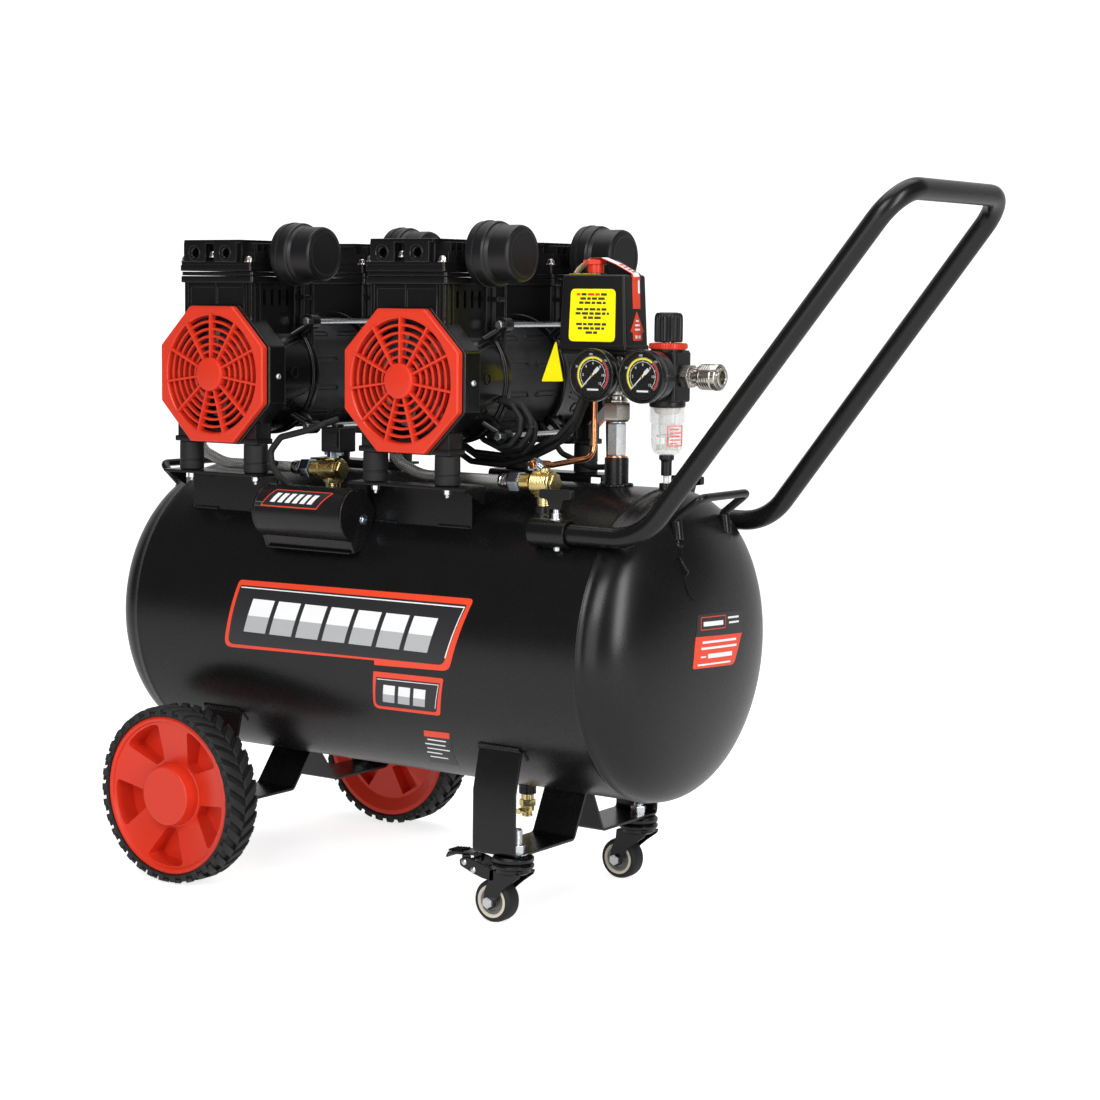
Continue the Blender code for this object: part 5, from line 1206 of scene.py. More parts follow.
def fan():
    """Cooling fan behind the grille, on the rotor."""
    made = Shape().lathe([(0.0, 0.1340), (0.0120, 0.1338), (0.0150, 0.1320), (0.0150, 0.1178), (0.0, 0.1178)],
                         (0, 0, SHAFT_Z), (0, -1, 0), 40, soften=0.0008)
    for i in range(7):
        bm = bmesh.new()
        rows = []
        for k in range(6):
            r = 0.0135 + k * 0.0072
            twist = math.radians(48 - k * 5.5)
            line = []
            for s in (-1, 1):
                w = 0.0062 + k * 0.0013
                t = i * math.tau / 7 + s * w * math.cos(twist) / r + k * 0.05
                line.append((r, t, -0.1250 + s * 0.0060 * math.sin(twist)))
            rows.append(line)
        grid = []
        for lift in (-0.0006, 0.0006):
            grid.append([[bm.verts.new((r * math.sin(t), v + lift, SHAFT_Z + r * math.cos(t))) for r, t, v in line] for line in rows])
        for k in range(5):
            for g, flip in ((grid[0], False), (grid[1], True)):
                q = (g[k][0], g[k][1], g[k + 1][1], g[k + 1][0])
                bm.faces.new(q[::-1] if flip else q)
            for c in (0, 1):
                bm.faces.new((grid[0][k][c], grid[0][k + 1][c], grid[1][k + 1][c], grid[1][k][c]))
        for k in (0, 5):
            bm.faces.new((grid[0][k][0], grid[0][k][1], grid[1][k][1], grid[1][k][0]))
        made.take(bm)
    return made


CASE = carve(union_of(crankcase().add(jacket())), chamber_tool(), *bore_tools())
CASE.add(details())
HEAD, HEAD_BOLTS, FILTER, GRILLE, FAN = head_block(), head_bolts(), intake_filter(), grille(), fan()
for unit, px in PUMPS.items():
    for side, tag in SIDES:
        key = "%s_%s" % (unit, tag)
        place = Matrix.Translation((px, 0, 0)) @ (Matrix.Identity(4) if side < 0 else mirror_y())
        piece("crankcase_casting_" + key, Shape().add(CASE, place), CAST, CHASSIS, ["crankcase_" + key])
        piece("cylinder_head_casting_" + key, Shape().add(HEAD, place), CAST, CHASSIS, ["cylinder_head_" + key])
        piece("cylinder_head_bolts_" + key, Shape().add(HEAD_BOLTS, place), NICKEL, CHASSIS)
        piece("intake_filter_housing_" + key, Shape().add(FILTER, place), MOULD, CHASSIS,
              ["intake_filter_" + key], smooth=30)
        piece("fan_grille_moulding_" + key, Shape().add(GRILLE, place), RED, CHASSIS, ["fan_grille_" + key])
        piece("cooling_fan_" + key, Shape().add(FAN, place), MOULD, "rotor_" + unit)

        mounts = Shape()
        for a in MOUNT_A:
            mounts.lathe([(0.0, 0.4273), (0.0120, 0.4273), (0.0128, 0.4282), (0.0128, 0.4365), (0.0121, 0.4372), (0.0121, 0.4380),
                          (0.0128, 0.4386), (0.0126, 0.4560), (0.0118, 0.4571), (0.0, 0.4571)],
                         (px + a, side * 0.1220, 0), (0, 0, 1), 56, soften=0.0006)
        piece("rubber_mounts_" + key, mounts, RUBBER, CHASSIS)
        nuts = Shape()
        for a in MOUNT_A:
            hex_bolt(nuts, (px + a, side * 0.1220, 0.4241), (0, 0, -1), 0.0078, 0.0044, washer=0.0056, stud=0.0034, stud_r=0.0021)
        for s in (-1, 1):
            nuts.add(pan_screw((px + s * 0.0722, side * 0.1215, SHAFT_Z - 0.0010), (s, 0, 0), 0.0032, 0.0020))
        for s in (-1, 1):
            for t in (-1, 1):
                hex_bolt(nuts, (px + s * 0.0600, side * 0.0600, SHAFT_Z + t * 0.0550), (0, side, 0), 0.0080, 0.0044)
        piece("mount_nuts_and_screws_" + key, nuts, ZINC, CHASSIS)

        pipe = Shape()
        pipe.box(px + 0.0560, px + 0.0600, *sorted((side * 0.0500, side * 0.0532)), 0.5600, 0.6300, 0.0008)
        pipe.box(px + 0.0440, px + 0.0600, *sorted((side * 0.0500, side * 0.0660)), 0.6065, 0.6112, 0.0010)
        piece("filter_bracket_" + key, pipe, CAST, CHASSIS)

    rods = Shape()
    for s in (-1, 1):
        for t in (-1, 1):
            rods.rod((px + s * 0.0600, -0.0615, SHAFT_Z + t * 0.0550), (px + s * 0.0600, 0.0615, SHAFT_Z + t * 0.0550), 0.0029, sides=20)
    piece("tie_rods_" + unit, rods, ZINC, CHASSIS)

    motor = Shape()
    motor.lathe([(0.0316, -0.0525), (0.0590, -0.0525), (0.0590, 0.0525), (0.0316, 0.0525)], (px, 0, SHAFT_Z), (0, 1, 0), 96, ring=True,
                soften=0.0008)
    for angle in range(0, 360, 30):
        t = math.radians(angle + 15)
        for y0, y1 in ((-0.0470, -0.0060), (0.0060, 0.0470)):
            a = [Vector((px + 0.0592 * math.cos(t + d), y, SHAFT_Z + 0.0592 * math.sin(t + d)))
                 for d, y in ((-0.045, y0), (-0.045, y1), (0.045, y1 - 0.004), (0.045, y0 + 0.004))]
            motor.sweep(corner_cut(a, 0.002, 3, closed=True), 0.0009, 8, closed=True)
    piece("stator_stack_" + unit, motor, LAMINATION, CHASSIS, ["stator_" + unit])

    rotor = Shape()
    rotor.rod((px, -0.1335, SHAFT_Z), (px, 0.1335, SHAFT_Z), 0.0074, sides=32, bevel=0.0010)
    rotor.lathe([(0.0, -0.0400), (0.0300, -0.0400), (0.0310, -0.0390), (0.0310, 0.0390), (0.0300, 0.0400), (0.0, 0.0400)],
                (px, 0, SHAFT_Z), (0, 1, 0), 72)
    for i in range(18):
        t = i * math.tau / 18
        rotor.rod((px + 0.0262 * math.cos(t), -0.0412, SHAFT_Z + 0.0262 * math.sin(t)),
                  (px + 0.0262 * math.cos(t), 0.0412, SHAFT_Z + 0.0262 * math.sin(t)), 0.0020, sides=12)
    for s in (-1, 1):
        rotor.rod((px - s * 0.0100, s * 0.0832, SHAFT_Z), (px - s * 0.0100, s * 0.0988, SHAFT_Z), 0.0138, sides=48, bevel=0.0008)
        rotor.lathe([(0.0, 0.1180), (0.0470, 0.1180), (0.0480, 0.1188), (0.0470, 0.1196), (0.0, 0.1196)],
                    (px, 0, SHAFT_Z), (0, s, 0), 72)
    piece("rotor_core_" + unit, rotor, STEEL, "rotor_" + unit, ["rotor_shaft_" + unit])

# ------------------------------------------------------------------ capacitor cover
CAP_Y, CAP_Z, CAP_R = -0.1360, 0.3920, 0.0275


def cap_outline(grow=0.0):
    pts = arc_points((CAP_Y, CAP_Z), CAP_R + grow, math.radians(62), math.radians(247), 36)
    return pts + [(-0.1410 - grow, 0.3545 - grow), (-0.1180 - grow, 0.3590 - grow), (-0.1062 + grow, 0.3960)]


cover = Shape().prism(cap_outline(-0.0004), "X", -0.1085, 0.0015, bevel=0.0, segments=2)
lid = flat_round(cap_outline(0.0), 0.0014)
cover.prism(lid, "X", -0.1120, -0.1078, 0.0016, 3, 40)
cover.prism(lid, "X", 0.0006, 0.0048, 0.0016, 3, 40)
cover.box(-0.1080, 0.0010, -0.1445, -0.1385, 0.3540, 0.3562, 0.0008)
barrel_tool = Shape().lathe([(0.0, -0.2), (TANK_R + 0.0006, -0.2), (TANK_R + 0.0006, 0.2), (0.0, 0.2)], (0, 0, TANK_Z), (1, 0, 0), 200)
cover = carve(union_of(cover), barrel_tool)
piece("capacitor_cover_shell", cover, POWDER, CHASSIS, ["capacitor_cover"], smooth=32)
fix = Shape().add(pan_screw((0.0046, -0.1262, 0.3875), (1, 0, 0), 0.0046, 0.0022))
fix.lathe([(0.0044, 0.0), (0.0060, 0.0), (0.0058, 0.0007), (0.0044, 0.0007)], (0.0047, -0.1262, 0.3875), (1, 0, 0), 32, ring=True)
fix.add(pan_screw((-0.1118, -0.1262, 0.3875), (-1, 0, 0), 0.0046, 0.0022))
piece("capacitor_cover_screws", fix, BLUE_ZINC, CHASSIS)


def on_cover(u, v, lift):
    t = math.radians(146) - v / CAP_R
    r = CAP_R + lift - 0.0003
    return Vector((u, CAP_Y + r * math.cos(t), CAP_Z + r * math.sin(t)))


def cover_pts(*pts):
    return [(a, b) for a, b in pts]


tag_out = flat_round([(-0.1010, -0.0098), (-0.0270, -0.0098), (-0.0130, 0.0112), (-0.0880, 0.0112)], 0.0015)
tag_in = flat_round([(-0.0990, -0.0086), (-0.0276, -0.0086), (-0.0152, 0.0100), (-0.0872, 0.0100)], 0.0010)
piece("cover_badge_frame", film(tag_out, 0.00022, on_cover, 0.003), LABEL_RED, weighted=False)
piece("cover_badge_panel", film(tag_in, 0.00034, on_cover, 0.003), LABEL_DARK, weighted=False)
marks = Shape()
x = -0.0890
for w in (0.0085, 0.0085, 0.0085, 0.0085, 0.0085, 0.0085):
    marks.add(film([(x, -0.0050), (x + w * 0.72, -0.0050), (x + w * 0.72 + 0.0062, 0.0058), (x + 0.0062, 0.0058)], 0.00046, on_cover, 0.003))
    x += w + 0.0012
piece("cover_badge_bars", marks, LABEL_WHITE, weighted=False)

# ------------------------------------------------------------------ check valves and hoses
for tag, (vx, vy) in VALVES.items():
    z = 0.4320
    ridges = []
    h = 0.0080
    while h > -0.0110:
        ridges += [(0.0124, h), (0.0124, h - 0.0008), (0.0119, h - 0.0011), (0.0119, h - 0.0014)]
        h -= 0.0018
    body = Shape().lathe([(0.0, 0.0094), (0.0110, 0.0094), (0.0120, 0.0086)] + ridges +
                         [(0.0112, -0.0128), (0.0082, -0.0140), (0.0078, -0.0160), (0.0, -0.0160)], (vx, vy, z), (1, 0, 0), 64)
    body.lathe([(0.0, 0.0098), (0.0096, 0.0098), (0.0102, 0.0105), (0.0102, 0.0120), (0.0094, 0.0134), (0.0, 0.0134)],
               (vx, vy, z), (1, 0, 0), 6, soften=0.0003)
    for i in range(6):
        body.lathe([(0.0070, -0.0162 - i * 0.0018), (0.0080, -0.0168 - i * 0.0018), (0.0080, -0.0172 - i * 0.0018),
                    (0.0070, -0.0178 - i * 0.0018)], (vx, vy, z), (1, 0, 0), 40, ring=True)
    body.rod((vx - 0.0140, vy, z), (vx - 0.0275, vy, z), 0.0071, sides=40)
    body.rod((vx, vy, 0.4093), (vx, vy, 0.4290), 0.0074, sides=40, bevel=0.0006)
    for i in range(5):
        body.rod((vx, vy, 0.4100 + i * 0.0017), (vx, vy, 0.4108 + i * 0.0017), 0.0080, sides=40, bevel=0.0003)
    body.hexa((vx, vy, 0.4186), (vx, vy, 0.4232), 0.0180, 0.0006, turn=0.2)
    body.rod((vx, vy, z + 0.0080), (vx, vy - 0.0010, z + 0.0150), 0.0056, sides=32, bevel=0.0008)
    piece("check_valve_body_" + tag, body, BRASS, CHASSIS, ["check_valve_" + tag], smooth=30)

    nut = Shape()
    nut.lathe([(0.0, -0.0268), (0.0092, -0.0268), (0.0104, -0.0280), (0.0106, -0.0300), (0.0106, -0.0388), (0.0100, -0.0402), (0.0, -0.0402)],
              (vx, vy, z), (1, 0, 0), 6, soften=0.0006)
    nut.lathe([(0.0, -0.0395), (0.0080, -0.0395), (0.0076, -0.0420), (0.0, -0.0420)], (vx, vy, z), (1, 0, 0), 40, soften=0.0004)
    piece("hose_nut_" + tag, nut, BLUE_ZINC, CHASSIS, smooth=25)
    crimp = [(0.0, -0.0412)]
    for h, r in ((0.0412, 0.0062), (0.0420, 0.0072), (0.0436, 0.0072), (0.0440, 0.0064), (0.0452, 0.0062), (0.0458, 0.0071),
                 (0.0472, 0.0073), (0.0478, 0.0066), (0.0490, 0.0064), (0.0496, 0.0071), (0.0512, 0.0072), (0.0526, 0.0068), (0.0530, 0.0060)):
        crimp.append((r, -h))
    crimp.append((0.0, -0.0530))
    piece("hose_ferrule_" + tag, Shape().lathe(crimp, (vx, vy, z), (1, 0, 0), 48), NICKEL, CHASSIS)
    hose = bent([(vx - 0.0500, vy, z), (vx - 0.1500, vy, z), (vx - 0.1820, vy, 0.4440), (vx - 0.1900, vy, 0.4650)], [0.060, 0.020], 20)
    piece("braided_hose_weave_" + tag, Shape().sweep(hose, 0.0056, 28), BRAID, CHASSIS, ["braided_hose_" + tag], smooth=50)
    top = Shape().hexa((vx - 0.1892, vy, 0.4628), (vx - 0.1934, vy, 0.4742), 0.0150, 0.0008)
    top.rod((vx - 0.1882, vy, 0.4600), (vx - 0.1896, vy, 0.4640), 0.0068)
    piece("hose_elbow_nut_" + tag, top, BLUE_ZINC, CHASSIS)

# The left valve's spare port is plugged; the right one takes the unloading tube.
vx, vy = VALVES["left"]
plug = Shape().hexa((vx, vy - 0.0010, 0.4440), (vx, vy - 0.0010, 0.4510), 0.0110, 0.0007, turn=0.3)
plug.box(vx - 0.0110, vx + 0.0120, vy - 0.0020, vy + 0.0020, 0.4466, 0.4520, 0.0008)
piece("check_valve_plug", plug, BLUE_ZINC, CHASSIS)
block = Shape().box(vx - 0.0072, vx + 0.0188, vy - 0.0120, vy + 0.0140, 0.4506, 0.4760, 0.0018, 3)
block.box(vx - 0.0040, vx + 0.0156, vy - 0.0140, vy - 0.0100, 0.4560, 0.4715, 0.0010)
block.rod((vx + 0.0058, vy, 0.4740), (vx + 0.0058, vy, 0.4790), 0.0062, sides=32, bevel=0.0008)
piece("valve_cable_block", block, MOULD, CHASSIS)

tube_run = bent([(0.1995, -0.0040, 0.5560), (0.1995, -0.0040, 0.4535), (0.1860, -0.0580, 0.4480), (0.1830, -0.0800, 0.4500)],
                [0.014, 0.012], 14)
piece("unload_tube_bend", Shape().sweep(tube_run, 0.0030, 24), COPPER, CHASSIS, ["unload_tube"], smooth=50)
vx, vy = VALVES["right"]
union = Shape()
union.hexa((0.1835, -0.0762, 0.4497), (0.1829, -0.0850, 0.4506), 0.0105, 0.0007)
union.rod((0.1831, -0.0815, 0.4502), (vx - 0.0020, vy - 0.0010, 0.4450), 0.0044, sides=24)
piece("unload_tube_union", union, BLUE_ZINC, CHASSIS)
collar = Shape().rod((0.1855, -0.0620, 0.4484), (0.1838, -0.0745, 0.4495), 0.0042, sides=28, bevel=0.0006)
collar.rod((0.1832, -0.0835, 0.4502), (0.1820, -0.0885, 0.4494), 0.0042, sides=28, bevel=0.0008)
collar.rod((0.1995, -0.0040, 0.5400), (0.1995, -0.0040, 0.5440), 0.0046, sides=28, bevel=0.0006)
piece("unload_tube_sleeves", collar, COPPER, CHASSIS)

# ------------------------------------------------------------------ manifold
low = Shape().lathe([(0.0068, 0.4557), (0.0086, 0.4557), (0.0100, 0.4571), (0.0100, 0.4876), (0.0090, 0.4890), (0.0068, 0.4890)],
                    (MANIFOLD_X, 0, 0), (0, 0, 1), 6, soften=0.0004, ring=True)
low.rod((MANIFOLD_X, 0, 0.4885), (MANIFOLD_X, 0, 0.4930), 0.0082, sides=40)
low.rod((MANIFOLD_X, 0, 0.4535), (MANIFOLD_X, 0, 0.4565), 0.0084, sides=40)
piece("hex_nipple", low, GALV, CHASSIS, smooth=25)
washer = Shape().lathe([(0.0070, 0.4544), (0.0108, 0.4544), (0.0108, 0.4558), (0.0070, 0.4558)], (MANIFOLD_X, 0, 0), (0, 0, 1), 48,
                       ring=True, soften=0.0003)
piece("copper_washer", washer, COPPER, CHASSIS)
body = Shape().lathe([(0.0, 0.4900), (0.0118, 0.4900), (0.0140, 0.4918), (0.0143, 0.4945), (0.0143, 0.5060), (0.0138, 0.5088), (0.0, 0.5092)],
                     (MANIFOLD_X, 0, 0), (0, 0, 1), 6, soften=0.0006)
body.lathe([(0.0, 0.5085), (0.0100, 0.5085), (0.0104, 0.5110), (0.0092, 0.5120), (0.0092, 0.5150), (0.0112, 0.5170), (0.0115, 0.5200),
            (0.0115, 0.5530), (0.0108, 0.5560), (0.0, 0.5562)], (MANIFOLD_X, 0, 0), (0, 0, 1), 48, soften=0.0005)
body.rod((MANIFOLD_X + 0.0060, 0, PORT_Z), (REG_X - 0.0178, 0, PORT_Z), 0.0088, sides=40)
body.hexa((MANIFOLD_X + 0.0200, 0, PORT_Z), (MANIFOLD_X + 0.0290, 0, PORT_Z), 0.0185, 0.0008)
piece("manifold_body", body, NICKEL, CHASSIS, ["air_manifold"], smooth=28)
base = Shape().box(0.1740, 0.2500, -0.0280, 0.0100, 0.5562, 0.5602, 0.0010)
piece("switch_base_plate", base, MOULD, CHASSIS)

# ------------------------------------------------------------------ pressure switch
LOW_X, LOW_Y, TOP_X, TOP_Y = (0.1726, 0.2517), (-0.0300, 0.0120), (0.1760, 0.2483), (-0.0285, 0.0105)


def shell_block(z0, z1, inset, grow=0.0):
    bm = bmesh.new()
    bmesh.ops.create_cube(bm, size=2.0)
    for v in bm.verts:
        up = v.co.z > 0
        z = z1 if up else z0
        t = (z - 0.5600) / 0.0740
        xs = [a + (b - a) * t for a, b in zip(LOW_X, TOP_X)]
        ys = [a + (b - a) * t for a, b in zip(LOW_Y, TOP_Y)]
        v.co = (xs[1] - inset + grow if v.co.x > 0 else xs[0] + inset - grow,
                ys[1] - inset + grow if v.co.y > 0 else ys[0] + inset - grow, z)
    return bm


cover = Shape()
cover.take(shell_block(0.5600, 0.6340, 0.0), 0.0030, 4)
skirt = Shape()
skirt.take(shell_block(0.5600, 0.5660, 0.0, 0.0006), 0.0018, 3)
cover.add(skirt)
ridge = [Vector((0.2148, 0.6330, 0)), (0.2455, 0.6330, 0), (0.2440, 0.6352, 0), (0.2182, 0.6482, 0), (0.2152, 0.6482, 0)]
cover.prism([(Vector(p).x, Vector(p).y) for p in ridge], "Y", -0.0060, 0.0080, 0.0012, 3)
cover = carve(union_of(cover), Shape().lathe([(0.0, 0.6700), (0.0090, 0.6700), (0.0090, 0.6120), (0.0, 0.6120)],
                                             (0.2030, -0.0100, 0), (0, 0, 1), 48))
cover.lathe([(0.0088, 0.6334), (0.0110, 0.6334), (0.0108, 0.6352), (0.0092, 0.6356)], (0.2030, -0.0100, 0), (0, 0, 1), 48, ring=True)
piece("switch_cover_moulding", cover, MOULD, CHASSIS, ["pressure_switch_cover"], smooth=32)
button = Shape().lathe([(0.0, 0.6235), (0.0078, 0.6235), (0.0080, 0.6250), (0.0080, 0.6440), (0.0, 0.6440)],
                       (0.2030, -0.0100, 0), (0, 0, 1), 48, soften=0.0004)
cap = flat_round([(0.2018 + 0.0117 * math.cos(t), -0.0100 + 0.0117 * math.sin(t)) for t in (math.pi / 6 + i * math.pi / 3 for i in range(6))], 0.0010)
button.prism(cap, "Z", 0.6440, 0.6484, 0.0005, 2, 30)
button.lathe([(0.0, 0.6480), (0.0072, 0.6480), (0.0070, 0.6490), (0.0, 0.6492)], (0.2030, -0.0100, 0), (0, 0, 1), 48, soften=0.0006)
piece("switch_button_cap", button, RED, "button", ["switch_button"])


def front_face(x, z, lift):
    t = (z - 0.5600) / 0.0740
    return Vector((x, LOW_Y[0] + (TOP_Y[0] - LOW_Y[0]) * t - lift, z))


def side_face(y, z, lift):
    t = (z - 0.5600) / 0.0740
    return Vector((LOW_X[1] + (TOP_X[1] - LOW_X[1]) * t + lift, y, z))


yellow = flat_round([(0.1850, 0.5688), (0.2392, 0.5688), (0.2388, 0.6200), (0.1868, 0.6200)], 0.0055)
piece("switch_front_label", film(yellow, 0.00030, front_face, 0.02), YELLOW, weighted=False)
ink, warm = Shape(), Shape()
for i, (a, b, gap) in enumerate(((0.14, 0.86, 0), (0.22, 0.80, 0), (0.20, 0.80, 0), (0.14, 0.84, 1), (0.12, 0.88, 0), (0.30, 0.70, 0),
                                 (0.14, 0.82, 1), (0.18, 0.78, 0), (0.36, 0.62, 0))):
    z1 = 0.6135 - i * 0.0041 - (0.0022 if i > 2 else 0) - (0.0022 if i > 5 else 0)
    x0, x1 = 0.1865 + 0.0515 * a, 0.1865 + 0.0515 * b
    at = x0
    k = 0
    while at < x1 - 0.002:
        w = min(x1 - at, 0.0042 + 0.0034 * ((k * 7 + i * 3) % 5) / 4)
        (warm if i == 0 and k % 3 != 1 else ink).add(film([(at, z1), (at + w, z1), (at + w, z1 + 0.0024), (at, z1 + 0.0024)], 0.00042, front_face, 0.02))
        at += w + 0.0014
        k += 1
piece("switch_front_label_lines", ink, LABEL_INK, weighted=False)
piece("switch_front_label_heading", warm, LABEL_RED, weighted=False)
strip = film([(-0.0150, 0.6010), (-0.0018, 0.6010), (-0.0018, 0.6335), (-0.0150, 0.6335)], 0.00045, side_face, 0.02)
arrow = flat_round([(-0.0160, 0.5700), (0.0006, 0.5700), (0.0006, 0.5775), (0.0036, 0.5790), (-0.0082, 0.5985), (-0.0200, 0.5790), (-0.0160, 0.5775)],
                   [0.002, 0.002, 0.0004, 0.0004, 0.0004, 0.0004, 0.0004])
strip.add(film(arrow, 0.00045, side_face, 0.02))
band = [(0.2040, -0.0195, 0.6520), (0.2120, -0.0120, 0.6522), (0.2290, -0.0100, 0.6440), (0.2475, -0.0085, 0.6350), (0.2492, -0.0083, 0.6310)]


def ribbon(points, width, thick, toward=(0, 1, 0)):
    made = bmesh.new()
    rows = []
    for i, p in enumerate(points):
        a, b = Vector(points[max(0, i - 1)]), Vector(points[min(len(points) - 1, i + 1)])
        t = (b - a).normalized()
        s = (Vector(toward) - t * t.dot(Vector(toward))).normalized()
        n = t.cross(s).normalized()
        rows.append([made.verts.new(Vector(p) + s * u * width / 2 + n * w * thick / 2) for u, w in ((-1, -1), (1, -1), (1, 1), (-1, 1))])
    for r, q in zip(rows, rows[1:]):
        for k in range(4):
            j = (k + 1) % 4
            made.faces.new((r[k], r[j], q[j], q[k]))
    made.faces.new(rows[0])
    made.faces.new(rows[-1])
    return Shape().take(made)


over = corner_cut([Vector(p) for p in ((0.2000, -0.0100, 0.6500), (0.2130, -0.0100, 0.6504), (0.2300, -0.0095, 0.6440), (0.2478, -0.0085, 0.6352),
                                       (0.2492, -0.0084, 0.6320), (0.2494, -0.0084, 0.6290))], 0.003, 4, least=6)
strip.add(ribbon(over, 0.0130, 0.0004))
for t in (0.06, 0.32, 0.58, 0.82):
    dash = [Vector((0.2300, -0.0095, 0.6440)).lerp(Vector((0.2478, -0.0085, 0.6352)), v) + Vector((0.0004, 0, 0.0009)) for v in (t, t + 0.11)]
    strip.add(ribbon(dash, 0.0062, 0.0003))
piece("switch_tape_red", strip, LABEL_RED, weighted=False)
edge_line = [Vector(p) + Vector((0, 0.0004, 0.00035)) for p in over[3:-2]]
tape_white = ribbon(edge_line, 0.0108, 0.0003)
tape_white.add(film([(-0.0052, 0.6160), (-0.0022, 0.6160), (-0.0022, 0.6300), (-0.0052, 0.6300)], 0.00060, side_face, 0.02))
for i in range(3):
    z0 = 0.5800 + i * 0.0042
    half = 0.0052 - abs(i - 0.4) * 0.0018
    tape_white.add(film([(-0.0080 - half, z0), (-0.0080 + half, z0), (-0.0080 + half, z0 + 0.0018), (-0.0080 - half, z0 + 0.0018)], 0.00060, side_face, 0.02))
for a, b in ((-0.0120, -0.0085), (-0.0062, -0.0030)):
    tape_white.add(film([(a, 0.5722), (b, 0.5722), (b, 0.5752), (a, 0.5752)], 0.00060, side_face, 0.02))
piece("switch_tape_white", tape_white, LABEL_WHITE, weighted=False)
under = ribbon([(0.2000, -0.0100, 0.6496), (0.1940, -0.0115, 0.6462), (0.1870, -0.0140, 0.6400), (0.1840, -0.0150, 0.6350)], 0.0120, 0.0004)
piece("switch_tape_back", under, TAPE_BACK, weighted=False)
foot_label = ribbon([(0.1830, -0.0225, 0.6345), (0.1990, -0.0225, 0.6346), (0.2140, -0.0225, 0.6345)], 0.0078, 0.0003)
piece("switch_top_label", foot_label, YELLOW, weighted=False)

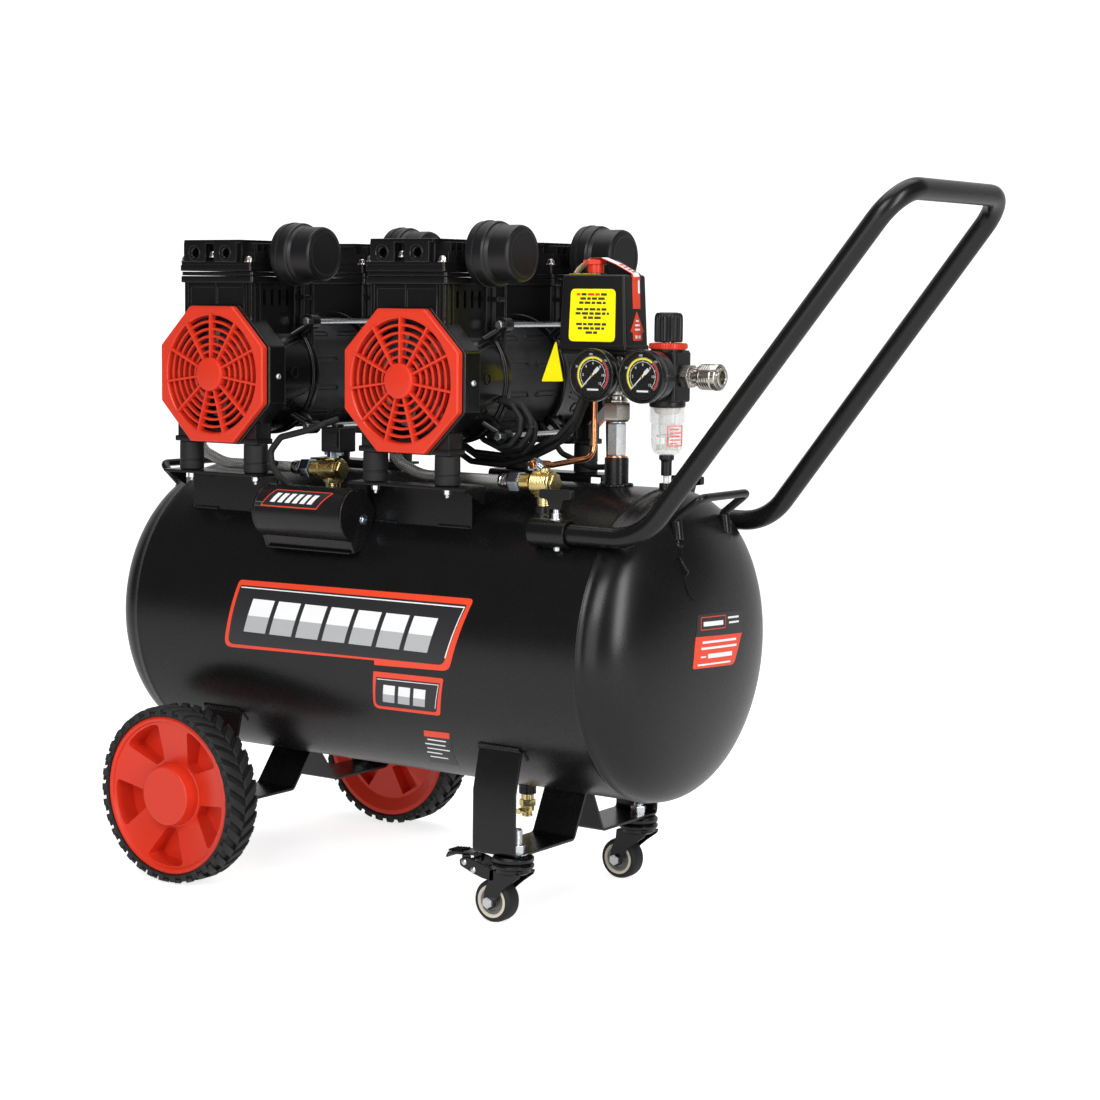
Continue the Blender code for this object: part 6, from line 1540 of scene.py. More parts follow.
# ------------------------------------------------------------------ gauges
for tag, gx in GAUGE_X.items():
    back = 0.0310 if tag == "tank" else 0.0235
    stem_end = 0.0118 if tag == "tank" else 0.0178
    case = Shape().lathe(
        [(0.0, 0.0440), (0.0228, 0.0440), (0.0230, 0.0478), (0.0238, 0.0496), (0.0248, 0.0500), (0.0257, 0.0494), (0.0260, 0.0480),
         (0.0260, 0.0430), (0.0252, 0.0405), (0.0246, 0.0400), (0.0246, back + 0.0030), (0.0236, back + 0.0006), (0.0220, back), (0.0070, back),
         (0.0070, stem_end), (0.0, stem_end)], (gx, 0, GAUGE_Z), (0, -1, 0), 96, soften=0.0006)
    for v in (0.5, 0.0):
        case.lathe([(0.0244, 0.0385 - v * 0.004), (0.0249, 0.0380 - v * 0.004), (0.0244, 0.0375 - v * 0.004)], (gx, 0, GAUGE_Z), (0, -1, 0), 96, ring=True)
    piece("gauge_housing_" + tag, case, GLOSSY, CHASSIS, ["gauge_case_" + tag], smooth=30)
    dial = Shape().lathe([(0.0, 0.0458), (0.0229, 0.0458), (0.0229, 0.0438), (0.0, 0.0438)], (gx, 0, GAUGE_Z), (0, -1, 0), 96)
    piece("gauge_dial_" + tag, dial, DIAL, CHASSIS)

    def ring_arc(r0, r1, a0, a1, lift):
        """Flat printed arc; angles are clockwise degrees from straight up."""
        bm = bmesh.new()
        rows_ = []
        steps = max(1, int(abs(a1 - a0) / 5))
        for i in range(steps + 1):
            t = math.radians(a0 + (a1 - a0) * i / steps)
            rows_.append([bm.verts.new((gx + r * math.sin(t), -0.0458 - w, GAUGE_Z + r * math.cos(t)))
                          for r, w in ((r0, lift), (r1, lift), (r1, -0.0004), (r0, -0.0004))])
        for p, q in zip(rows_, rows_[1:]):
            for k in range(4):
                j = (k + 1) % 4
                bm.faces.new((p[k], p[j], q[j], q[k]))
        bm.faces.new(rows_[0])
        bm.faces.new(rows_[-1])
        return Shape().take(bm)

    piece("gauge_yellow_arc_" + tag, ring_arc(0.0160, 0.0179, -135, 38, 0.00010), DIAL_YELLOW, CHASSIS, weighted=False)
    piece("gauge_red_arc_" + tag, ring_arc(0.0160, 0.0179, 39, 135, 0.00010), DIAL_RED, CHASSIS, weighted=False)
    ticks = ring_arc(0.0140, 0.0144, -135, 135, 0.00012)
    for i in range(13):
        a = -135 + 270 * i / 12
        ticks.add(ring_arc(0.0140, 0.0157 if i % 3 == 0 else 0.0150, a - 0.9, a + 0.9, 0.00013))
    for i in range(49):
        a = -135 + 270 * i / 48
        ticks.add(ring_arc(0.0181, 0.0187, a - 0.5, a + 0.5, 0.00012))
    for i, number in enumerate(("0", "2", "4", "6", "8", "10", "12")):
        a = math.radians(-135 + 45 * i)
        curve = bpy.data.curves.new("number", "FONT")
        curve.body = number
        curve.size = 0.0036
        curve.align_x, curve.align_y = "CENTER", "CENTER"
        curve.extrude = 0.00006
        holder = bpy.data.objects.new("number", curve)
        bpy.context.scene.collection.objects.link(holder)
        graph = bpy.context.evaluated_depsgraph_get()
        mesh = bpy.data.meshes.new_from_object(holder.evaluated_get(graph))
        r = 0.0115
        mesh.transform(Matrix.Translation((gx + r * math.sin(a), -0.04586, GAUGE_Z + r * math.cos(a))) @ Matrix.Rotation(math.pi / 2, 4, "X"))
        ticks.bm.from_mesh(mesh)
        bpy.data.objects.remove(holder, do_unlink=True)
        bpy.data.meshes.remove(mesh)
        bpy.data.curves.remove(curve)
    for i, number in enumerate(("50", "100", "150")):
        a = math.radians((-67, -8, 45)[i])
        curve = bpy.data.curves.new("number", "FONT")
        curve.body = number
        curve.size = 0.0029
        curve.align_x, curve.align_y = "CENTER", "CENTER"
        curve.extrude = 0.00006
        holder = bpy.data.objects.new("number", curve)
        bpy.context.scene.collection.objects.link(holder)
        graph = bpy.context.evaluated_depsgraph_get()
        mesh = bpy.data.meshes.new_from_object(holder.evaluated_get(graph))
        r = 0.0203
        mesh.transform(Matrix.Translation((gx + r * math.sin(a), -0.04586, GAUGE_Z + r * math.cos(a))) @ Matrix.Rotation(math.pi / 2, 4, "X"))
        ticks.bm.from_mesh(mesh)
        bpy.data.objects.remove(holder, do_unlink=True)
        bpy.data.meshes.remove(mesh)
        bpy.data.curves.remove(curve)
    ticks.box(gx - 0.0065, gx + 0.0065, -0.0460, -0.0456, GAUGE_Z - 0.0150, GAUGE_Z - 0.0132, 0.0)
    piece("gauge_marks_" + tag, ticks, LABEL_WHITE, CHASSIS, weighted=False)

    needle = Shape()
    pts = [(0.0, 0.0168), (0.00030, 0.0166), (0.00065, 0.0010), (0.00100, -0.0030), (0.00175, -0.0045), (0.00175, -0.0102),
           (-0.00175, -0.0102), (-0.00175, -0.0045), (-0.00100, -0.0030), (-0.00065, 0.0010), (-0.00030, 0.0166)]
    needle.prism(pts, "Y", -0.0002, 0.0002, 0.0)
    place = Matrix.Translation((gx, -0.0471, GAUGE_Z)) @ Matrix.Rotation(math.radians(225), 4, "Y")
    turned = Shape().add(needle, place)
    piece("gauge_pointer_" + tag, turned, WHITE, "needle_" + tag, ["gauge_needle_" + tag], weighted=False)
    hub = Shape().lathe([(0.0, 0.0462), (0.0016, 0.0462), (0.0018, 0.0476), (0.0012, 0.0483), (0.0, 0.0484)], (gx, 0, GAUGE_Z), (0, -1, 0), 28)
    piece("gauge_pointer_hub_" + tag, hub, BRASS, "needle_" + tag)
    lens = Shape().lathe([(0.0, 0.0494), (0.0232, 0.0488), (0.0232, 0.0484), (0.0, 0.0490)], (gx, 0, GAUGE_Z), (0, -1, 0), 80)
    piece("gauge_lens_" + tag, lens, LENS, CHASSIS, weighted=False)

# ------------------------------------------------------------------ filter and regulator
RX = REG_X
body = Shape()
body.prism(flat_round([(RX - 0.0175, -0.0158), (RX + 0.0175, -0.0158), (RX + 0.0175, 0.0158), (RX - 0.0175, 0.0158)], 0.0045), "Z",
           0.5112, 0.5604, 0.0022, 3, 40)
for s in (-1, 1):
    body.rod((RX, s * 0.0130, GAUGE_Z), (RX, s * 0.0174, GAUGE_Z), 0.0092, sides=40, bevel=0.0010)
    body.rod((RX + s * 0.0155, 0, PORT_Z), (RX + s * 0.0174, 0, PORT_Z), 0.0118, sides=48, bevel=0.0006)
body.lathe([(0.0, 0.5060), (0.0168, 0.5060), (0.0178, 0.5074), (0.0178, 0.5130), (0.0, 0.5130)], (RX, 0, 0), (0, 0, 1), 72, soften=0.0008)
body.lathe([(0.0, 0.5590), (0.0168, 0.5590), (0.0168, 0.5628), (0.0, 0.5632)], (RX, 0, 0), (0, 0, 1), 72, soften=0.0006)
for sx in (-1, 1):
    for sy in (-1, 1):
        body.rod((RX + sx * 0.0138, sy * 0.0118, 0.5590), (RX + sx * 0.0138, sy * 0.0118, 0.5614), 0.0026, sides=20)
body = carve(union_of(body), Shape().rod((RX + 0.0146, 0, PORT_Z), (RX + 0.0250, 0, PORT_Z), 0.0094, sides=40, bevel=0.0),
             Shape().rod((RX, 0, 0.5500), (RX, 0, 0.5700), 0.0068, sides=32, bevel=0.0))
piece("regulator_body_moulding", body, MOULD, CHASSIS, ["regulator_body"], smooth=34)

collar = Shape()
teeth = 48
outline = []
for i in range(teeth):
    t = i * math.tau / teeth
    w = math.tau / teeth
    for f, r in ((0.00, 0.0182), (0.26, 0.0182), (0.40, 0.0190), (0.86, 0.0190)):
        outline.append((RX + r * math.cos(t + f * w), r * math.sin(t + f * w)))
collar.prism(outline, "Z", 0.5633, 0.5672, 0.0)
collar.lathe([(0.0080, 0.5672), (0.0186, 0.5672), (0.0182, 0.5682), (0.0164, 0.5686), (0.0080, 0.5686)], (RX, 0, 0), (0, 0, 1), 72, ring=True)
collar.lathe([(0.0080, 0.5624), (0.0180, 0.5624), (0.0184, 0.5634), (0.0080, 0.5634)], (RX, 0, 0), (0, 0, 1), 72, ring=True)
hole = Shape().rod((RX, 0, 0.5590), (RX, 0, 0.5710), 0.0080, sides=40, bevel=0.0)
collar = carve(union_of(collar), hole)
piece("regulator_lock_ring", collar, RED, CHASSIS, [], smooth=24)

stalk = Shape().rod((RX, 0, 0.5470), (RX, 0, 0.5870), 0.0059, sides=40)
for i in range(9):
    stalk.lathe([(0.0052, 0.5480 + i * 0.0016), (0.0061, 0.5484 + i * 0.0016), (0.0061, 0.5488 + i * 0.0016), (0.0052, 0.5492 + i * 0.0016)],
                (RX, 0, 0), (0, 0, 1), 36, ring=True)
piece("regulator_screw", stalk, BRASS, "spindle", ["regulator_spindle"])

knob = Shape()
flutes = 28
outline = []
for i in range(flutes * 6):
    t = i * math.tau / (flutes * 6)
    r = 0.0131 + 0.0007 * max(-0.2, math.cos(t * flutes)) ** 1
    outline.append((r, t))
bm = bmesh.new()
rows = []
for z, k in ((0.5692, 0.965), (0.5697, 0.990), (0.5706, 1.012), (0.5760, 1.014), (0.5860, 1.014), (0.5910, 1.010), (0.5936, 1.000), (0.5955, 0.975),
             (0.5969, 0.925), (0.5977, 0.850)):
    soft = 1.0 if 0.5700 < z < 0.5940 else (0.6 if z < 0.5960 else 0.0)
    rows.append([bm.verts.new((RX + (0.0133 + (r - 0.0133) * soft) * k * math.cos(t), (0.0133 + (r - 0.0133) * soft) * k * math.sin(t), z))
                 for r, t in outline])
for a, b in zip(rows, rows[1:]):
    for i in range(len(outline)):
        j = (i + 1) % len(outline)
        bm.faces.new((a[i], a[j], b[j], b[i]))
bm.faces.new(rows[0])
bm.faces.new(rows[-1])
knob.take(bm)
knob = carve(knob, Shape().rod((RX, 0, 0.5600), (RX, 0, 0.5880), 0.0064, sides=40, bevel=0.0))
knob.lathe([(0.0060, 0.5974), (0.0092, 0.5974), (0.0088, 0.5980), (0.0064, 0.5980)], (RX, 0, 0), (0, 0, 1), 64, ring=True)
piece("regulator_knob_grip", knob, MOULD, "knob", ["regulator_knob"], smooth=40)

bowl = Shape().lathe(
    [(0.0, 0.4590), (0.0088, 0.4592), (0.0122, 0.4606), (0.0148, 0.4640), (0.0156, 0.4690), (0.0158, 0.4890), (0.0166, 0.4904), (0.0175, 0.4910),
     (0.0175, 0.5058), (0.0160, 0.5058), (0.0160, 0.4916), (0.0146, 0.4900), (0.0144, 0.4690), (0.0136, 0.4650), (0.0112, 0.4618), (0.0082, 0.4606),
     (0.0, 0.4604)],
    (RX, 0, 0), (0, 0, 1), 88, soften=0.0008)
for i in range(8):
    t = i * math.tau / 8 + 0.2
    bowl.box(0.0154, 0.0165, -0.0007, 0.0007, 0.4660, 0.4890, 0.0003,
             place=Matrix.Translation((RX, 0, 0)) @ Matrix.Rotation(t, 4, "Z"))
piece("filter_bowl_clear", bowl, CLEAR, CHASSIS, ["filter_bowl"], smooth=40)
inner = Shape()
inner.lathe([(0.0, 0.4800), (0.0072, 0.4800), (0.0078, 0.4806), (0.0078, 0.5000), (0.0, 0.5000)], (RX, 0, 0), (0, 0, 1), 56)
for i in range(28):
    t = i * math.tau / 28
    inner.rod((RX + 0.0077 * math.cos(t), 0.0077 * math.sin(t), 0.4808), (RX + 0.0077 * math.cos(t), 0.0077 * math.sin(t), 0.4996), 0.0006, sides=8, bevel=0.0)
piece("filter_element", inner, ELEMENT, CHASSIS)
cage = Shape()
cage.lathe([(0.0, 0.4768), (0.0084, 0.4768), (0.0104, 0.4775), (0.0104, 0.4790), (0.0, 0.4800)], (RX, 0, 0), (0, 0, 1), 48)
cage.lathe([(0.0, 0.4995), (0.0100, 0.4995), (0.0120, 0.5010), (0.0135, 0.5050), (0.0135, 0.5062), (0.0, 0.5062)], (RX, 0, 0), (0, 0, 1), 48)
cage.rod((RX, 0, 0.4650), (RX, 0, 0.4772), 0.0022, sides=20)
for i in range(4):
    t = i * math.tau / 4 + 0.4
    cage.box(0.0020, 0.0110, -0.0005, 0.0005, 0.4640, 0.4700, 0.0002, place=Matrix.Translation((RX, 0, 0)) @ Matrix.Rotation(t, 4, "Z"))
piece("filter_baffle", cage, CREAM, CHASSIS)


def on_bowl(u, v, lift):
    t = math.radians(-24.5) + u / 0.0160
    r = 0.0160 + lift
    return Vector((RX + r * math.cos(t), r * math.sin(t), v))


red_box = Shape()
for u0, u1, v0, v1 in ((-0.0090, 0.0090, 0.4688, 0.4695), (-0.0090, 0.0090, 0.4881, 0.4888), (-0.0090, -0.0083, 0.4695, 0.4881),
                       (0.0083, 0.0090, 0.4695, 0.4881), (-0.0064, 0.0030, 0.4846, 0.4858), (-0.0064, 0.0060, 0.4812, 0.4822),
                       (-0.0064, 0.0048, 0.4778, 0.4788), (-0.0064, 0.0060, 0.4744, 0.4754), (-0.0064, 0.0010, 0.4712, 0.4722)):
    red_box.add(film([(u0, v0), (u1, v0), (u1, v1), (u0, v1)], 0.00016, on_bowl, 0.002))
piece("filter_bowl_mark", red_box, LABEL_RED, weighted=False)

drain = Shape().lathe([(0.0, 0.4394), (0.0050, 0.4394), (0.0053, 0.4400), (0.0053, 0.4530), (0.0060, 0.4544),
                       (0.0068, 0.4560), (0.0068, 0.4598), (0.0, 0.4602)], (RX, 0, 0), (0, 0, 1), 48, soften=0.0004)
drain.lathe([(0.0, 0.4258), (0.0064, 0.4258), (0.0068, 0.4266), (0.0068, 0.4312), (0.0062, 0.4320), (0.0, 0.4320)], (RX, 0, 0), (0, 0, 1), 48,
            soften=0.0004)
for i in range(12):
    t = i * math.tau / 12
    drain.rod((RX + 0.0068 * math.cos(t), 0.0068 * math.sin(t), 0.4548), (RX + 0.0068 * math.cos(t), 0.0068 * math.sin(t), 0.4592), 0.0007, sides=8)
piece("filter_drain_stub", drain, MOULD, CHASSIS)
piece("filter_drain_stem", Shape().rod((RX, 0, 0.4310), (RX, 0, 0.4400), 0.0030, sides=32, bevel=0.0004), WHITE, CHASSIS)

# ------------------------------------------------------------------ outlet coupler
body = Shape().lathe(
    [(0.0, 0.2950), (0.0092, 0.2950), (0.0092, 0.3005), (0.0096, 0.3005), (0.0096, 0.3095), (0.0076, 0.3107), (0.0076, 0.3135), (0.0094, 0.3147),
     (0.0095, 0.3191), (0.0095, 0.3405), (0.0090, 0.3415), (0.0095, 0.3425), (0.0095, 0.3431), (0.0088, 0.3439), (0.0068, 0.3439), (0.0062, 0.3427),
     (0.0062, 0.3335), (0.0, 0.3331)], (0, 0, PORT_Z), (1, 0, 0), 64, soften=0.0003)
body.lathe([(0.0, 0.3003), (0.0112, 0.3003), (0.0126, 0.3015), (0.0128, 0.3036), (0.0128, 0.3072), (0.0120, 0.3098), (0.0, 0.3100)],
           (0, 0, PORT_Z), (1, 0, 0), 6, soften=0.0007)
for i in range(4):
    body.lathe([(0.0086, 0.2944 + i * 0.0014), (0.0094, 0.2948 + i * 0.0014), (0.0086, 0.2952 + i * 0.0014)], (0, 0, PORT_Z), (1, 0, 0), 40, ring=True)
piece("coupler_core", body, NICKEL, CHASSIS, ["coupler_body"], smooth=30)
sleeve = Shape()
profile = [(0.0098, 0.3197), (0.0110, 0.3197), (0.0122, 0.3203), (0.0126, 0.3211), (0.0126, 0.3231)]
for i in range(4):
    h = 0.3237 + i * 0.0026
    profile += [(0.0118, h), (0.0118, h + 0.0006), (0.0128, h + 0.0009), (0.0128, h + 0.0020)]
profile += [(0.0120, 0.3345), (0.0118, 0.3355), (0.0130, 0.3365), (0.0130, 0.3399), (0.0124, 0.3411), (0.0110, 0.3413), (0.0098, 0.3413)]
sleeve.lathe(profile, (0, 0, PORT_Z), (1, 0, 0), 72, ring=True)
for i in range(40):
    t = i * math.tau / 40
    sleeve.rod((0.3369, 0.0128 * math.cos(t), PORT_Z + 0.0128 * math.sin(t)), (0.3395, 0.0128 * math.cos(t), PORT_Z + 0.0128 * math.sin(t)),
               0.0004, sides=6, bevel=0.0)
piece("coupler_release_sleeve", sleeve, NICKEL, "sleeve", ["coupler_sleeve"], smooth=28)

# ------------------------------------------------------------------ safety valve and drain
SY = 0.5230
valve = Shape().lathe([(0.0, 0.0110), (0.0066, 0.0110), (0.0066, 0.0160), (0.0062, 0.0165), (0.0085, 0.0200), (0.0085, 0.0380), (0.0080, 0.0400),
                       (0.0064, 0.0410), (0.0064, 0.0436), (0.0058, 0.0440), (0.0, 0.0440)], (MANIFOLD_X, 0, SY), (0, 1, 0), 56, soften=0.0004)
valve.hexa((MANIFOLD_X, 0.0172, SY), (MANIFOLD_X, 0.0240, SY), 0.0176, 0.0008)
for i in range(5):
    valve.lathe([(0.0060, 0.0120 + i * 0.0010), (0.0068, 0.0123 + i * 0.0010), (0.0060, 0.0126 + i * 0.0010)], (MANIFOLD_X, 0, SY), (0, 1, 0), 36, ring=True)
valve = carve(union_of(valve), *[Shape().rod((MANIFOLD_X - 0.02 * math.cos(a), 0.0325, SY - 0.02 * math.sin(a)),
                                             (MANIFOLD_X + 0.02 * math.cos(a), 0.0325, SY + 0.02 * math.sin(a)), 0.0016, sides=16, bevel=0.0)
                                 for a in (0.5, 0.5 + math.pi / 2)])
piece("safety_valve_turned", valve, BRASS, CHASSIS, ["safety_valve"], smooth=30)
loop = [(MANIFOLD_X, 0.0545 + 0.0070 * math.cos(t), SY + 0.0070 * math.sin(t)) for t in (i * math.tau / 40 for i in range(40))]
pull = Shape().sweep(loop, 0.0009, 12, closed=True)
pull.rod((MANIFOLD_X, 0.0436, SY), (MANIFOLD_X, 0.0482, SY), 0.0019, sides=24)
piece("safety_pull_ring", pull, ZINC, "ring", ["safety_ring"])

DXX = 0.1207
valve = Shape().lathe([(0.0, 0.0796), (0.0052, 0.0796), (0.0056, 0.0802), (0.0056, 0.0818), (0.0048, 0.0824), (0.0048, 0.0850), (0.0070, 0.0856),
                       (0.0072, 0.0880), (0.0072, 0.0960), (0.0066, 0.0968), (0.0066, 0.1030), (0.0, 0.1034)], (DXX, 0, 0), (0, 0, 1), 48, soften=0.0004)
valve.hexa((DXX, 0, 0.0905), (DXX, 0, 0.0975), 0.0150, 0.0007)
valve.rod((DXX, 0.0, 0.0870), (DXX, -0.0036, 0.0870), 0.0040, sides=32)
piece("drain_valve_turned", valve, BRASS, CHASSIS, ["drain_valve"], smooth=30)
tap = Shape().rod((DXX, -0.0035, 0.0870), (DXX, -0.0128, 0.0870), 0.0025, sides=28)
tap.box(DXX - 0.0075, DXX + 0.0075, -0.0165, -0.0120, 0.0858, 0.0882, 0.0008, 3)
tap.rod((DXX, -0.0118, 0.0870), (DXX, -0.0170, 0.0870), 0.0030, sides=28, bevel=0.0006)
piece("drain_tap_key", tap, BRASS, "tap", ["drain_tap"])

# ------------------------------------------------------------------ cables and tag
def cable(points, radii):
    return bent([Vector(p) for p in points], [radii] * (len(points) - 2), 12)


wires = Shape()
wires.sweep(cable([(-0.0420, -0.1100, 0.4860), (-0.0522, -0.1250, 0.4805), (-0.0681, -0.1250, 0.4749), (-0.1058, -0.1250, 0.4660),
                   (-0.1195, -0.1250, 0.4509), (-0.1177, -0.1250, 0.4365), (-0.1058, -0.1260, 0.4246), (-0.0894, -0.1280, 0.4164),
                   (-0.0820, -0.1300, 0.4090)], 0.010), 0.0034, 20)
for dx, dy, dz in ((0.0, -0.0010, 0.0), (-0.0050, 0.0050, -0.0030), (-0.0098, -0.0040, 0.0010), (-0.0030, 0.0110, -0.0070)):
    line = [(0.1080, -0.0500, 0.5130), (0.1253, -0.0550, 0.5100), (0.1482, -0.0550, 0.5046), (0.1590, -0.0550, 0.4915), (0.1576, -0.0550, 0.4769),
            (0.1454, -0.0550, 0.4639), (0.1290, -0.0500, 0.4610), (0.1030, -0.0420, 0.4680), (0.0860, -0.0380, 0.4990)]
    wires.sweep(cable([(x + dx, y + dy, z + dz) for x, y, z in line], 0.009), 0.0030, 18)
for dx, dy, dz, first in ((0.0, 0.0, 0.0, (0.1960, -0.0120)), (0.0042, 0.0052, 0.0050, (0.1880, -0.0010)), (0.0070, -0.0050, 0.0098, (0.1960, -0.0120))):
    line = [(0.1937, -0.0200, 0.5074), (0.1819, -0.0200, 0.4816), (0.1636, -0.0200, 0.4638), (0.1368, -0.0200, 0.4516), (0.0989, -0.0200, 0.4419),
            (0.0600, -0.0200, 0.4440), (0.0380, -0.0200, 0.4560), (0.0400, -0.0200, 0.4960)]
    line = [(first[0], first[1], 0.5560), (first[0], first[1], 0.5380)] + [(x + dx, y + dy, z + dz) for x, y, z in line]
    wires.sweep(cable(line, 0.008), 0.0032, 18)
wires.sweep(cable([(0.2080, 0.0060, 0.5560), (0.2080, 0.0080, 0.5240), (0.2040, 0.0160, 0.4700), (0.1960, 0.0300, 0.4420),
                   (0.1700, 0.0360, 0.4400), (0.1300, 0.0420, 0.4520), (0.0950, 0.0440, 0.4900)], 0.014), 0.0030, 20)
piece("motor_cables", wires, RUBBER, CHASSIS, smooth=50)
glands = Shape()
for x, y in ((0.1960, -0.0120), (0.1880, -0.0010), (0.2080, 0.0060)):
    glands.lathe([(0.0, 0.5440), (0.0044, 0.5440), (0.0054, 0.5452), (0.0060, 0.5490), (0.0060, 0.5520), (0.0, 0.5524)], (x, y, 0), (0, 0, 1), 28, soften=0.0004)
    glands.hexa((x, y, 0.5516), (x, y, 0.5566), 0.0128, 0.0005)
piece("cable_glands", glands, MOULD, CHASSIS, smooth=30)
ties = Shape()
for p, d in (((0.1588, -0.0560, 0.4850), (-0.06, 0, -1)), ((-0.1190, -0.1195, 0.4390), (-0.5, 0, -0.85))):
    ties.lathe([(0.0030, -0.0013), (0.0040, -0.0013), (0.0040, 0.0013), (0.0030, 0.0013)], p, d, 28, ring=True)
    place = frame_along(p, d)
    ties.box(0.0034, 0.0062, -0.0022, 0.0022, -0.0018, 0.0018, 0.0004, place=place)
piece("cable_ties", ties, MOULD, CHASSIS, smooth=30)

tri = flat_round([(0.1465, 0.5278), (0.1724, 0.5286), (0.1634, 0.5693)], 0.0012)
flag = Shape().prism(tri, "Y", -0.0203, -0.0197, 0.0)
piece("cable_flag", flag, YELLOW, weighted=False)

# ------------------------------------------------------------------ finishes of the CAD nodes that still show
KEEP = {"piston": ALLOY, "rotor_shaft": STEEL}
for name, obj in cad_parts.items():
    if obj.hide_render:
        continue
    chosen = None
    for start, material in KEEP.items():
        if name.startswith(start):
            chosen = material
    if chosen is None:
        print("CAD node still showing:", name)
        chosen = MOULD
    if not obj.material_slots:
        obj.data.materials.append(chosen)
    for held in obj.material_slots:
        held.material = chosen

# ------------------------------------------------------------------ studio
def paper(name, seen, glow, bounced):
    """Pale paper to the eye, with some light of its own; greyer to the light it sends back, so black paint stays black."""
    mat = bpy.data.materials.new(name)
    mat.use_nodes = True
    tree = mat.node_tree
    tree.nodes.remove(tree.nodes["Principled BSDF"])
    output = tree.nodes["Material Output"]
    noise = tree.nodes.new("ShaderNodeTexNoise")
    noise.inputs["Scale"].default_value = 3.0
    mix = tree.nodes.new("ShaderNodeMix")
    mix.data_type = "RGBA"
    mix.inputs["A"].default_value = (seen, seen, seen, 1)
    mix.inputs["B"].default_value = (seen * 1.01, seen * 1.01, seen * 1.01, 1)
    link(tree, noise.outputs["Fac"], mix.inputs["Factor"])
    pale = tree.nodes.new("ShaderNodeBsdfDiffuse")
    link(tree, mix.outputs["Result"], pale.inputs["Color"])
    lit = tree.nodes.new("ShaderNodeEmission")
    lit.inputs["Strength"].default_value = glow
    both = tree.nodes.new("ShaderNodeAddShader")
    link(tree, pale.outputs[0], both.inputs[0])
    link(tree, lit.outputs[0], both.inputs[1])
    dull = tree.nodes.new("ShaderNodeBsdfDiffuse")
    dull.inputs["Color"].default_value = (bounced, bounced, bounced, 1)
    faint = tree.nodes.new("ShaderNodeEmission")
    faint.inputs["Strength"].default_value = bounced * 0.62
    sent = tree.nodes.new("ShaderNodeAddShader")
    link(tree, dull.outputs[0], sent.inputs[0])
    link(tree, faint.outputs[0], sent.inputs[1])
    path = tree.nodes.new("ShaderNodeLightPath")
    pick = tree.nodes.new("ShaderNodeMixShader")
    link(tree, path.outputs["Is Camera Ray"], pick.inputs[0])
    link(tree, sent.outputs[0], pick.inputs[1])
    link(tree, both.outputs[0], pick.inputs[2])
    link(tree, pick.outputs[0], output.inputs["Surface"])
    return mat


low, high = Vector(CAD_BOX[0]), Vector(CAD_BOX[1])
bm = bmesh.new()
deep, wide = 6.0, 9.0
profile = [(-deep, 0.0)] + [(2.6 + 1.2 * math.sin(t), 1.2 - 1.2 * math.cos(t)) for t in (i * math.pi / 2 / 20 for i in range(21))] + [(3.8, 6.0)]
fw = Vector((-0.5783, 0.8093, 0.0)).normalized()
across = Vector((fw.y, -fw.x, 0.0))
rows = []
for u in (-wide, wide):
    rows.append([bm.verts.new(fw * d + across * u + Vector((DX, 0, z + low.z))) for d, z in profile])
for i in range(len(profile) - 1):
    bm.faces.new((rows[0][i], rows[0][i + 1], rows[1][i + 1], rows[1][i]))
bmesh.ops.recalc_face_normals(bm, faces=bm.faces)
mesh = bpy.data.meshes.new("studio_floor")
bm.to_mesh(mesh)
bm.free()
for poly in mesh.polygons:
    poly.use_smooth = True
floor = bpy.data.objects.new("studio_floor", mesh)
bpy.context.scene.collection.objects.link(floor)
floor.data.materials.append(paper("studio_paper", 0.80, 0.76, 0.62))


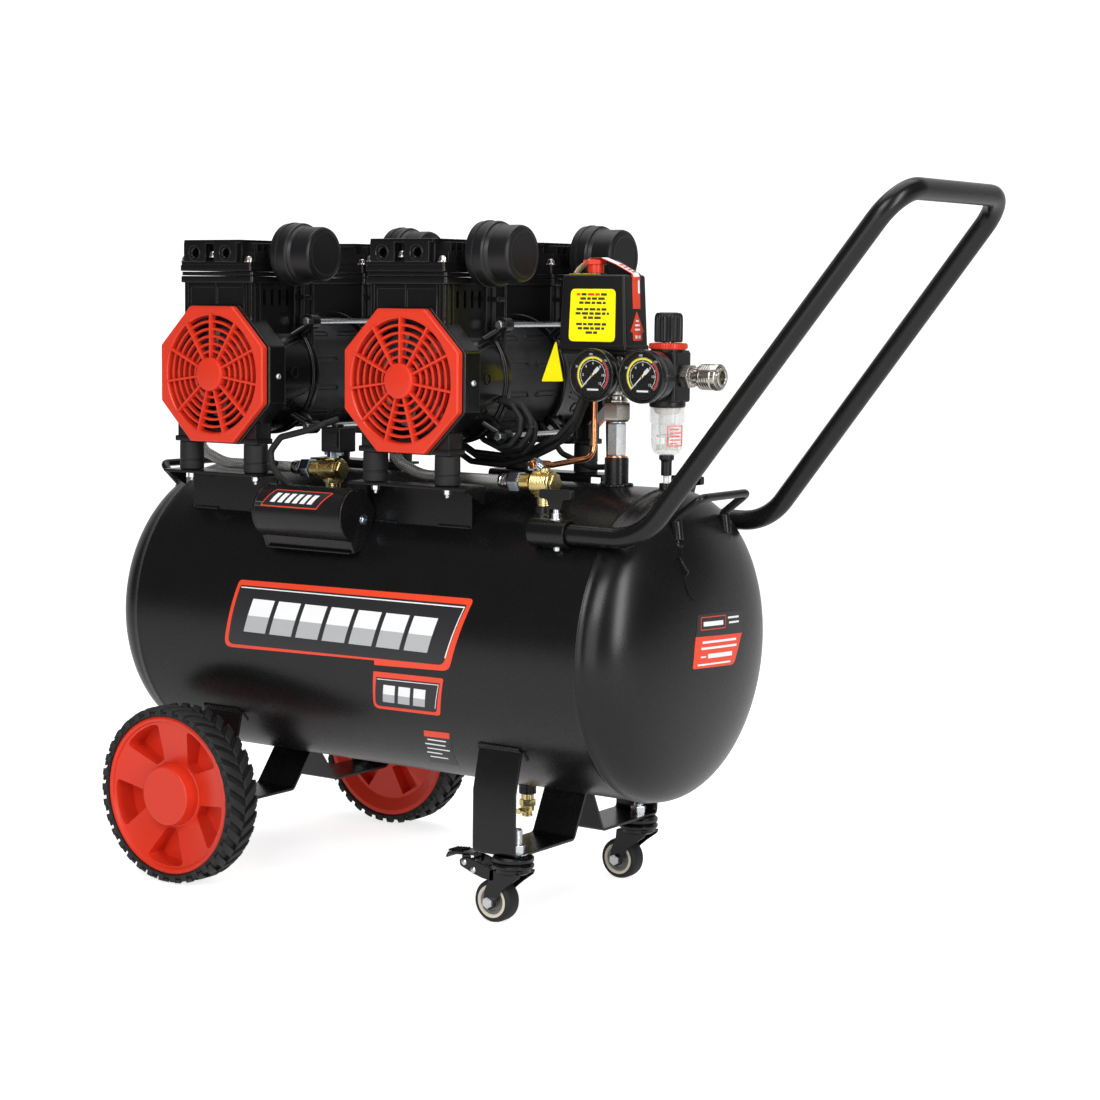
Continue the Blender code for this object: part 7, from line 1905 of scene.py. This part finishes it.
def lamp(name, place, aim, size, power, colour=(1, 1, 1), size_y=None):
    data = bpy.data.lights.new(name, "AREA")
    data.energy = power
    data.color = colour
    data.size = size
    if size_y:
        data.shape = "RECTANGLE"
        data.size_y = size_y
    obj = bpy.data.objects.new(name, data)
    bpy.context.scene.collection.objects.link(obj)
    obj.location = Vector(place) + Vector((DX, 0, 0))
    obj.rotation_euler = (Vector(aim) - Vector(place)).to_track_quat("-Z", "Y").to_euler()
    return obj


lamp("key", (0.75, -2.3, 1.9), (0, 0, 0.35), 1.2, 30)
lamp("side", (2.2, -0.7, 1.1), (0, 0, 0.40), 0.5, 26, size_y=1.7)
lamp("top", (0.0, 0.2, 2.6), (0, 0, 0.3), 2.4, 36)
lamp("fill", (0.6, -2.6, 0.6), (0, 0, 0.35), 1.6, 16)

world = bpy.data.worlds.new("studio")
bpy.context.scene.world = world
world.use_nodes = True
tree = world.node_tree
soft = tree.nodes["Background"]
soft.inputs["Color"].default_value = (1, 1, 1, 1)
soft.inputs["Strength"].default_value = 0.10
seen = tree.nodes.new("ShaderNodeBackground")
seen.inputs["Color"].default_value = (1.0, 1.0, 1.0, 1)
path = tree.nodes.new("ShaderNodeLightPath")
pick = tree.nodes.new("ShaderNodeMixShader")
link(tree, path.outputs["Is Camera Ray"], pick.inputs[0])
link(tree, soft.outputs[0], pick.inputs[1])
link(tree, seen.outputs[0], pick.inputs[2])
link(tree, pick.outputs[0], tree.nodes["World Output"].inputs["Surface"])
bpy.context.scene.view_settings.view_transform = "Standard"

camera = bpy.data.cameras.new("camera")
camera.lens = 78.894
camera.sensor_width = 36.0
camera.shift_x = 0.04325
camera.shift_y = -0.005785
camera.clip_start = 0.05
camera.clip_end = 60.0
holder = bpy.data.objects.new("camera", camera)
bpy.context.scene.collection.objects.link(holder)
right, up, ahead = Vector((0.8131, 0.5821, 0.0092)), Vector((-0.0674, 0.0783, 0.9947)), Vector((-0.5783, 0.8093, -0.1029))
turn = Matrix((right, up, -ahead)).transposed().to_4x4()
holder.matrix_world = Matrix.Translation(Vector((1.5177 + DX, -2.0037, 0.6140))) @ turn
bpy.context.scene.camera = holder
